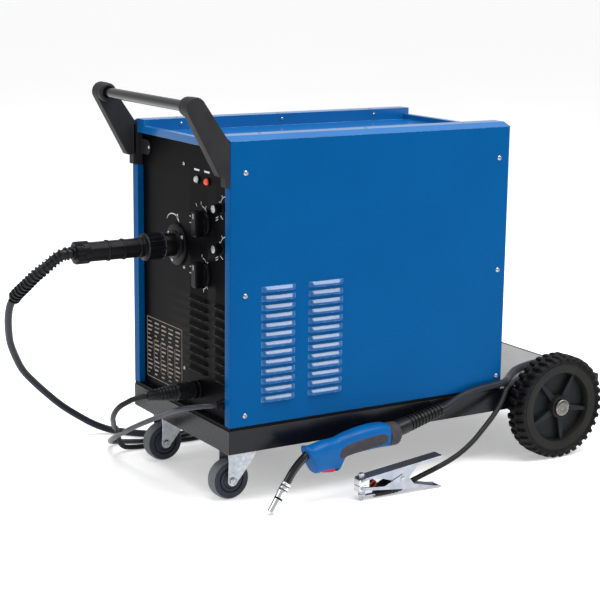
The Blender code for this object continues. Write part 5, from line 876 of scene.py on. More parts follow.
def screw_head(centre: Point, axis: Point, radius: float,
               rise: float) -> Skin:
    """Pan head with a cross recess.

    Height is a dome, rise * (1 - s^4) of the radius share s, less a cross-shaped pit where
    either direction across is near 0 and s is under 0.55.

    Args:
        centre: Middle of its underside.
        axis: Outward direction.
        radius: Its radius.
        rise: Its height.

    Returns:
        The surface, open below.
    """
    s = np.array([0, 0.1, 0.2, 0.32, 0.44, 0.52, 0.6, 0.75, 0.88, 0.96, 1.0, 1.0])[:, None]
    angle = np.linspace(0, math.tau, 32, endpoint=False)[None, :]
    x, y = s * np.cos(angle), s * np.sin(angle)
    cross = (np.minimum(np.abs(x), np.abs(y)) < 0.1) & (s < 0.55)
    height = rise * (1 - s ** 4 * 0.8) - np.where(cross, rise * 0.55, 0.0)
    height = np.broadcast_to(height, x.shape).copy()
    height[-1] = -0.0002
    a, b, c = basis(axis)
    points = (np.array(centre, float) + height[..., None] * a + radius * x[..., None] * b
              + radius * y[..., None] * c)
    skin = grid(points, closed_v=True)
    skin.caps = [list(range(len(skin.points) - 32, len(skin.points)))]
    return skin


def hexagon(radius: float, angle: Array) -> Array:
    """How far a hexagon's sides lie inside the circle round its corners, below 0."""
    turn = np.mod(angle, math.tau / 6) - math.tau / 12
    return radius * (math.cos(math.tau / 12) / np.cos(turn) - 1)


def hex_head(centre: Point, axis: Point, radius: float,
             rise: float) -> Skin:
    """Hexagon head: a turned profile whose radius follows the hexagon, with a chamfered face."""
    def flats(along: Array, angle: Array) -> Array:
        """Radius less by the distance from the circle to the hexagon's side."""
        return hexagon(radius, angle) * np.where(along < rise * 0.95, 1.0, 0.6)

    profile = [(0, 0), (0, radius), (rise * 0.85, radius), (rise, radius * 0.86), (rise, 0)]
    return revolve(profile, centre, axis, 36, flats)


# ---- studio -----------------------------------------------------------------------------------
@dataclass
class Studio:
    """Pale floor, soft lights and the camera at the photograph's angle."""

    place: Spot = (2.4982, -1.6573, 0.9347)
    azimuth: float = 58.588
    elevation: float = 11.987
    roll: float = 0.661
    lens: float = 96.99
    daylight: float = 0.66

    def build(self) -> None:
        """Makes the floor, the lights, the world and the camera."""
        self.floor()
        self.light("overhead", (0.5, 0.0, 3.2), (0, 0, 0.3), 2.0, 105)
        self.light("side_box", (2.0, 1.8, 3.1), (0.17, -0.2, 0.3), 1.3, 62)
        self.light("front_box", (-0.6, -3.2, 2.2), (0, 0, 0.4), 1.4, 22)
        world = bpy.data.worlds.new("studio_air")
        world.use_nodes = True
        back = world.node_tree.nodes["Background"]
        back.inputs["Color"].default_value = (1, 1, 1, 1)
        back.inputs["Strength"].default_value = self.daylight
        bpy.context.scene.world = world
        bpy.context.scene.view_settings.view_transform = "Standard"
        self.camera()

    def floor(self) -> None:
        """Square of floor, 160 m across, so that it fills the view to the horizon."""
        side = np.linspace(-80, 80, 9)
        net = np.stack(np.meshgrid(side, side, [0.0], indexing="ij"), axis=-1)[:, :, 0]
        skin = grid(net)
        mesh = bpy.data.meshes.new("floor")
        mesh.from_pydata(skin.points.tolist(), [], skin.quads.tolist())
        mesh.materials.append(Finishes.FLOOR.material())
        new_object("floor", mesh)

    def light(self, name: str, place: Point, target: Point, size: float,
              power: float) -> None:
        """Square soft box at a place, turned to a target."""
        lamp = bpy.data.lights.new(name, "AREA")
        lamp.shape, lamp.size, lamp.energy = "SQUARE", size, power
        item = new_object(name, lamp)
        item.location = place
        line = Vector(target) - Vector(place)
        item.rotation_euler = line.to_track_quat("-Z", "Y").to_euler()

    def camera(self) -> None:
        """Camera from the measured direction, roll and lens."""
        a, e, r = (math.radians(v) for v in (self.azimuth, self.elevation, self.roll))
        back = Vector((math.sin(a) * math.cos(e), -math.cos(a) * math.cos(e), math.sin(e)))
        right = Vector((math.cos(a), math.sin(a), 0))
        up = back.cross(right)
        across = math.cos(r) * right + math.sin(r) * up
        upright = -math.sin(r) * right + math.cos(r) * up
        data = bpy.data.cameras.new("camera")
        data.lens, data.sensor_width = self.lens, 36.0
        data.clip_end = 400
        item = new_object("camera", data)
        matrix = Matrix((across, upright, back)).transposed().to_4x4()
        matrix.translation = Vector(self.place)
        item.matrix_world = matrix
        bpy.context.scene.camera = item


# ---- leads ------------------------------------------------------------------------------------
@dataclass
class TorchLine:
    """The line that the torch lies on: its root on the floor and its direction."""

    root: Pair = (0.245, 0.05)
    far: Pair = (0.215, 0.32)
    boot_start: Spot = (0.275, 0.0, 0.104)
    boot_end: Spot = (0.384, 0.0, 0.1236)

    def matrix(self) -> Matrix:
        """Placement from the torch's frame to the cabinet's."""
        turn = math.atan2(self.far[1] - self.root[1], self.far[0] - self.root[0])
        return Matrix.Translation((*self.root, 0)) @ Matrix.Rotation(turn, 4, "Z")

    def place(self, points: Sequence) -> Array:
        """Points of the torch's frame in the cabinet's."""
        table = np.array(self.matrix())
        return np.atleast_2d(np.array(points, float)) @ table[:3, :3].T + table[:3, 3]


@dataclass
class Leads:
    """The three leads with the torch lead's bend guard."""

    line: TorchLine
    torch_radius: float = 0.00675
    thin_radius: float = 0.00475
    socket: Spot = (-0.032, -0.1913, 0.43)
    guard_radius: float = 0.0104
    guard_wire: float = 0.0016
    guard_sleeve: float = 0.009
    guard_pitch: float = 0.008
    guard_curls: int = 18
    coil_centre: Pair = (-0.152, 0.33)
    coil_radius: float = 0.0535

    def build(self) -> None:
        self.torch_lead()
        self.earth_lead()
        self.mains_lead()

    def declare(self, name: str, path: Array, radius: float, finish: Finish,
                nodes: Sequence[str],
                sides: int = 14) -> None:
        """Args:
            name: The piece's name.
            path: Its centre line, in the cabinet's frame.
            radius: Its radius.
            finish: Its sheath.
            nodes: CAD nodes that it stands for.
            sides: Points round the tube.
        """
        item = put(name, pipe(path, radius, sides), finish, replaces=nodes)
        LOG.info("%s: %.3f m long", name, length_of(path))

    def torch_route(self) -> list:
        """Route of the torch lead's centre, from the plug's stub to the torch's boot."""
        start, end = np.array(self.line.boot_start), np.array(self.line.boot_end)
        out = unit(end - start)
        run = self.line.place([end + out * (GAP + 2 * self.torch_radius), end + out * GAP])
        return [self.socket, *TORCH_ROUTE, *run]

    def torch_lead(self) -> None:
        """Torch lead and the spring round its first stretch."""
        route = self.torch_route()
        path = path_through(route, 0.007)
        self.declare("torch_cable", path, self.torch_radius, Finishes.LEAD_SHEATH,
                     ["torch_lead"], 16)
        fine = path_through(route, 0.0008)
        fine = fine[3:3 + int(self.guard_pitch * (self.guard_curls + 1) / 0.0008)]
        run = np.concatenate([[0], np.cumsum(np.linalg.norm(np.diff(fine, axis=0), axis=1))])
        places = np.linspace(0, self.guard_pitch * self.guard_curls, self.guard_curls * 20 + 1)
        centre = np.stack([np.interp(places, run, fine[:, i]) for i in range(3)], axis=1)
        _, side, up = frames_along(centre)
        turn = (math.tau * places / self.guard_pitch)[:, None]
        wire = centre + self.guard_radius * (np.cos(turn) * side + np.sin(turn) * up)
        put("bend_guard_spring", pipe(wire, self.guard_wire, 8), Finishes.SPRING,
            replaces=["torch_spring"])
        put("bend_guard_sleeve", pipe(centre[::10], self.guard_sleeve, 24),
            Finishes.BOOT_RUBBER)

    def earth_lead(self) -> None:
        """Earth lead from its plug's boot to the clamp's boot."""
        boot = path_through(EarthClamp.sleeve, 0.012)
        out = unit(boot[-1] - boot[-2])
        route = [(0.05, -0.0916, 0.1815), *EARTH_ROUTE,
                 boot[-1] + out * (GAP + 2 * self.thin_radius), boot[-1] + out * GAP]
        self.declare("earth_cable", path_through(route, 0.007), self.thin_radius,
                     Finishes.EARTH_SHEATH, ["earth_lead"])

    def coil(self) -> Array:
        """Wound stretch: it spirals in, climbs a layer in half a turn, and winds out on top."""
        pitch = 2 * self.thin_radius + 0.001
        turn = np.arange(0, 4.5 * 24 + 1) / 24
        radius = self.coil_radius - pitch * np.interp(turn, (0, 2.5, 3, 3.5, 4, 4.5),
                                                      (0, 2.5, 1, 1.5, 0, 0))
        angle = math.pi - math.tau * turn
        height = self.thin_radius + GAP + pitch * np.interp(turn, (2.0, 2.5), (0, 1))
        return np.stack([self.coil_centre[0] + radius * np.cos(angle),
                         self.coil_centre[1] + radius * np.sin(angle), height], axis=1)

    def mains_lead(self) -> None:
        """Mains lead out of its gland, its coil under the cart, and the run to its plug."""
        coil = self.coil()
        face = np.array([coil[-1, 0], 0.256, 0.0235])
        meet = coil[0] - np.array([0, 2 * self.thin_radius, 0])
        leave = coil[-1] + np.array([0, -0.024, 0.002])
        lead = path_through([(0.155, -0.0103, 0.18), *MAINS_ROUTE,
                             meet - np.array([0, 2 * self.thin_radius + GAP, 0]), meet], 0.007)
        tail = path_through([coil[-1], leave, face + np.array([0, 0.024, -0.0015]),
                             face + np.array([0, 2 * self.thin_radius, 0]),
                             face + np.array([0, GAP, 0])], 0.006)
        path = np.vstack([lead, coil, tail[1:]])
        self.declare("mains_cable", path, self.thin_radius, Finishes.MAINS_SHEATH,
                     ["mains_lead", "mains_coil"],
                     12)


# ---- cabinet ----------------------------------------------------------------------------------
@dataclass
class Louvres:
    """Rows of hoods pressed out of a sheet, open below."""

    columns: tuple[Pair, ...]
    rows: int
    low: float
    pitch: float = 0.0161
    taper: float = 0.0085
    drops: tuple[float, ...] = (0, 0, 0.0005, 0.0012, 0.003, 0.0046, 0.0068, 0.0084, 0.0092)
    reaches: tuple[float, ...] = (0, 0.005, 0.0053, 0.005, 0.0046, 0.0036, 0.0016, 0.0004, 0)

    def across(self) -> Array:
        """Stations across the sheet, closer at the hoods' tapered ends."""
        step = np.array([0, 0.12, 0.3, 0.5, 0.7, 0.88, 1.0]) * self.taper
        ends = [np.concatenate([a + step, [(a + b) / 2], b - step]) for a, b in self.columns]
        return np.sort(np.concatenate(ends))

    def upward(self) -> tuple[Array, Array]:
        """Heights of the net's rows and how far each stands out in a hood's middle."""
        feet = self.low + np.arange(self.rows)[:, None] * self.pitch
        heights = (feet + np.array(self.drops)[None, :]).ravel()
        return heights, np.tile(self.reaches, self.rows)

    def net(self, line: Array, share: Array, tops: Point, out: Point
            ) -> tuple[Array, Array, Array]:
        """Net of a louvred sheet: a plan line carried up, plus share * reach along a direction.

        Args:
            line: The sheet's line in plan, as (x, y).
            share: How full the hoods are at its points.
            tops: Heights of the net's rows above the last hood.
            out: Direction in plan that the hoods stand out in.

        Returns:
            The points, the quads that stay beside the slits, and the quads of the hoods.
        """
        heights, reach = self.upward()
        points = np.empty((len(line), len(heights) + 1 + len(tops), 3))
        points[..., 2] = np.concatenate([[PANEL_LOW], heights, tops])
        reach = np.concatenate([[0], reach, np.zeros(len(tops))])
        points[..., :2] = line[:, None] + (share[:, None] * reach)[..., None] * np.array(out)
        row = np.concatenate([[-1], np.tile(np.arange(len(self.drops)), self.rows), [-1]])
        row = row[:points.shape[1] - 1]
        hooded = ((share[:-1] > 0.01) | (share[1:] > 0.01))[:, None]
        return (points, ~(hooded & (row == 0)),
                hooded & (row > 0) & (row < len(self.drops) - 1))

    def share(self, across: Array) -> Array:
        """How full the hoods are at each station: 0 outside them, rising over the taper."""
        full = [smoothstep(np.minimum(across - a, b - across) / self.taper)
                for a, b in self.columns]
        return np.maximum.reduce(full)


@dataclass
class Cabinet:
    """Side shells, front and rear panels, top cover, door and their fasteners."""

    side: Louvres = field(default_factory=lambda: Louvres(
        ((0.061, 0.128), (0.155, 0.225)), 13, PANEL_LOW + 0.0385))
    front: Louvres = field(default_factory=lambda: Louvres(
        ((0.013, 0.088), (0.107, 0.156)), 9, PANEL_LOW + 0.068, taper=0.01))
    bend: float = 0.002
    screws: tuple[Pair, ...] = ((0.029, 0.582), (0.029, 0.373),
                                               (0.029, 0.1635), (0.561, 0.579),
                                               (0.566, 0.37), (0.572, 0.166))
    front_screws: tuple[Pair, ...] = ((-0.0045, 0.578), (-0.0045, 0.3931),
                                                     (-0.0045, 0.208))

    def build(self) -> None:
        """Makes the sheets and dresses what stays."""
        self.right_shell()
        self.front_sheet()
        self.fasteners()
        dress(Finishes.BLUE_POWDER, "side_frame_left", "wire_door")
        # The top cover takes the lit copy of the powder, with painted light and painted edge
        # highlights.
        dress(Finishes.BLUE_COVER_PAINTED_LIGHT, "top_cover")
        dress(Finishes.BLACK_POWDER, "rear_panel", "base_plate")
        dress(Finishes.BLACK_NYLON, "door_latch")
        dress(Finishes.CART_ENAMEL, "bottle_bracket_upper")

    def right_shell(self) -> None:
        """Louvred side shell: a folded line in plan, carried up, with hoods pushed out of it."""
        plan = [(FLANGE_X, SEAT_Y), (FLANGE_X, 0), (HALF, 0), (HALF, LENGTH), (FLANGE_X, LENGTH)]
        line = fillet(plan, self.bend, 4)
        stops = self.side.across()
        front = line[line[:, 1] < 0.03]
        line = np.vstack([front, np.stack([np.full_like(stops, HALF), stops], axis=1),
                          line[line[:, 1] > 0.5]])
        share = self.side.share(line[:, 1]) * (line[:, 0] > HALF - 1e-6)
        points, keep, hoods = self.side.net(line, share, (NOTCH_LOW, PANEL_TOP), (1, 0))
        flange = (line[:-1, 0] < HALF - 0.0021) & (line[:-1, 1] < 0.02)
        keep &= ~(flange[:, None] & (points[0, :-1, 2] >= NOTCH_LOW - 1e-6))
        top = block((HALF - 0.01, 0.014, PANEL_TOP - SHEET),
                    (HALF - SHEET, LENGTH - 0.0006, PANEL_TOP))
        edge = Edge(crease=30, wall=SHEET, outward=False)
        put("side_shell_right", grid(points, keep=keep & ~hoods), Finishes.BLUE_POWDER,
            replaces=["side_panel_right"], edge=edge)
        # The hoods take the lit copy of the powder, with its painted highlight.
        put("side_shell_hoods", grid(points, keep=keep & hoods), Finishes.BLUE_HOODS_PAINTED_HIGHLIGHT,
            edge=edge)
        put("side_shell_right_top", top, Finishes.BLUE_POWDER)

    def front_sheet(self) -> None:
        """Recessed front panel with its two columns of hoods."""
        stops = np.concatenate([[-0.1852, -0.1], self.front.across(), [0.1852]])
        line = np.stack([stops, np.full_like(stops, FACE_Y)], axis=1)
        points, keep, _ = self.front.net(line, self.front.share(stops), (LIP_LOW - GAP,), (0, -1))
        put("front_sheet", grid(points, keep=keep), Finishes.FRONT_POWDER,
            replaces=["front_panel"], edge=Edge(crease=30, wall=0.0015, outward=False))

    def fasteners(self) -> None:
        """Screws of the side shell and front panel, and the top cover's rivets."""
        side = joined([screw_head((HALF, y, z), (1, 0, 0), 0.0047, 0.0022)
                       for y, z in self.screws])
        put("side_screws", side, Finishes.SCREW)
        front = joined([screw_head((x, FACE_Y, z), FORWARD, 0.0036, 0.002)
                        for x, z in self.front_screws])
        put("front_screws", front, Finishes.SCREW)
        dome = ((0, 0.003), (0.0007, 0.0029), (0.0013, 0.002), (0.0016, 0))
        rivets = [revolve(dome, (side * x, y, z), (side * inward, 0, upward), 16)
                  for x, z, inward, upward in ((0.137, 0.633, -1, 0), (0.152, 0.643, 0, 1))
                  for side in (-1, 1) for y in (0.075, 0.29, 0.5)]
        put("cover_rivets", joined(rivets), Finishes.SCREW)


# ---- running gear -----------------------------------------------------------------------------
@dataclass
class Wheels:
    """Rear wheels: tyre with slanted lugs, moulded centre with five ridges, and push caps."""

    middle: float = 0.216
    seat_y: float = 0.694
    seat_z: float = 0.1
    half: float = 0.021
    lugs: int = 36
    lug_rise: float = 0.0046
    ridges: int = 5
    cap_x: float = 0.2373

    def build(self) -> None:
        """Makes both wheels on their bodies, and the caps on the axle."""
        for side, hand in ((1, "right"), (-1, "left")):
            body = f"wheel_{hand}"
            put(f"tyre_skin_{hand}", self.tyre(side), Finishes.TYRE, body,
                [f"tyre_{hand}"], Edge(crease=60, outward=False))
            put(f"wheel_ring_{hand}", self.ring(side), Finishes.RIM_PLASTIC, body,
                [f"rim_{hand}"])
            put(f"wheel_web_{hand}", self.web(side), Finishes.WEB_PLASTIC, body,
                edge=Edge(bevel=0.0008))
            put(f"axle_cap_{hand}", self.cap(side), Finishes.PUSH_CAP, "machine")
        dress(Finishes.ZINC, "rear_axle")

    def centre(self, side: int) -> Spot:
        """Middle of a wheel."""
        return side * self.middle, self.seat_y, self.seat_z

    def tyre(self, side: int) -> Skin:
        """Tyre: a section carried round, pushed out along its own normal by the lugs.

        A lug's height is a smooth step of cos(lugs * angle + slant), times a step across the
        section, so that each lug starts near the middle, wraps the shoulder and ends on the
        side wall. The two shoulders are half a lug apart.

        Args:
            side: 1 right, -1 left.

        Returns:
            The closed surface.
        """
        wall = [(0.0196, 0.088), (0.0206, 0.0898), (0.0206, 0.092), (0.0184, 0.0944),
                (0.012, 0.0953), (0.0, 0.0955)]
        corners = [(-x, r, 0.0) for x, r in wall] + [(x, r, 0.0) for x, r in wall[-2::-1]]
        line = path_through(corners, 0.0011)[:, :2]
        tangent = unit(np.gradient(line, axis=0))
        x, radius = line[:, :1], line[:, 1:2]
        angle = np.linspace(0, math.tau, self.lugs * 9, endpoint=False)[None, :]
        foot = smoothstep((radius - 0.0893) / 0.0022)
        rise = np.zeros((len(line), angle.shape[1]))
        for hand in (-1, 1):
            across = smoothstep((hand * x + 0.0022) / 0.003) * foot
            wave = np.cos(self.lugs * angle + 70.0 * np.abs(x) + (hand > 0) * math.pi)
            rise = np.maximum(rise, across * smoothstep((wave + 0.34) / 0.62))
        rise = rise * self.lug_rise
        along = x - tangent[:, 1:2] * rise
        radius = np.minimum(radius + tangent[:, :1] * rise, 0.1)
        return turned_net(along, radius, angle, self.centre(side), (side, 0, 0), True)

    def ring(self, side: int) -> Skin:
        """Wide flat outer ring with its bead step, and the hub, each a closed turned profile."""
        ring = [(-0.0185, 0.0872), (-0.019, 0.0866), (-0.019, 0.069), (-0.018, 0.0678),
                (-0.007, 0.0634), (0.003, 0.063), (0.0168, 0.0668), (0.0182, 0.0676),
                (0.0186, 0.0686), (0.0186, 0.0838), (0.0176, 0.0846), (0.0176, 0.0858),
                (0.019, 0.0864), (0.019, 0.0874), (0.0176, 0.0878), (-0.0176, 0.0878)]
        hub = [(-0.0208, 0.0084), (-0.0208, 0.0212), (-0.02, 0.022), (0.0192, 0.022),
               (0.0204, 0.0212), (0.0206, 0.0196), (0.0198, 0.0186), (0.0198, 0.0084)]
        return joined([revolve(profile + profile[:1], self.centre(side), (side, 0, 0), 96)
                       for profile in (ring, hub)])

    def web(self, side: int) -> Skin:
        """Recessed disc, and the ridges that stand on it: wider at the hub than at the ring."""
        disc = revolve([(-0.005, 0.0215), (-0.005, 0.064), (0.0032, 0.064),
                        (0.0032, 0.0215), (-0.005, 0.0215)], self.centre(side),
                       (side, 0, 0), 96)
        skins = [disc]
        outline = [(-0.0062, 0.0205), (0.0062, 0.0205), (0.0034, 0.0662), (-0.0034, 0.0662)]
        for index in range(self.ridges):
            ridge = extrude(fillet(outline, 0.0012, 2, True), Axis.X, 0.0028, 0.0138)
            turn = Matrix.Rotation(math.tau * (index + 0.6) / self.ridges, 4, "X")
            mirror = Matrix.Diagonal((side, 1, 1, 1))
            skins.append(ridge.moved(Matrix.Translation(self.centre(side)) @ mirror @ turn))
        return joined(skins)

    def cap(self, side: int) -> Skin:
        """Domed push cap with a crimped middle, over the axle's end."""
        profile = [(0, 0.0153), (0.0014, 0.0158), (0.0024, 0.015), (0.0034, 0.0132),
                   (0.0042, 0.0104), (0.0045, 0.008), (0.004, 0.0068), (0.0034, 0.006),
                   (0.0036, 0.004), (0.004, 0.0022), (0.0041, 0.0)]
        return revolve(profile, (side * self.cap_x, self.seat_y, self.seat_z), (side, 0, 0), 48)


@dataclass
class Casters:
    """Front swivel casters: pressed fork with its race and bolt, and a two-tone wheel."""

    across: float = 0.129
    swivel_y: float = 0.053
    wheel_y: float = 0.028
    radius: float = 0.036
    fork_half: float = 0.019
    sheet: float = 0.0025
    head: float = 0.0945

    def build(self) -> None:
        """Makes both casters."""
        for side, hand in ((1, "right"), (-1, "left")):
            fork = f"fork_{hand}"
            put(f"caster_legs_{hand}", self.legs(side), Finishes.ZINC, fork,
                [f"caster_fork_{hand}"], Edge(bevel=0.0007))
            put(f"caster_bolt_{hand}", self.bolt(side), Finishes.SCREW, fork)
            wheel = f"castor_wheel_{hand}"
            put(f"caster_tread_{hand}", self.tread(side), Finishes.GREY_TREAD, wheel,
                [f"caster_wheel_{hand}"])
            put(f"caster_hub_{hand}", self.hub(side), Finishes.DARK_HUB, wheel)

    def legs(self, side: int) -> Skin:
        """Two legs with round feet, the crown plate between them, and the turned race."""
        x, foot = side * self.across, 0.01
        arc = np.linspace(1.02 * math.pi, 1.9 * math.pi, 14)
        round_foot = [(self.wheel_y + foot * math.cos(a), self.radius + foot * math.sin(a))
                      for a in arc]
        outline = [(self.swivel_y - 0.0335, self.head), (self.swivel_y - 0.0345, 0.088),
                   (self.wheel_y - 0.0085, 0.07), *round_foot,
                   (self.swivel_y + 0.012, 0.066), (self.swivel_y + 0.0238, 0.084),
                   (self.swivel_y + 0.0238, self.head)]
        inner = self.fork_half - self.sheet
        skins = [extrude(fillet(outline, 0.0035, 3, True), Axis.X, x + low, x + high)
                 for low, high in ((-self.fork_half, -inner), (inner, self.fork_half))]
        plate = [(x - inner, self.swivel_y - 0.0335), (x + inner, self.swivel_y - 0.0335),
                 (x + inner, self.swivel_y + 0.0238), (x - inner, self.swivel_y + 0.0238)]
        skins.append(extrude(fillet(plate, 0.003, 3, True), Axis.Z, self.head - 0.0028,
                             self.head - 0.0001))
        race = [(-0.0014, 0.0), (-0.0014, 0.0216), (0.0004, 0.0222), (0.0014, 0.0214),
                (0.0024, 0.02), (0.0024, 0.0)]
        skins.append(revolve(race, (x, self.swivel_y, self.head), (0, 0, 1), 40))
        return joined(skins)

    def bolt(self, side: int) -> Skin:
        """Axle bolt: round head outside, nut inside, shank through the hub."""
        place = (side * self.across, self.wheel_y, self.radius)
        skins = []
        for hand in (-1, 1):
            face = (place[0] + hand * self.fork_half, place[1], place[2])
            skins.append(hex_head(face, (hand, 0, 0), 0.007, 0.0033))
        shank = revolve([(-self.fork_half, 0), (-self.fork_half, 0.004),
                         (self.fork_half, 0.004), (self.fork_half, 0)], place, (1, 0, 0), 20)
        return joined([*skins, shank])

    def tread(self, side: int) -> Skin:
        """Grey tyre of a caster wheel: crowned band with soft shoulders."""
        half = [(0.0118, 0.03), (0.0121, 0.033), (0.0114, 0.0342), (0.0094, 0.0353),
                (0.0055, 0.0359), (0.0, 0.036)]
        profile = [(-a, r) for a, r in half] + half[-2::-1]
        return revolve([*profile, profile[0]], (side * self.across, self.wheel_y, self.radius),
                       (1, 0, 0), 56)

    def hub(self, side: int) -> Skin:
        """Dark centre of a caster wheel with two moulded grooves on each face."""
        half = [(0.0162, 0.0043), (0.0162, 0.008), (0.0138, 0.0088), (0.0126, 0.012),
                (0.0126, 0.014), (0.0114, 0.0146), (0.0114, 0.0154), (0.0128, 0.016),
                (0.0128, 0.0204), (0.0098, 0.021), (0.0098, 0.023), (0.0129, 0.0237),
                (0.013, 0.0312), (0.0122, 0.033), (0.0108, 0.0332)]
        profile = [(-a, r) for a, r in half] + half[::-1]
        return revolve([*profile, profile[0]], (side * self.across, self.wheel_y, self.radius),
                       (1, 0, 0), 48)


# ---- handle -----------------------------------------------------------------------------------
@dataclass
class Handle:
    """Two moulded arms with their bosses and screwed tabs, and the tube between them."""

    tube_y: float = -0.063
    tube_z: float = 0.693
    tube_radius: float = 0.00925
    eye: float = 0.0175
    arm: float = 0.02
    boss: float = 0.0347
    front_y: float = -0.022
    rear_y: float = -0.002
    low_z: float = 0.577
    high_z: float = 0.636
    tab_x: float = 0.147
    tab_z: float = 0.592
    tab_radius: float = 0.014

    def build(self) -> None:
        """Makes both arms, the tube and the tab screws."""
        for side, hand in ((1, "right"), (-1, "left")):
            put(f"handle_arm_{hand}", self.shape(side), Finishes.ARM_NYLON, "machine",
                [f"handle_bracket_{hand}"], Edge(bevel=0.0024))
        tube = [(0, 0), (0, self.tube_radius), (0.32, self.tube_radius), (0.32, 0)]
        put("handle_bar", revolve(tube, (-0.16, self.tube_y, self.tube_z), (1, 0, 0), 48),
            Finishes.TUBE_GLOSS, "machine", ["handle_tube"])
        screws = joined([screw_head((side * (self.tab_x - 0.01), 0.0086, self.tab_z + 0.001),
                                    FORWARD, 0.0037, 0.002) for side in (-1, 1)])
        put("tab_screws", screws, Finishes.SCREW)

    def outline(self) -> list[Pair]:
        """Side outline: both straight edges touch the round eye, and the foot is rounded."""
        eye = np.array([self.tube_y, self.tube_z])
        ends = []
        for corner, turn in (((self.front_y, self.low_z), -1), ((self.rear_y, self.high_z), 1)):
            line = np.array(corner) - eye
            ends.append(math.atan2(line[1], line[0])
                        + turn * math.acos(self.eye / float(np.linalg.norm(line))))
        start, end = ends
        end -= math.tau * math.ceil((end - start) / math.tau)
        arc = np.linspace(start, end, 36)
        ring = np.stack([eye[0] + self.eye * np.cos(arc), eye[1] + self.eye * np.sin(arc)], 1)
        foot = [(self.rear_y, self.low_z + 0.005), (self.rear_y - 0.0015, self.low_z + 0.0015),
                (self.rear_y - 0.005, self.low_z), (self.front_y + 0.005, self.low_z),
                (self.front_y + 0.0015, self.low_z + 0.0015), (self.front_y, self.low_z + 0.005)]
        return [(self.rear_y, self.high_z), *foot, *[tuple(p) for p in ring]]

    def shape(self, side: int) -> Skin:
        """Arm, boss with a stepped mouth, foot in the shell's notch, and round tab."""
        low, high = sorted((side * HALF, side * (HALF - self.arm)))
        skins = [extrude(self.outline(), Axis.X, low, high)]
        mouth = [(self.arm - 0.004, 0), (self.arm - 0.004, self.eye - 0.0006),
                 (self.boss - 0.003, self.eye - 0.0006), (self.boss - 0.0006, self.eye - 0.0022),
                 (self.boss, self.eye - 0.0038), (self.boss, self.tube_radius + 0.001),
                 (self.boss - 0.004, self.tube_radius + 0.0004), (self.boss - 0.004, 0)]
        skins.append(revolve(mouth, (side * HALF, self.tube_y, self.tube_z), (-side, 0, 0), 48))
        near, far = sorted((side * FLANGE_X, side * (HALF - 0.0013)))
        skins.append(block((near, self.rear_y - 0.006, NOTCH_LOW + 0.001),
                           (far, SEAT_Y - 0.0003, PANEL_TOP - 0.0012)))
        arc = np.linspace(-0.5, 0.5, 16) * math.pi
        r = self.tab_radius
        tab = [(side * (self.tab_x - r * math.cos(a)), self.tab_z + r * math.sin(a))
               for a in arc] + [(side * (FLANGE_X + 0.004), self.tab_z + r),
                                (side * (FLANGE_X + 0.004), self.tab_z - r)]
        skins.append(extrude(tab, Axis.Y, SEAT_Y - 0.003, SEAT_Y - 0.0001))
        return joined(skins)


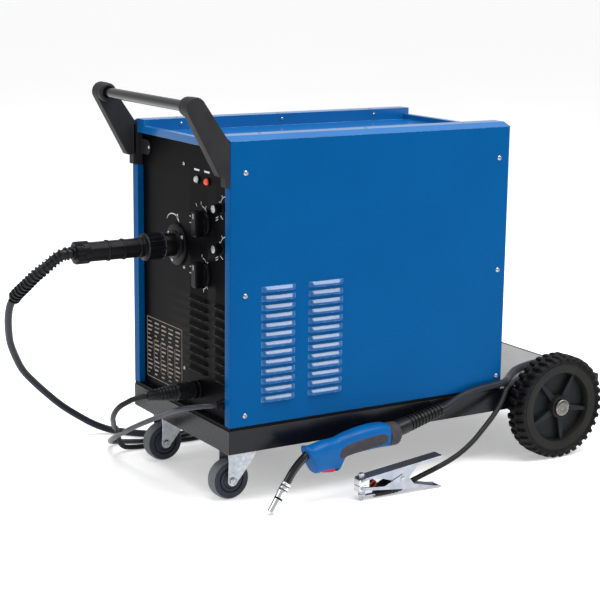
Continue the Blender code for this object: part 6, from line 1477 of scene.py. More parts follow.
# ---- controls ---------------------------------------------------------------------------------
@dataclass
class Controls:
    """Two bar knobs, two small knobs, two lamps and the panel's plain print."""

    bar_knobs: tuple[tuple[str, float, float], ...] = (("coarse", 0.074, 0.483),
                                                       ("fine", 0.074, 0.393))
    small_knobs: tuple[tuple[str, float, float], ...] = (("speed", 0.14, 0.518),
                                                         ("timer", 0.14, 0.449))
    lamps: tuple[tuple[str, float], ...] = (("power", 0.047), ("thermal", 0.084))
    lamp_z: float = 0.556
    dial_shift: float = 0.014      # the bar knobs' printed dials stand left of the knobs
    knob_radius: float = 0.0245
    knob_depth: float = 0.023
    skirt: float = 0.006
    grip: float = 0.017
    small_radius: float = 0.0098
    small_depth: float = 0.02
    plate: tuple[float, float, float, float] = (-0.156, -0.015, 0.161, 0.275)

    def build(self) -> None:
        """Makes every control, then the print."""
        for name, x, z in self.bar_knobs:
            self.bar_knob(name, x, z)
        for name, x, z in self.small_knobs:
            self.small_knob(name, x, z)
        for name, x in self.lamps:
            self.lamp(name, x)
        self.print()

    def bar_knob(self, name: str, x: float, z: float) -> None:
        """Rotary switch knob: chamfered skirt, and a grip bar with round ends and a white line."""
        place, r = (x, SEAT_Y, z), self.knob_radius
        skirt = revolve([(0, 0), (0, r - 0.0026), (0.001, r - 0.0022),
                         (self.skirt - 0.0024, r - 0.0026), (self.skirt - 0.0009, r - 0.0034),
                         (self.skirt - 0.0004, r - 0.005), (self.skirt, 0)],
                        place, FORWARD, 72)
        half, reach = self.grip / 2, r - 0.001
        shoulder = math.acos(half / reach)
        arc = np.linspace(shoulder, math.pi - shoulder, 9)
        top = [(x + reach * math.cos(a), z + reach * math.sin(a)) for a in arc]
        ends = top + [(2 * x - a, 2 * z - b) for a, b in top]
        rim = fillet(ends, 0.004, 4, True) - np.array([x, z])
        rows = np.array([(self.skirt / 2, 1.0), (self.knob_depth - 0.006, 1.0),
                         (self.knob_depth - 0.0035, 0.985), (self.knob_depth - 0.0016, 0.945),
                         (self.knob_depth - 0.0004, 0.885), (self.knob_depth, 0.82)])
        net = np.empty((len(rows), len(rim), 3))
        net[..., ::2] = np.array([x, z]) + rim[None] * rows[:, 1, None, None]
        net[..., 1] = SEAT_Y - rows[:, :1]
        bar = lidded(grid(net, closed_v=True), len(rim))
        body = f"{name}_switch"
        put(f"{name}_grip", skirt + bar, Finishes.BLACK_NYLON, body,
            [f"{name}_knob"], Edge(bevel=0.0011))
        line = np.array([(x, z + 0.009), (x, z + 0.018)])
        put(f"{name}_pointer", self.stroke(line, 0.0016, SEAT_Y - self.knob_depth - 0.0002),
            Finishes.PRINT, body, edge=INK)

    def small_knob(self, name: str, x: float, z: float) -> None:
        """Potentiometer knob: fluted black body, silver cap, and a mark at the lower left."""
        r, depth = self.small_radius, self.small_depth

        def flutes(along: Array, angle: Array) -> Array:
            """Radius less in 20 grooves of the grip, none on the skirt or the face."""
            grip = smoothstep((along - 0.005) / 0.001) * smoothstep((depth - along) / 0.002)
            return -0.0005 * grip * smoothstep((np.cos(20 * angle) - 0.1) / 0.6)

        profile = [(0, 0), (0, r), (0.0036, r), (0.0044, r - 0.0004), (0.0052, r - 0.0014),
                   (0.007, r - 0.0015), (depth - 0.003, r - 0.0019),
                   (depth - 0.001, r - 0.0022), (depth - 0.0004, r - 0.0028),
                   (depth - 0.0004, 0)]
        body = f"{name}_dial"
        put(f"{name}_grip", revolve(profile, (x, SEAT_Y, z), FORWARD, 100, flutes),
            Finishes.BLACK_NYLON, body, [f"{name}_knob"])
        cap = [(depth - 0.0008, r - 0.0031), (depth, r - 0.0033), (depth + 0.0003, r - 0.004),
               (depth + 0.0003, 0)]
        put(f"{name}_cap", revolve(cap, (x, SEAT_Y, z), FORWARD, 40), Finishes.ALUMINIUM,
            body)
        mark = np.array([(x - 0.0018, z - 0.0018), (x - 0.004, z - 0.004)])
        put(f"{name}_mark", self.stroke(mark, 0.001, SEAT_Y - depth - 0.0005),
            Finishes.BLACK_NYLON, body, edge=Edge(wall=0.0001, outward=False))

    def lamp(self, name: str, x: float) -> None:
        """Indicator lamp: black bezel, and a lens with a faceted dome."""
        place = (x, SEAT_Y, self.lamp_z)
        bezel = [(0, 0.005), (0, 0.0072), (0.0008, 0.0073), (0.0014, 0.007), (0.0017, 0.0062),
                 (0.0017, 0.005), (0, 0.005)]
        put(f"{name}_bezel", revolve(bezel, place, FORWARD, 40), Finishes.BLACK_NYLON)

        def facets(along: Array, angle: Array) -> Array:
            """Radius rippled in 12 facets round the dome."""
            return -0.00022 * np.abs(np.cos(6 * angle)) * (along > 0.0015)

        lens = [(0.0004, 0), (0.0004, 0.0061), (0.002, 0.0063), (0.0034, 0.0061),
                (0.0048, 0.0053), (0.0059, 0.0039), (0.0066, 0.002), (0.0068, 0)]
        finish = Finishes.CLEAR_LENS if name == "power" else Finishes.ORANGE_LENS
        put(f"{name}_lens", revolve(lens, place, FORWARD, 48, facets), finish,
            replaces=[f"{name}_lamp"])

    def stroke(self, line: Array, width: float, depth: float) -> Skin:
        """Printed line: a band of the width along points (x, z), facing forward.

        Args:
            line: The points, in order.
            width: The line's width, or one width for each point.
            depth: Where it lies, along Y.

        Returns:
            The flat surface.
        """
        tangent = unit(np.gradient(line, axis=0))
        across = np.stack([-tangent[:, 1], tangent[:, 0]], axis=1)
        half = np.broadcast_to(np.array(width, float), (len(line),))[:, None] / 2
        net = np.empty((len(line), 2, 3))
        net[:, 0, ::2], net[:, 1, ::2] = line - across * half, line + across * half
        net[..., 1] = depth
        return grid(net)

    def arc(self, x: float, z: float, radius: float, start: float, end: float,
            width: float) -> Skin:
        """Printed arc round a knob, from one angle to another in degrees."""
        angle = np.radians(np.linspace(start, end, 28))
        line = np.stack([x + radius * np.cos(angle), z + radius * np.sin(angle)], axis=1)
        return self.stroke(line, width, PRINT_Y)

    def tick(self, x: float, z: float, radius: float, angle: float, length: float) -> Skin:
        """Printed tick that points to a knob, at an angle in degrees."""
        way = np.array([math.cos(math.radians(angle)), math.sin(math.radians(angle))])
        start = np.array([x, z]) + way * radius
        return self.stroke(np.stack([start, start + way * length]), 0.0012, PRINT_Y)

    def print(self) -> None:
        """Dial arcs and ticks, bars above the lamps, the curved arrow and the plate's ruling."""
        (cx, cz), (fx, fz) = ((x - self.dial_shift, z) for _, x, z in self.bar_knobs)
        marks = [self.arc(cx, cz, 0.0285, 80, 25, 0.0014),
                 self.arc(fx, fz, 0.0285, 76, -76, 0.0014)]
        marks += [self.tick(cx, cz, 0.03, a, 0.006) for a in (58, 90, 122)]
        marks += [self.tick(fx, fz, 0.029, a, 0.005) for a in (84, 42, 0, -45, -74)]
        marks += [self.tick(x - 0.005, z + rise, 0.033, 180, 0.0055)
                  for x, z in ((cx, cz), (fx, fz)) for rise in (0.005, -0.0065)]
        for _, x, z in self.small_knobs:
            marks.append(self.arc(x + 0.009, z + 0.001, 0.0195, 90, 205, 0.0013))
            marks.append(self.arc(x + 0.004, z, 0.0195, 225, 255, 0.0013))
            marks += [self.tick(x + 0.009, z + 0.001, 0.021, a, 0.004)
                      for a in (92, 125, 160, 195)]
            marks += [self.stroke(np.array([(x - 0.027, z - 0.025 + a),
                                            (x - 0.018, z - 0.021 + a)]), 0.0011,
                                  PRINT_Y) for a in (0.0, 0.0042)]
        for x in (0.044, 0.081):
            marks.append(self.stroke(np.array([(x - 0.0095, 0.5725), (x + 0.0095, 0.5725)]),
                                     0.0034, PRINT_Y))
        turn = np.radians(np.linspace(165, 40, 30))
        bow = np.stack([-0.047 + 0.026 * np.cos(turn), 0.466 + 0.017 * np.sin(turn)], axis=1)
        marks.append(self.stroke(bow, np.linspace(0.001, 0.0026, 30), PRINT_Y))
        marks.append(self.stroke(np.array([(-0.033, 0.483), (-0.0235, 0.47)]),
                                 np.array([0.008, 0.0002]), PRINT_Y))
        put("panel_print", joined(marks), Finishes.PRINT,
            edge=INK)
        x0, x1, z0, z1 = self.plate
        y = PRINT_Y
        frame_line = [(x0, z0), (x1, z0), (x1, z1), (x0, z1), (x0, z0)]
        rules = [self.stroke(np.array(pair, float), 0.0011, y)
                 for pair in zip(frame_line, frame_line[1:])]
        rows = z0 + (z1 - z0) * np.linspace(0, 1, 15)[1:-1]
        columns = x0 + (x1 - x0) * np.array([0, 0.2, 0.4, 0.6, 0.8, 1.0])
        rules += [self.stroke(np.array([(x, rows[1]), (x, rows[8])]), 0.0009, y)
                  for x in columns[1:-1]]
        for index, z in enumerate(rows):
            for column, (left, right) in enumerate(zip(columns, columns[1:])):
                fill = 0.35 + 0.5 * abs(math.sin(7.0 * index + 3.0 * column))
                rules.append(self.stroke(np.array([
                    (left + 0.003, z), (left + 0.003 + (right - left - 0.006) * fill, z)]),
                    0.0028 if (index + column) % 3 else 0.0018, y))
        put("rating_grid", joined(rules), Finishes.PLATE_PRINT,
            edge=INK)


# ---- sockets and plugs ------------------------------------------------------------------------
@dataclass
class Connections:
    """Torch socket and plug, earth socket and plug, and the mains lead's gland and plug."""

    torch: Pair = (-0.032, 0.43)
    earth: Pair = (0.05, 0.1815)
    mains: Pair = (0.155, 0.18)
    reach: float = 0.0182
    nut_radius: float = 0.024
    nut_length: float = 0.037
    flutes: int = 14
    sleeve: float = 0.0175
    sleeve_length: float = 0.1075
    collar: float = 0.02
    collar_length: float = 0.024

    def build(self) -> None:
        """Makes the fittings from the torch's down to the mains lead's."""
        self.torch_side()
        self.earth_side()
        self.mains_side()

    def torch_side(self) -> None:
        """Flange with its rings and screws, and the plug in its socket."""
        x, z = self.torch
        seat, end = (x, SEAT_Y, z), self.reach + SEAT_Y
        flange = [(0, 0), (0, 0.0385), (0.0016, 0.0385), (0.0026, 0.0381), (0.0034, 0.0372),
                  (0.004, 0.036), (0.0044, 0.0262), (0.006, 0.0256), (0.0068, 0.0246),
                  (0.007, 0.0215), (0.0076, 0.0207), (end - 0.001, 0.0205), (end, 0.0198),
                  (end, 0.011), (end - 0.008, 0.0108), (end - 0.008, 0)]
        put("torch_socket_flange", revolve(flange, seat, FORWARD, 72), Finishes.BLACK_NYLON,
            replaces=["torch_socket"])
        screws = [screw_head((x + 0.0312 * math.cos(a), SEAT_Y - 0.004,
                              z + 0.0312 * math.sin(a)), FORWARD, 0.0036, 0.0016)
                  for a in (2.55, 0.55, -1.95)]
        put("flange_screws", joined(screws), Finishes.SCREW)
        start = (x, -self.reach - GAP, z)
        put("torch_plug_sleeve", self.nut(start) + self.plug_sleeve(start),
            Finishes.PLUG_NYLON, replaces=["torch_plug"])
        put("torch_plug_collar", self.plug_collar(start), Finishes.PLUG_NYLON)
        # Pale rims at the nut's ends: a painted highlight.
        rims = [revolve([(a, self.nut_radius - 0.0012), (a, self.nut_radius + 0.0002),
                         (a + 0.0016, self.nut_radius + 0.0002),
                         (a + 0.0016, self.nut_radius - 0.0012), (a, self.nut_radius - 0.0012)],
                        start, FORWARD, 72) for a in (0.0014, self.nut_length - 0.0032)]
        put("plug_nut_rims", joined(rims), Finishes.NUT_RIM_PAINTED_HIGHLIGHT)

    def nut(self, start: Point) -> Skin:
        """Fluted ring nut: the radius drops 2 mm in round grooves between both end rims."""
        r, long = self.nut_radius, self.nut_length

        def grooves(along: Array, angle: Array) -> Array:
            """Depth of the flutes, fading out at both rims."""
            ends = smoothstep((along - 0.0034) / 0.0016)
            ends = ends * smoothstep((long - 0.0034 - along) / 0.0016)
            return -0.0022 * ends * smoothstep((np.cos(self.flutes * angle) + 0.25) / 0.9)

        place = np.concatenate([[0.0006], np.linspace(0.003, long - 0.003, 19),
                                [long - 0.0006]])
        profile = [(0, 0), (0, r - 0.0006), *[(a, r) for a in place], (long, r - 0.0008),
                   (long, 0)]
        return revolve(profile, start, FORWARD, self.flutes * 12, grooves)

    def plug_sleeve(self, start: Point) -> Skin:
        """Sleeve with three raised ribs and shallow lengthwise flats between them."""
        r, low = self.sleeve, self.nut_length
        high = low + self.sleeve_length

        def flats(along: Array, angle: Array) -> Array:
            """Eight flats, 0.8 mm deep, that fade out at the ribs."""
            return -0.0008 * np.abs(np.cos(4 * angle)) * (along > low)

        profile = [(low - 0.002, 0), (low - 0.002, r), (low + 0.001, r)]
        for place in (0.0455, 0.077, 0.1065):
            profile += [(place - 0.0026, r), (place - 0.0018, r + 0.0014), (place, r + 0.0018),
                        (place + 0.0018, r + 0.0014), (place + 0.0026, r)]
        profile += [(high - 0.0004, r), (high, r - 0.001), (high, 0)]
        return revolve(profile, start, FORWARD, 64, flats)

    def plug_collar(self, start: Point) -> Skin:
        """Rear collar with eight notches, and the stub that the bend guard comes out of."""
        low = self.nut_length + self.sleeve_length
        high, r = low + self.collar_length, self.collar

        def notches(along: Array, angle: Array) -> Array:
            """Notches 1.6 mm deep in the collar's rear half."""
            rear = smoothstep((along - low - 0.01) / 0.0012) * (along < high - 0.0004)
            return -0.0016 * rear * smoothstep((np.cos(8 * angle) - 0.35) / 0.25)

        profile = [(low - 0.001, 0), (low - 0.001, r - 0.0012), (low, r)]
        profile += [(low + a, r) for a in (0.002, 0.0095, 0.0108, 0.012, 0.016, 0.02)]
        profile += [(high - 0.001, r), (high, r - 0.0018), (high, 0.012),
                    (high + 0.002, 0.0118), (high + 0.004, 0.0114), (high + 0.004, 0)]
        return revolve(profile, start, FORWARD, 96, notches)

    def earth_side(self) -> None:
        """Socket collar, and the plug's ribbed boot."""
        x, z = self.earth
        seat = (x, SEAT_Y, z)
        collar = [(0, 0), (0, 0.0165), (0.004, 0.0165), (0.0046, 0.0158), (0.01, 0.0158),
                  (0.0106, 0.0165), (0.0144, 0.0165), (0.0154, 0.0157), (0.0154, 0.008),
                  (0.01, 0.007), (0.01, 0)]
        put("earth_socket_collar", revolve(collar, seat, FORWARD, 48), Finishes.BLACK_NYLON,
            replaces=["earth_socket"])

        def grip(along: Array, angle: Array) -> Array:
            """Six shallow finger flats on the boot's front."""
            front = smoothstep((along - 0.003) / 0.002) * smoothstep((0.029 - along) / 0.002)
            return -0.0009 * front * smoothstep((np.cos(6 * angle) + 0.1) / 0.8)

        profile = [(0, 0), (0, 0.0142), (0.0008, 0.015)]
        profile += [(a, 0.015) for a in np.linspace(0.003, 0.029, 10)]
        profile += [(0.03, 0.0144)]
        for index, place in enumerate(np.linspace(0.033, 0.064, 6)):
            r = 0.0146 - 0.0008 * index
            profile += [(place - 0.0006, r - 0.0016), (place + 0.0003, r), (place + 0.0028, r),
                        (place + 0.0036, r - 0.0016)]
        profile += [(0.07, 0.009), (0.087, 0.0078), (0.087, 0.005), (0.0868, 0)]
        put("earth_plug_boot", revolve(profile, (x, -0.0043, z), FORWARD, 48, grip),
            Finishes.BOOT_RUBBER, replaces=["earth_plug"])

    def mains_side(self) -> None:
        """Gland nut with its tapered sleeve, and the moulded mains plug's finish."""
        x, z = self.mains

        def flats(along: Array, angle: Array) -> Array:
            """Six flats on the gland's nut."""
            return hexagon(0.0098 * 0.9, angle) * ((along > 0.0002) & (along < 0.0076))

        profile = [(0, 0), (0, 0.0098), (0.0004, 0.0104), (0.007, 0.0104), (0.0078, 0.0092),
                   (0.009, 0.0088), (0.012, 0.0078), (0.013, 0.0082), (0.0145, 0.0074),
                   (0.0155, 0.0077), (0.017, 0.0068), (0.018, 0.007), (0.02, 0.006),
                   (0.0217, 0.0058), (0.0217, 0)]
        put("mains_gland_body", revolve(profile, (x, SEAT_Y, z), FORWARD, 48, flats),
            Finishes.BLACK_NYLON, replaces=["mains_gland"])
        dress(Finishes.BLACK_NYLON, "mains_plug")


# ---- torch ------------------------------------------------------------------------------------
@dataclass
class Torch:
    """Torch lying on its trigger side: nozzle, neck, handle, trigger, ring and ribbed boot."""

    line: TorchLine
    squareness: float = 0.75
    neck_radius: float = 0.00725
    ring_radius: float = 0.0215
    ring_length: float = 0.0277
    ring_z: float = 0.0985
    slot: Spot = (0.0965, 0.136, 0.07)
    inlay: tuple = ((0.131, 0.076), (0.244, 0.088), (0.244, 0.109), (0.139, 0.099))
    neck: tuple = ((0.031, 0.0505), (0.037, 0.059), (0.0435, 0.0672), (0.0504, 0.0743),
                   (0.058, 0.0812), (0.0667, 0.088), (0.079, 0.0965))
    stations: tuple = (
        (0.085, 0.066, 0.067, 0.108, 0.012), (0.0895, 0.058, 0.069, 0.1105, 0.0155),
        (0.097, 0.057, 0.082, 0.1088, 0.017), (0.115, 0.056, 0.1085, 0.1126, 0.017),
        (0.134, 0.0535, 0.126, 0.113, 0.0165), (0.1405, 0.0535, 0.137, 0.114, 0.016),
        (0.1455, 0.062, 0.145, 0.1158, 0.016), (0.152, 0.073, 0.154, 0.1178, 0.016),
        (0.165, 0.0768, 0.167, 0.12, 0.0165), (0.19, 0.0786, 0.19, 0.1231, 0.0175),
        (0.22, 0.0792, 0.22, 0.1245, 0.0185), (0.24, 0.0786, 0.24, 0.1232, 0.019),
        (0.251, 0.078, 0.251, 0.1205, 0.019))

    def build(self) -> None:
        """Makes the torch from its nozzle to its boot."""
        table = self.line.matrix()
        put("torch_shell", self.handle().moved(table), Finishes.TORCH_BLUE,
            replaces=["torch_handle"], edge=Edge(crease=50, pocket=self.pocket()))
        put("torch_grip_inlay", (self.flank(-1) + self.flank(1)).moved(table),
            Finishes.SOFT_GRIP, edge=Edge(crease=50, outward=False))
        lever = [(0.0978, 0.0592), (0.108, 0.0562), (0.119, 0.0546), (0.13, 0.0532),
                 (0.1332, 0.056), (0.1334, 0.0636), (0.099, 0.0658)]
        trigger = extrude(fillet(lever, 0.002, 3, True), Axis.Y, -0.0059, 0.0059)
        put("trigger_lever", trigger.moved(table), Finishes.TORCH_RED, "trigger",
            ["torch_trigger"], Edge(bevel=0.0014))
        self.front()
        self.rear()

    def pocket(self) -> Skin:
        """T-shaped prism that cuts the trigger's slot and lifts the brim beside it."""
        front, rear, ceiling = self.slot
        half, wide, low, brim = 0.0063, 0.03, 0.03, 0.0622
        outline = [(-wide, low), (wide, low), (wide, brim), (half, brim), (half, ceiling),
                   (-half, ceiling), (-half, brim), (-wide, brim)]
        return extrude(outline, Axis.X, front, rear).moved(self.line.matrix())

    def rings(self, count: int) -> Array:
        """Smooth rows of bottom (along, height), top (along, height) and half width."""
        rows = np.array(self.stations)
        place = np.linspace(0, len(rows) - 1, count)
        low = np.clip(place.astype(int), 0, len(rows) - 2)
        t = (place - low)[:, None]
        padded = np.vstack([2 * rows[0] - rows[1], rows, 2 * rows[-1] - rows[-2]])
        a, b, c, d = (padded[low + i] for i in range(4))
        cubic = 0.5 * (2 * b + (c - a) * t + (2 * a - 5 * b + 4 * c - d) * t ** 2
                       + (3 * b - a - 3 * c + d) * t ** 3)
        return cubic

    def handle(self) -> Skin:
        """Handle: rounded sections between the bottom and top lines, carried along them.

        A section's point at angle a is its middle + rise * sign(sin a) |sin a|^0.75, and
        half width * sign(cos a) |cos a|^0.75 across. Both ends shrink over their last rings.

        Returns:
            The closed surface.
        """
        rows = self.rings(84)
        rows = np.vstack([rows[:1], rows[:1], rows, rows[-1:], rows[-1:]])
        size = np.concatenate([[0.0, 0.8], np.full(len(rows) - 4, 1.0), [0.93, 0.0]])[:, None]
        size[2] = 0.96
        angle = (np.linspace(0, math.tau, 48, endpoint=False) + math.tau / 96)[None, :]
        across = squared(np.cos(angle), self.squareness) * size
        up = squared(np.sin(angle), self.squareness) * size
        middle = (rows[:, None, 0:2] + rows[:, None, 2:4]) / 2
        rise = (rows[:, None, 2:4] - rows[:, None, 0:2]) / 2
        flat = middle + rise * up[..., None]
        points = np.stack([flat[..., 0], rows[:, 4:5] * across, flat[..., 1]], axis=-1)
        return grid(points, closed_v=True)

    def flank(self, side: int) -> Skin:
        """Soft inlay on a flank: a four-sided field laid on the handle, rounded at its rim.

        Each point (x, z) of the field takes the handle's half width there: half width *
        (1 - |u|^(2 / 0.75))^0.375, where u is its height share between the section's middle
        and its top. It stands 0.7 mm proud, and its rim sinks 0.6 mm in.

        Args:
            side: 1 for the +Y flank, -1 for the other.

        Returns:
            The surface, whose rim is inside the handle.
        """
        a, b, c, d = (np.array(p) for p in self.inlay)
        u, v = np.linspace(0, 1, 60)[:, None], np.linspace(0, 1, 16)[None, :]
        rim = np.minimum(np.minimum(u, 1 - u) * 30, np.minimum(v, 1 - v) * 6)
        ends = np.clip(np.minimum(u, 1 - u) / 0.14, 0, 1)
        v = 0.5 + (v - 0.5) * np.sqrt(np.maximum(1 - (1 - ends) ** 2, 0.03))
        bow = 0.0022 * np.sin(math.pi * u)
        x = (1 - u) * ((1 - v) * a[0] + v * d[0]) + u * ((1 - v) * b[0] + v * c[0])
        z = (1 - u) * ((1 - v) * a[1] + v * d[1]) + u * ((1 - v) * b[1] + v * c[1])
        z = z + bow * (2 * v - 0.6)
        rows = self.rings(200)
        middle = (rows[:, :2] + rows[:, 2:4]) / 2
        rise = np.interp(x, middle[:, 0], (rows[:, 3] - rows[:, 1]) / 2)
        share = np.clip(np.abs(z - np.interp(x, middle[:, 0], middle[:, 1])) / rise, 0, 0.999)
        width = np.interp(x, middle[:, 0], rows[:, 4])
        skin = width * (1 - share ** (2 / self.squareness)) ** (self.squareness / 2)
        proud = 0.0007 * smoothstep(rim) - 0.0006 * (1 - smoothstep(rim * 4))
        points = np.stack([x, side * (skin + proud), z], axis=-1)
        return grid(points if side < 0 else points[::-1])

    def front(self) -> None:
        """Swan neck, and the nozzle with its bands."""
        table = self.line.matrix()
        top = np.array([0.031, 0.0, 0.0505])
        tip = np.array([-0.002, 0.0, 0.0044])
        line = unit(top - tip)
        path = path_through([top + line * 0.0004, *[(a, 0.0, b) for a, b in self.neck[1:]]],
                            0.002)
        put("torch_swan_neck", pipe(path, self.neck_radius, 28).moved(table),
            Finishes.TUBE_GLOSS, replaces=["torch_neck"])
        long = float(np.linalg.norm(top - tip))
        profile = [(long * 0.55, 0), (long * 0.55, 0.0056), (0.001, 0.0058), (0, 0.0062),
                   (0.0003, 0.007), (long * 0.52, 0.0074), (long * 0.6, 0.0078),
                   (long * 0.68, 0.0085), (long * 0.72, 0.0087), (long * 0.75, 0.0082),
                   (long * 0.79, 0.0082), (long * 0.81, 0.0087), (long * 0.86, 0.0087),
                   (long * 0.88, 0.0082), (long * 0.92, 0.0082), (long * 0.94, 0.0087),
                   (long - 0.0004, 0.0086), (long, 0.008), (long, 0)]
        put("torch_nozzle_cup", revolve(profile, tip, line, 48).moved(table), Finishes.CHROME,
            replaces=["torch_nozzle"])
        bands = [revolve([(long * a, 0.007), (long * a, 0.0084), (long * b, 0.0084),
                          (long * b, 0.007), (long * a, 0.007)], tip, line, 40)
                 for a, b in ((0.755, 0.785), (0.885, 0.915))]
        bands.append(revolve([(long * 0.44, 0.006), (long * 0.44, 0.0075),
                              (long * 0.5, 0.0076), (long * 0.5, 0.006),
                              (long * 0.44, 0.006)], tip, line, 40))
        put("nozzle_bands", joined(bands).moved(table), Finishes.BLACK_NYLON)

    def rear(self) -> None:
        """Knurled ring behind the handle, and the boot: smooth first, then ten ribs."""
        table = self.line.matrix()
        r, long = self.ring_radius, self.ring_length

        def knurl(along: Array, angle: Array) -> Array:
            """Forty fine ribs along the ring's straight part."""
            band = smoothstep((along - 0.002) / 0.001) * smoothstep((long - 0.008 - along) / 0.001)
            return -0.0006 * band * smoothstep((np.cos(40 * angle) + 0.2) / 0.8)

        profile = [(0, 0), (0, r - 0.001), (0.0008, r), (0.0022, r), (0.0034, r),
                   (long - 0.0095, r), (long - 0.008, r), (long - 0.006, r - 0.0004),
                   (long - 0.0014, r - 0.0044), (long, r - 0.0056), (long, 0)]
        put("torch_knurled_ring", revolve(profile, (0.2513, 0, self.ring_z), (1, 0, 0), 160,
                                          knurl).moved(table),
            Finishes.GUARD_PLASTIC)
        start, end = np.array(self.line.boot_start), np.array(self.line.boot_end)
        full = float(np.linalg.norm(end - start))
        profile = [(-0.006, 0), (-0.006, 0.0152), (0.024, 0.0152), (0.03, 0.0148)]
        pitch = (full - 0.03) / 10
        for index in range(10):
            radius = 0.015 - 0.003 * (index + 1) / 10
            place = 0.03 + index * pitch
            profile += [(place + 0.16 * pitch, radius - 0.002), (place + 0.34 * pitch,
                        radius - 0.002), (place + 0.46 * pitch, radius),
                        (place + 0.88 * pitch, radius)]
        profile += [(full - 0.0006, 0.0102), (full, 0.0096), (full, 0)]
        put("torch_boot_body", revolve(profile, start, end - start, 48).moved(table),
            Finishes.BOOT_RUBBER, replaces=["torch_boot"])


# ---- earth clamp ------------------------------------------------------------------------------
@dataclass
class EarthClamp:
    """Sprung earth clamp: pressed jaws, bolts, chrome blocks, copper strap, spring and boot."""

    sleeve = ((0.2565, 0.252, 0.0075), (0.2565, 0.28, 0.0075), (0.2565, 0.304, 0.0092),
              (0.2565, 0.324, 0.0152))
    middle: float = 0.2565
    pivot_y: float = 0.305
    pivot_z: float = 0.0302
    half: float = 0.0125
    bolt_y: float = 0.225
    strap_half: float = 0.0075
    strap_thick: float = 0.0028

    def build(self) -> None:
        """Dresses the pressed jaws and adds what is screwed to them."""
        dress(Finishes.CLAMP_PLATE, "clamp_lower_jaw", "clamp_upper_jaw")
        boot = path_through(self.sleeve, 0.0015)
        share = np.linspace(0, 1, len(boot))
        ribs = 0.006 + 0.0004 * np.sign(np.sin(share * 60)) * (share > 0.45)
        put("clamp_lead_sleeve", pipe(boot[:-1], ribs[:-1], 24), Finishes.BOOT_RUBBER)
        x = self.middle
        head = hex_head((x, self.bolt_y, 0.0462), (0, 0, 1), 0.0056, 0.0036)
        washer = revolve([(-0.0006, 0), (-0.0006, 0.0064), (0.0004, 0.0064), (0.0004, 0)],
                         (x, self.bolt_y, 0.0461), (0, 0, 1), 32)
        put("clamp_upper_bolt", head + washer, Finishes.SCREW, "clamp_arm")
        low = hex_head((x, self.bolt_y, 0.0115), (0, 0, -1), 0.0058, 0.004)
        put("clamp_lower_bolt", low, Finishes.SCREW)
        upper = block((x - 0.0093, 0.2157, 0.029), (x + 0.0093, 0.2363, 0.0398))
        lower = block((x - 0.0093, 0.2157, 0.0192), (x + 0.0093, 0.2363, 0.0285))
        put("clamp_upper_block", upper, Finishes.CHROME, "clamp_arm",
            edge=Edge(bevel=0.0009))
        put("clamp_lower_block", lower, Finishes.CHROME, edge=Edge(bevel=0.0009))
        rivets = [revolve([(0, 0.0048), (0.0003, 0.005), (0.0007, 0.0044), (0.001, 0.0024),
                           (0.0011, 0)], (x + side * (self.half + 0.0001), self.pivot_y,
                                          self.pivot_z), (side, 0, 0), 28) for side in (-1, 1)]
        put("clamp_pivot_heads", joined(rivets), Finishes.SCREW)
        self.strap()
        self.spring()

    def strap(self) -> None:
        """Woven strap: a flat band along a loop from the lower jaw's bolt to its boot."""
        path = path_through([(self.middle, 0.235, 0.0262), (self.middle, 0.24, 0.03),
                             (self.middle, 0.245, 0.0335), (self.middle, 0.25, 0.033),
                             (self.middle, 0.252, 0.029), (self.middle, 0.249, 0.0245),
                             (self.middle, 0.242, 0.0215), (self.middle, 0.235, 0.0205)],
                            0.0008)
        tangent = unit(np.gradient(path, axis=0))
        side = np.array([1.0, 0, 0])
        up = np.cross(side, tangent)
        angle = np.linspace(0, math.tau, 20, endpoint=False)
        across = squared(np.cos(angle), 0.6) * self.strap_half
        rise = squared(np.sin(angle), 0.6) * self.strap_thick / 2
        points = (path[:, None] + across[None, :, None] * side
                  + rise[None, :, None] * up[:, None])
        put("copper_strap", lidded(grid(points, closed_v=True), len(angle)), Finishes.BRAID)

    def spring(self) -> None:
        """Five curls of wire round the pivot with a leg at each end."""
        half, radius = 5 * 0.0024 / 2, 0.0045
        turn = np.linspace(0, math.tau * 5, 161)
        coil = np.stack([self.middle - half + 2 * half * turn / turn[-1],
                         self.pivot_y + radius * np.cos(turn - math.pi / 2),
                         self.pivot_z + radius * np.sin(turn - math.pi / 2)], axis=1)
        leg = np.array([0, 1.0, 0])
        path = np.vstack([coil[0] - leg * 0.01, coil[0] - leg * 0.004, coil,
                          coil[-1] + leg * 0.004, coil[-1] + leg * 0.008])
        put("clamp_coil_spring", pipe(path, 0.0008, 10), Finishes.SPRING,
            replaces=["clamp_spring"])


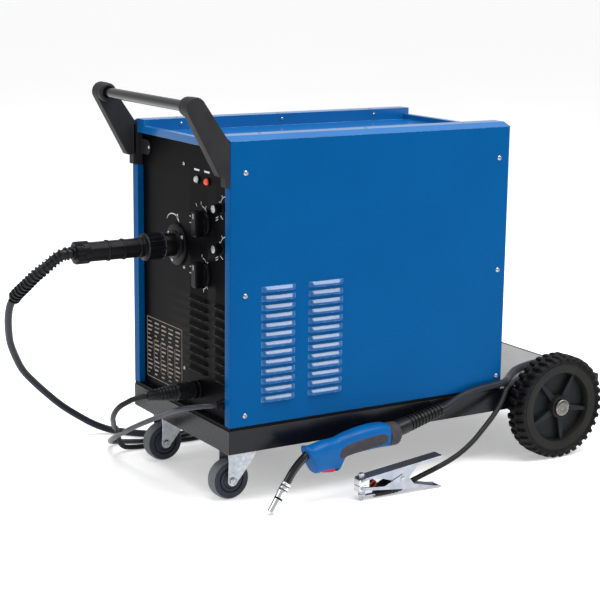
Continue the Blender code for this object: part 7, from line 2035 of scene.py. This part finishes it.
# ---- cart and inside --------------------------------------------------------------------------
@dataclass
class Inside:
    """What works inside the cabinet: drive, spool, fan, transformer, rectifier and board."""

    spool_y: float = 0.4
    spool_z: float = 0.36
    spool_in: float = -0.065
    spool_width: float = 0.055
    spool_radius: float = 0.1
    platform: tuple = ((-0.184, 0.586, 0.1387), (0.184, 0.82, 0.1389))

    def build(self) -> None:
        """Dresses the nodes, and makes the wound spool."""
        dress(Finishes.CART_ENAMEL, "cart_tray")
        # Pale sheet on the platform's top: a painted reflection.
        put("platform_painted_reflection_sheet", block(*self.platform), Finishes.PLATFORM_PAINTED_REFLECTION)
        dress(Finishes.STEEL, "wire_feeder", "drive_roll", "pressure_roll")
        dress(Finishes.ZINC, "divider", "pressure_arm")
        dress(Finishes.LAMINATIONS, "transformer")
        dress(Finishes.ALUMINIUM, "rectifier")
        dress(Finishes.BLACK_NYLON, "fan_housing", "fan_rotor", "spool_hub")
        dress(Finishes.BOARD, "control_board")
        dress(Finishes.BRASS, "gas_valve")
        self.spool()

    def spool(self) -> None:
        """Black flanges with stepped faces, and layers of wire between them."""
        place, r = (self.spool_in, self.spool_y, self.spool_z), self.spool_radius
        wide = self.spool_width
        flange = [(0, 0.0262), (0, 0.038), (0.001, 0.04), (0.001, r - 0.006), (0, r - 0.004),
                  (0, r - 0.0008), (0.0008, r), (0.0024, r), (0.003, r - 0.001),
                  (0.003, 0.05), (wide - 0.003, 0.05), (wide - 0.003, r - 0.001),
                  (wide - 0.0024, r), (wide - 0.0008, r), (wide, r - 0.0008),
                  (wide, r - 0.004), (wide - 0.001, r - 0.006), (wide - 0.001, 0.04),
                  (wide, 0.038), (wide, 0.0262), (0, 0.0262)]
        put("spool_flanges", revolve(flange, place, (-1, 0, 0), 72), Finishes.BLACK_NYLON,
            "spool", ["wire_spool"])
        turns = np.linspace(0.0032, wide - 0.0032, 150)
        ripple = r - 0.0155 + 0.0005 * np.abs(np.sin(np.arange(150) * math.pi / 3))
        wound = [(0.0032, 0.0505), *zip(turns, ripple), (wide - 0.0032, 0.0505),
                 (0.0032, 0.0505)]
        put("wound_wire", revolve(wound, place, (-1, 0, 0), 64), Finishes.FILLER_WIRE, "spool")


def main() -> None:
    """Builds the scene piece by piece."""
    logging.basicConfig(level=logging.INFO, format="%(name)s %(message)s")
    Studio().build()
    line = TorchLine()
    Connections().build()
    EarthClamp().build()
    Torch(line).build()
    Leads(line).build()
    Cabinet().build()
    Controls().build()
    Handle().build()
    Wheels().build()
    Casters().build()
    Inside().build()


if __name__ == "__main__":
    main()
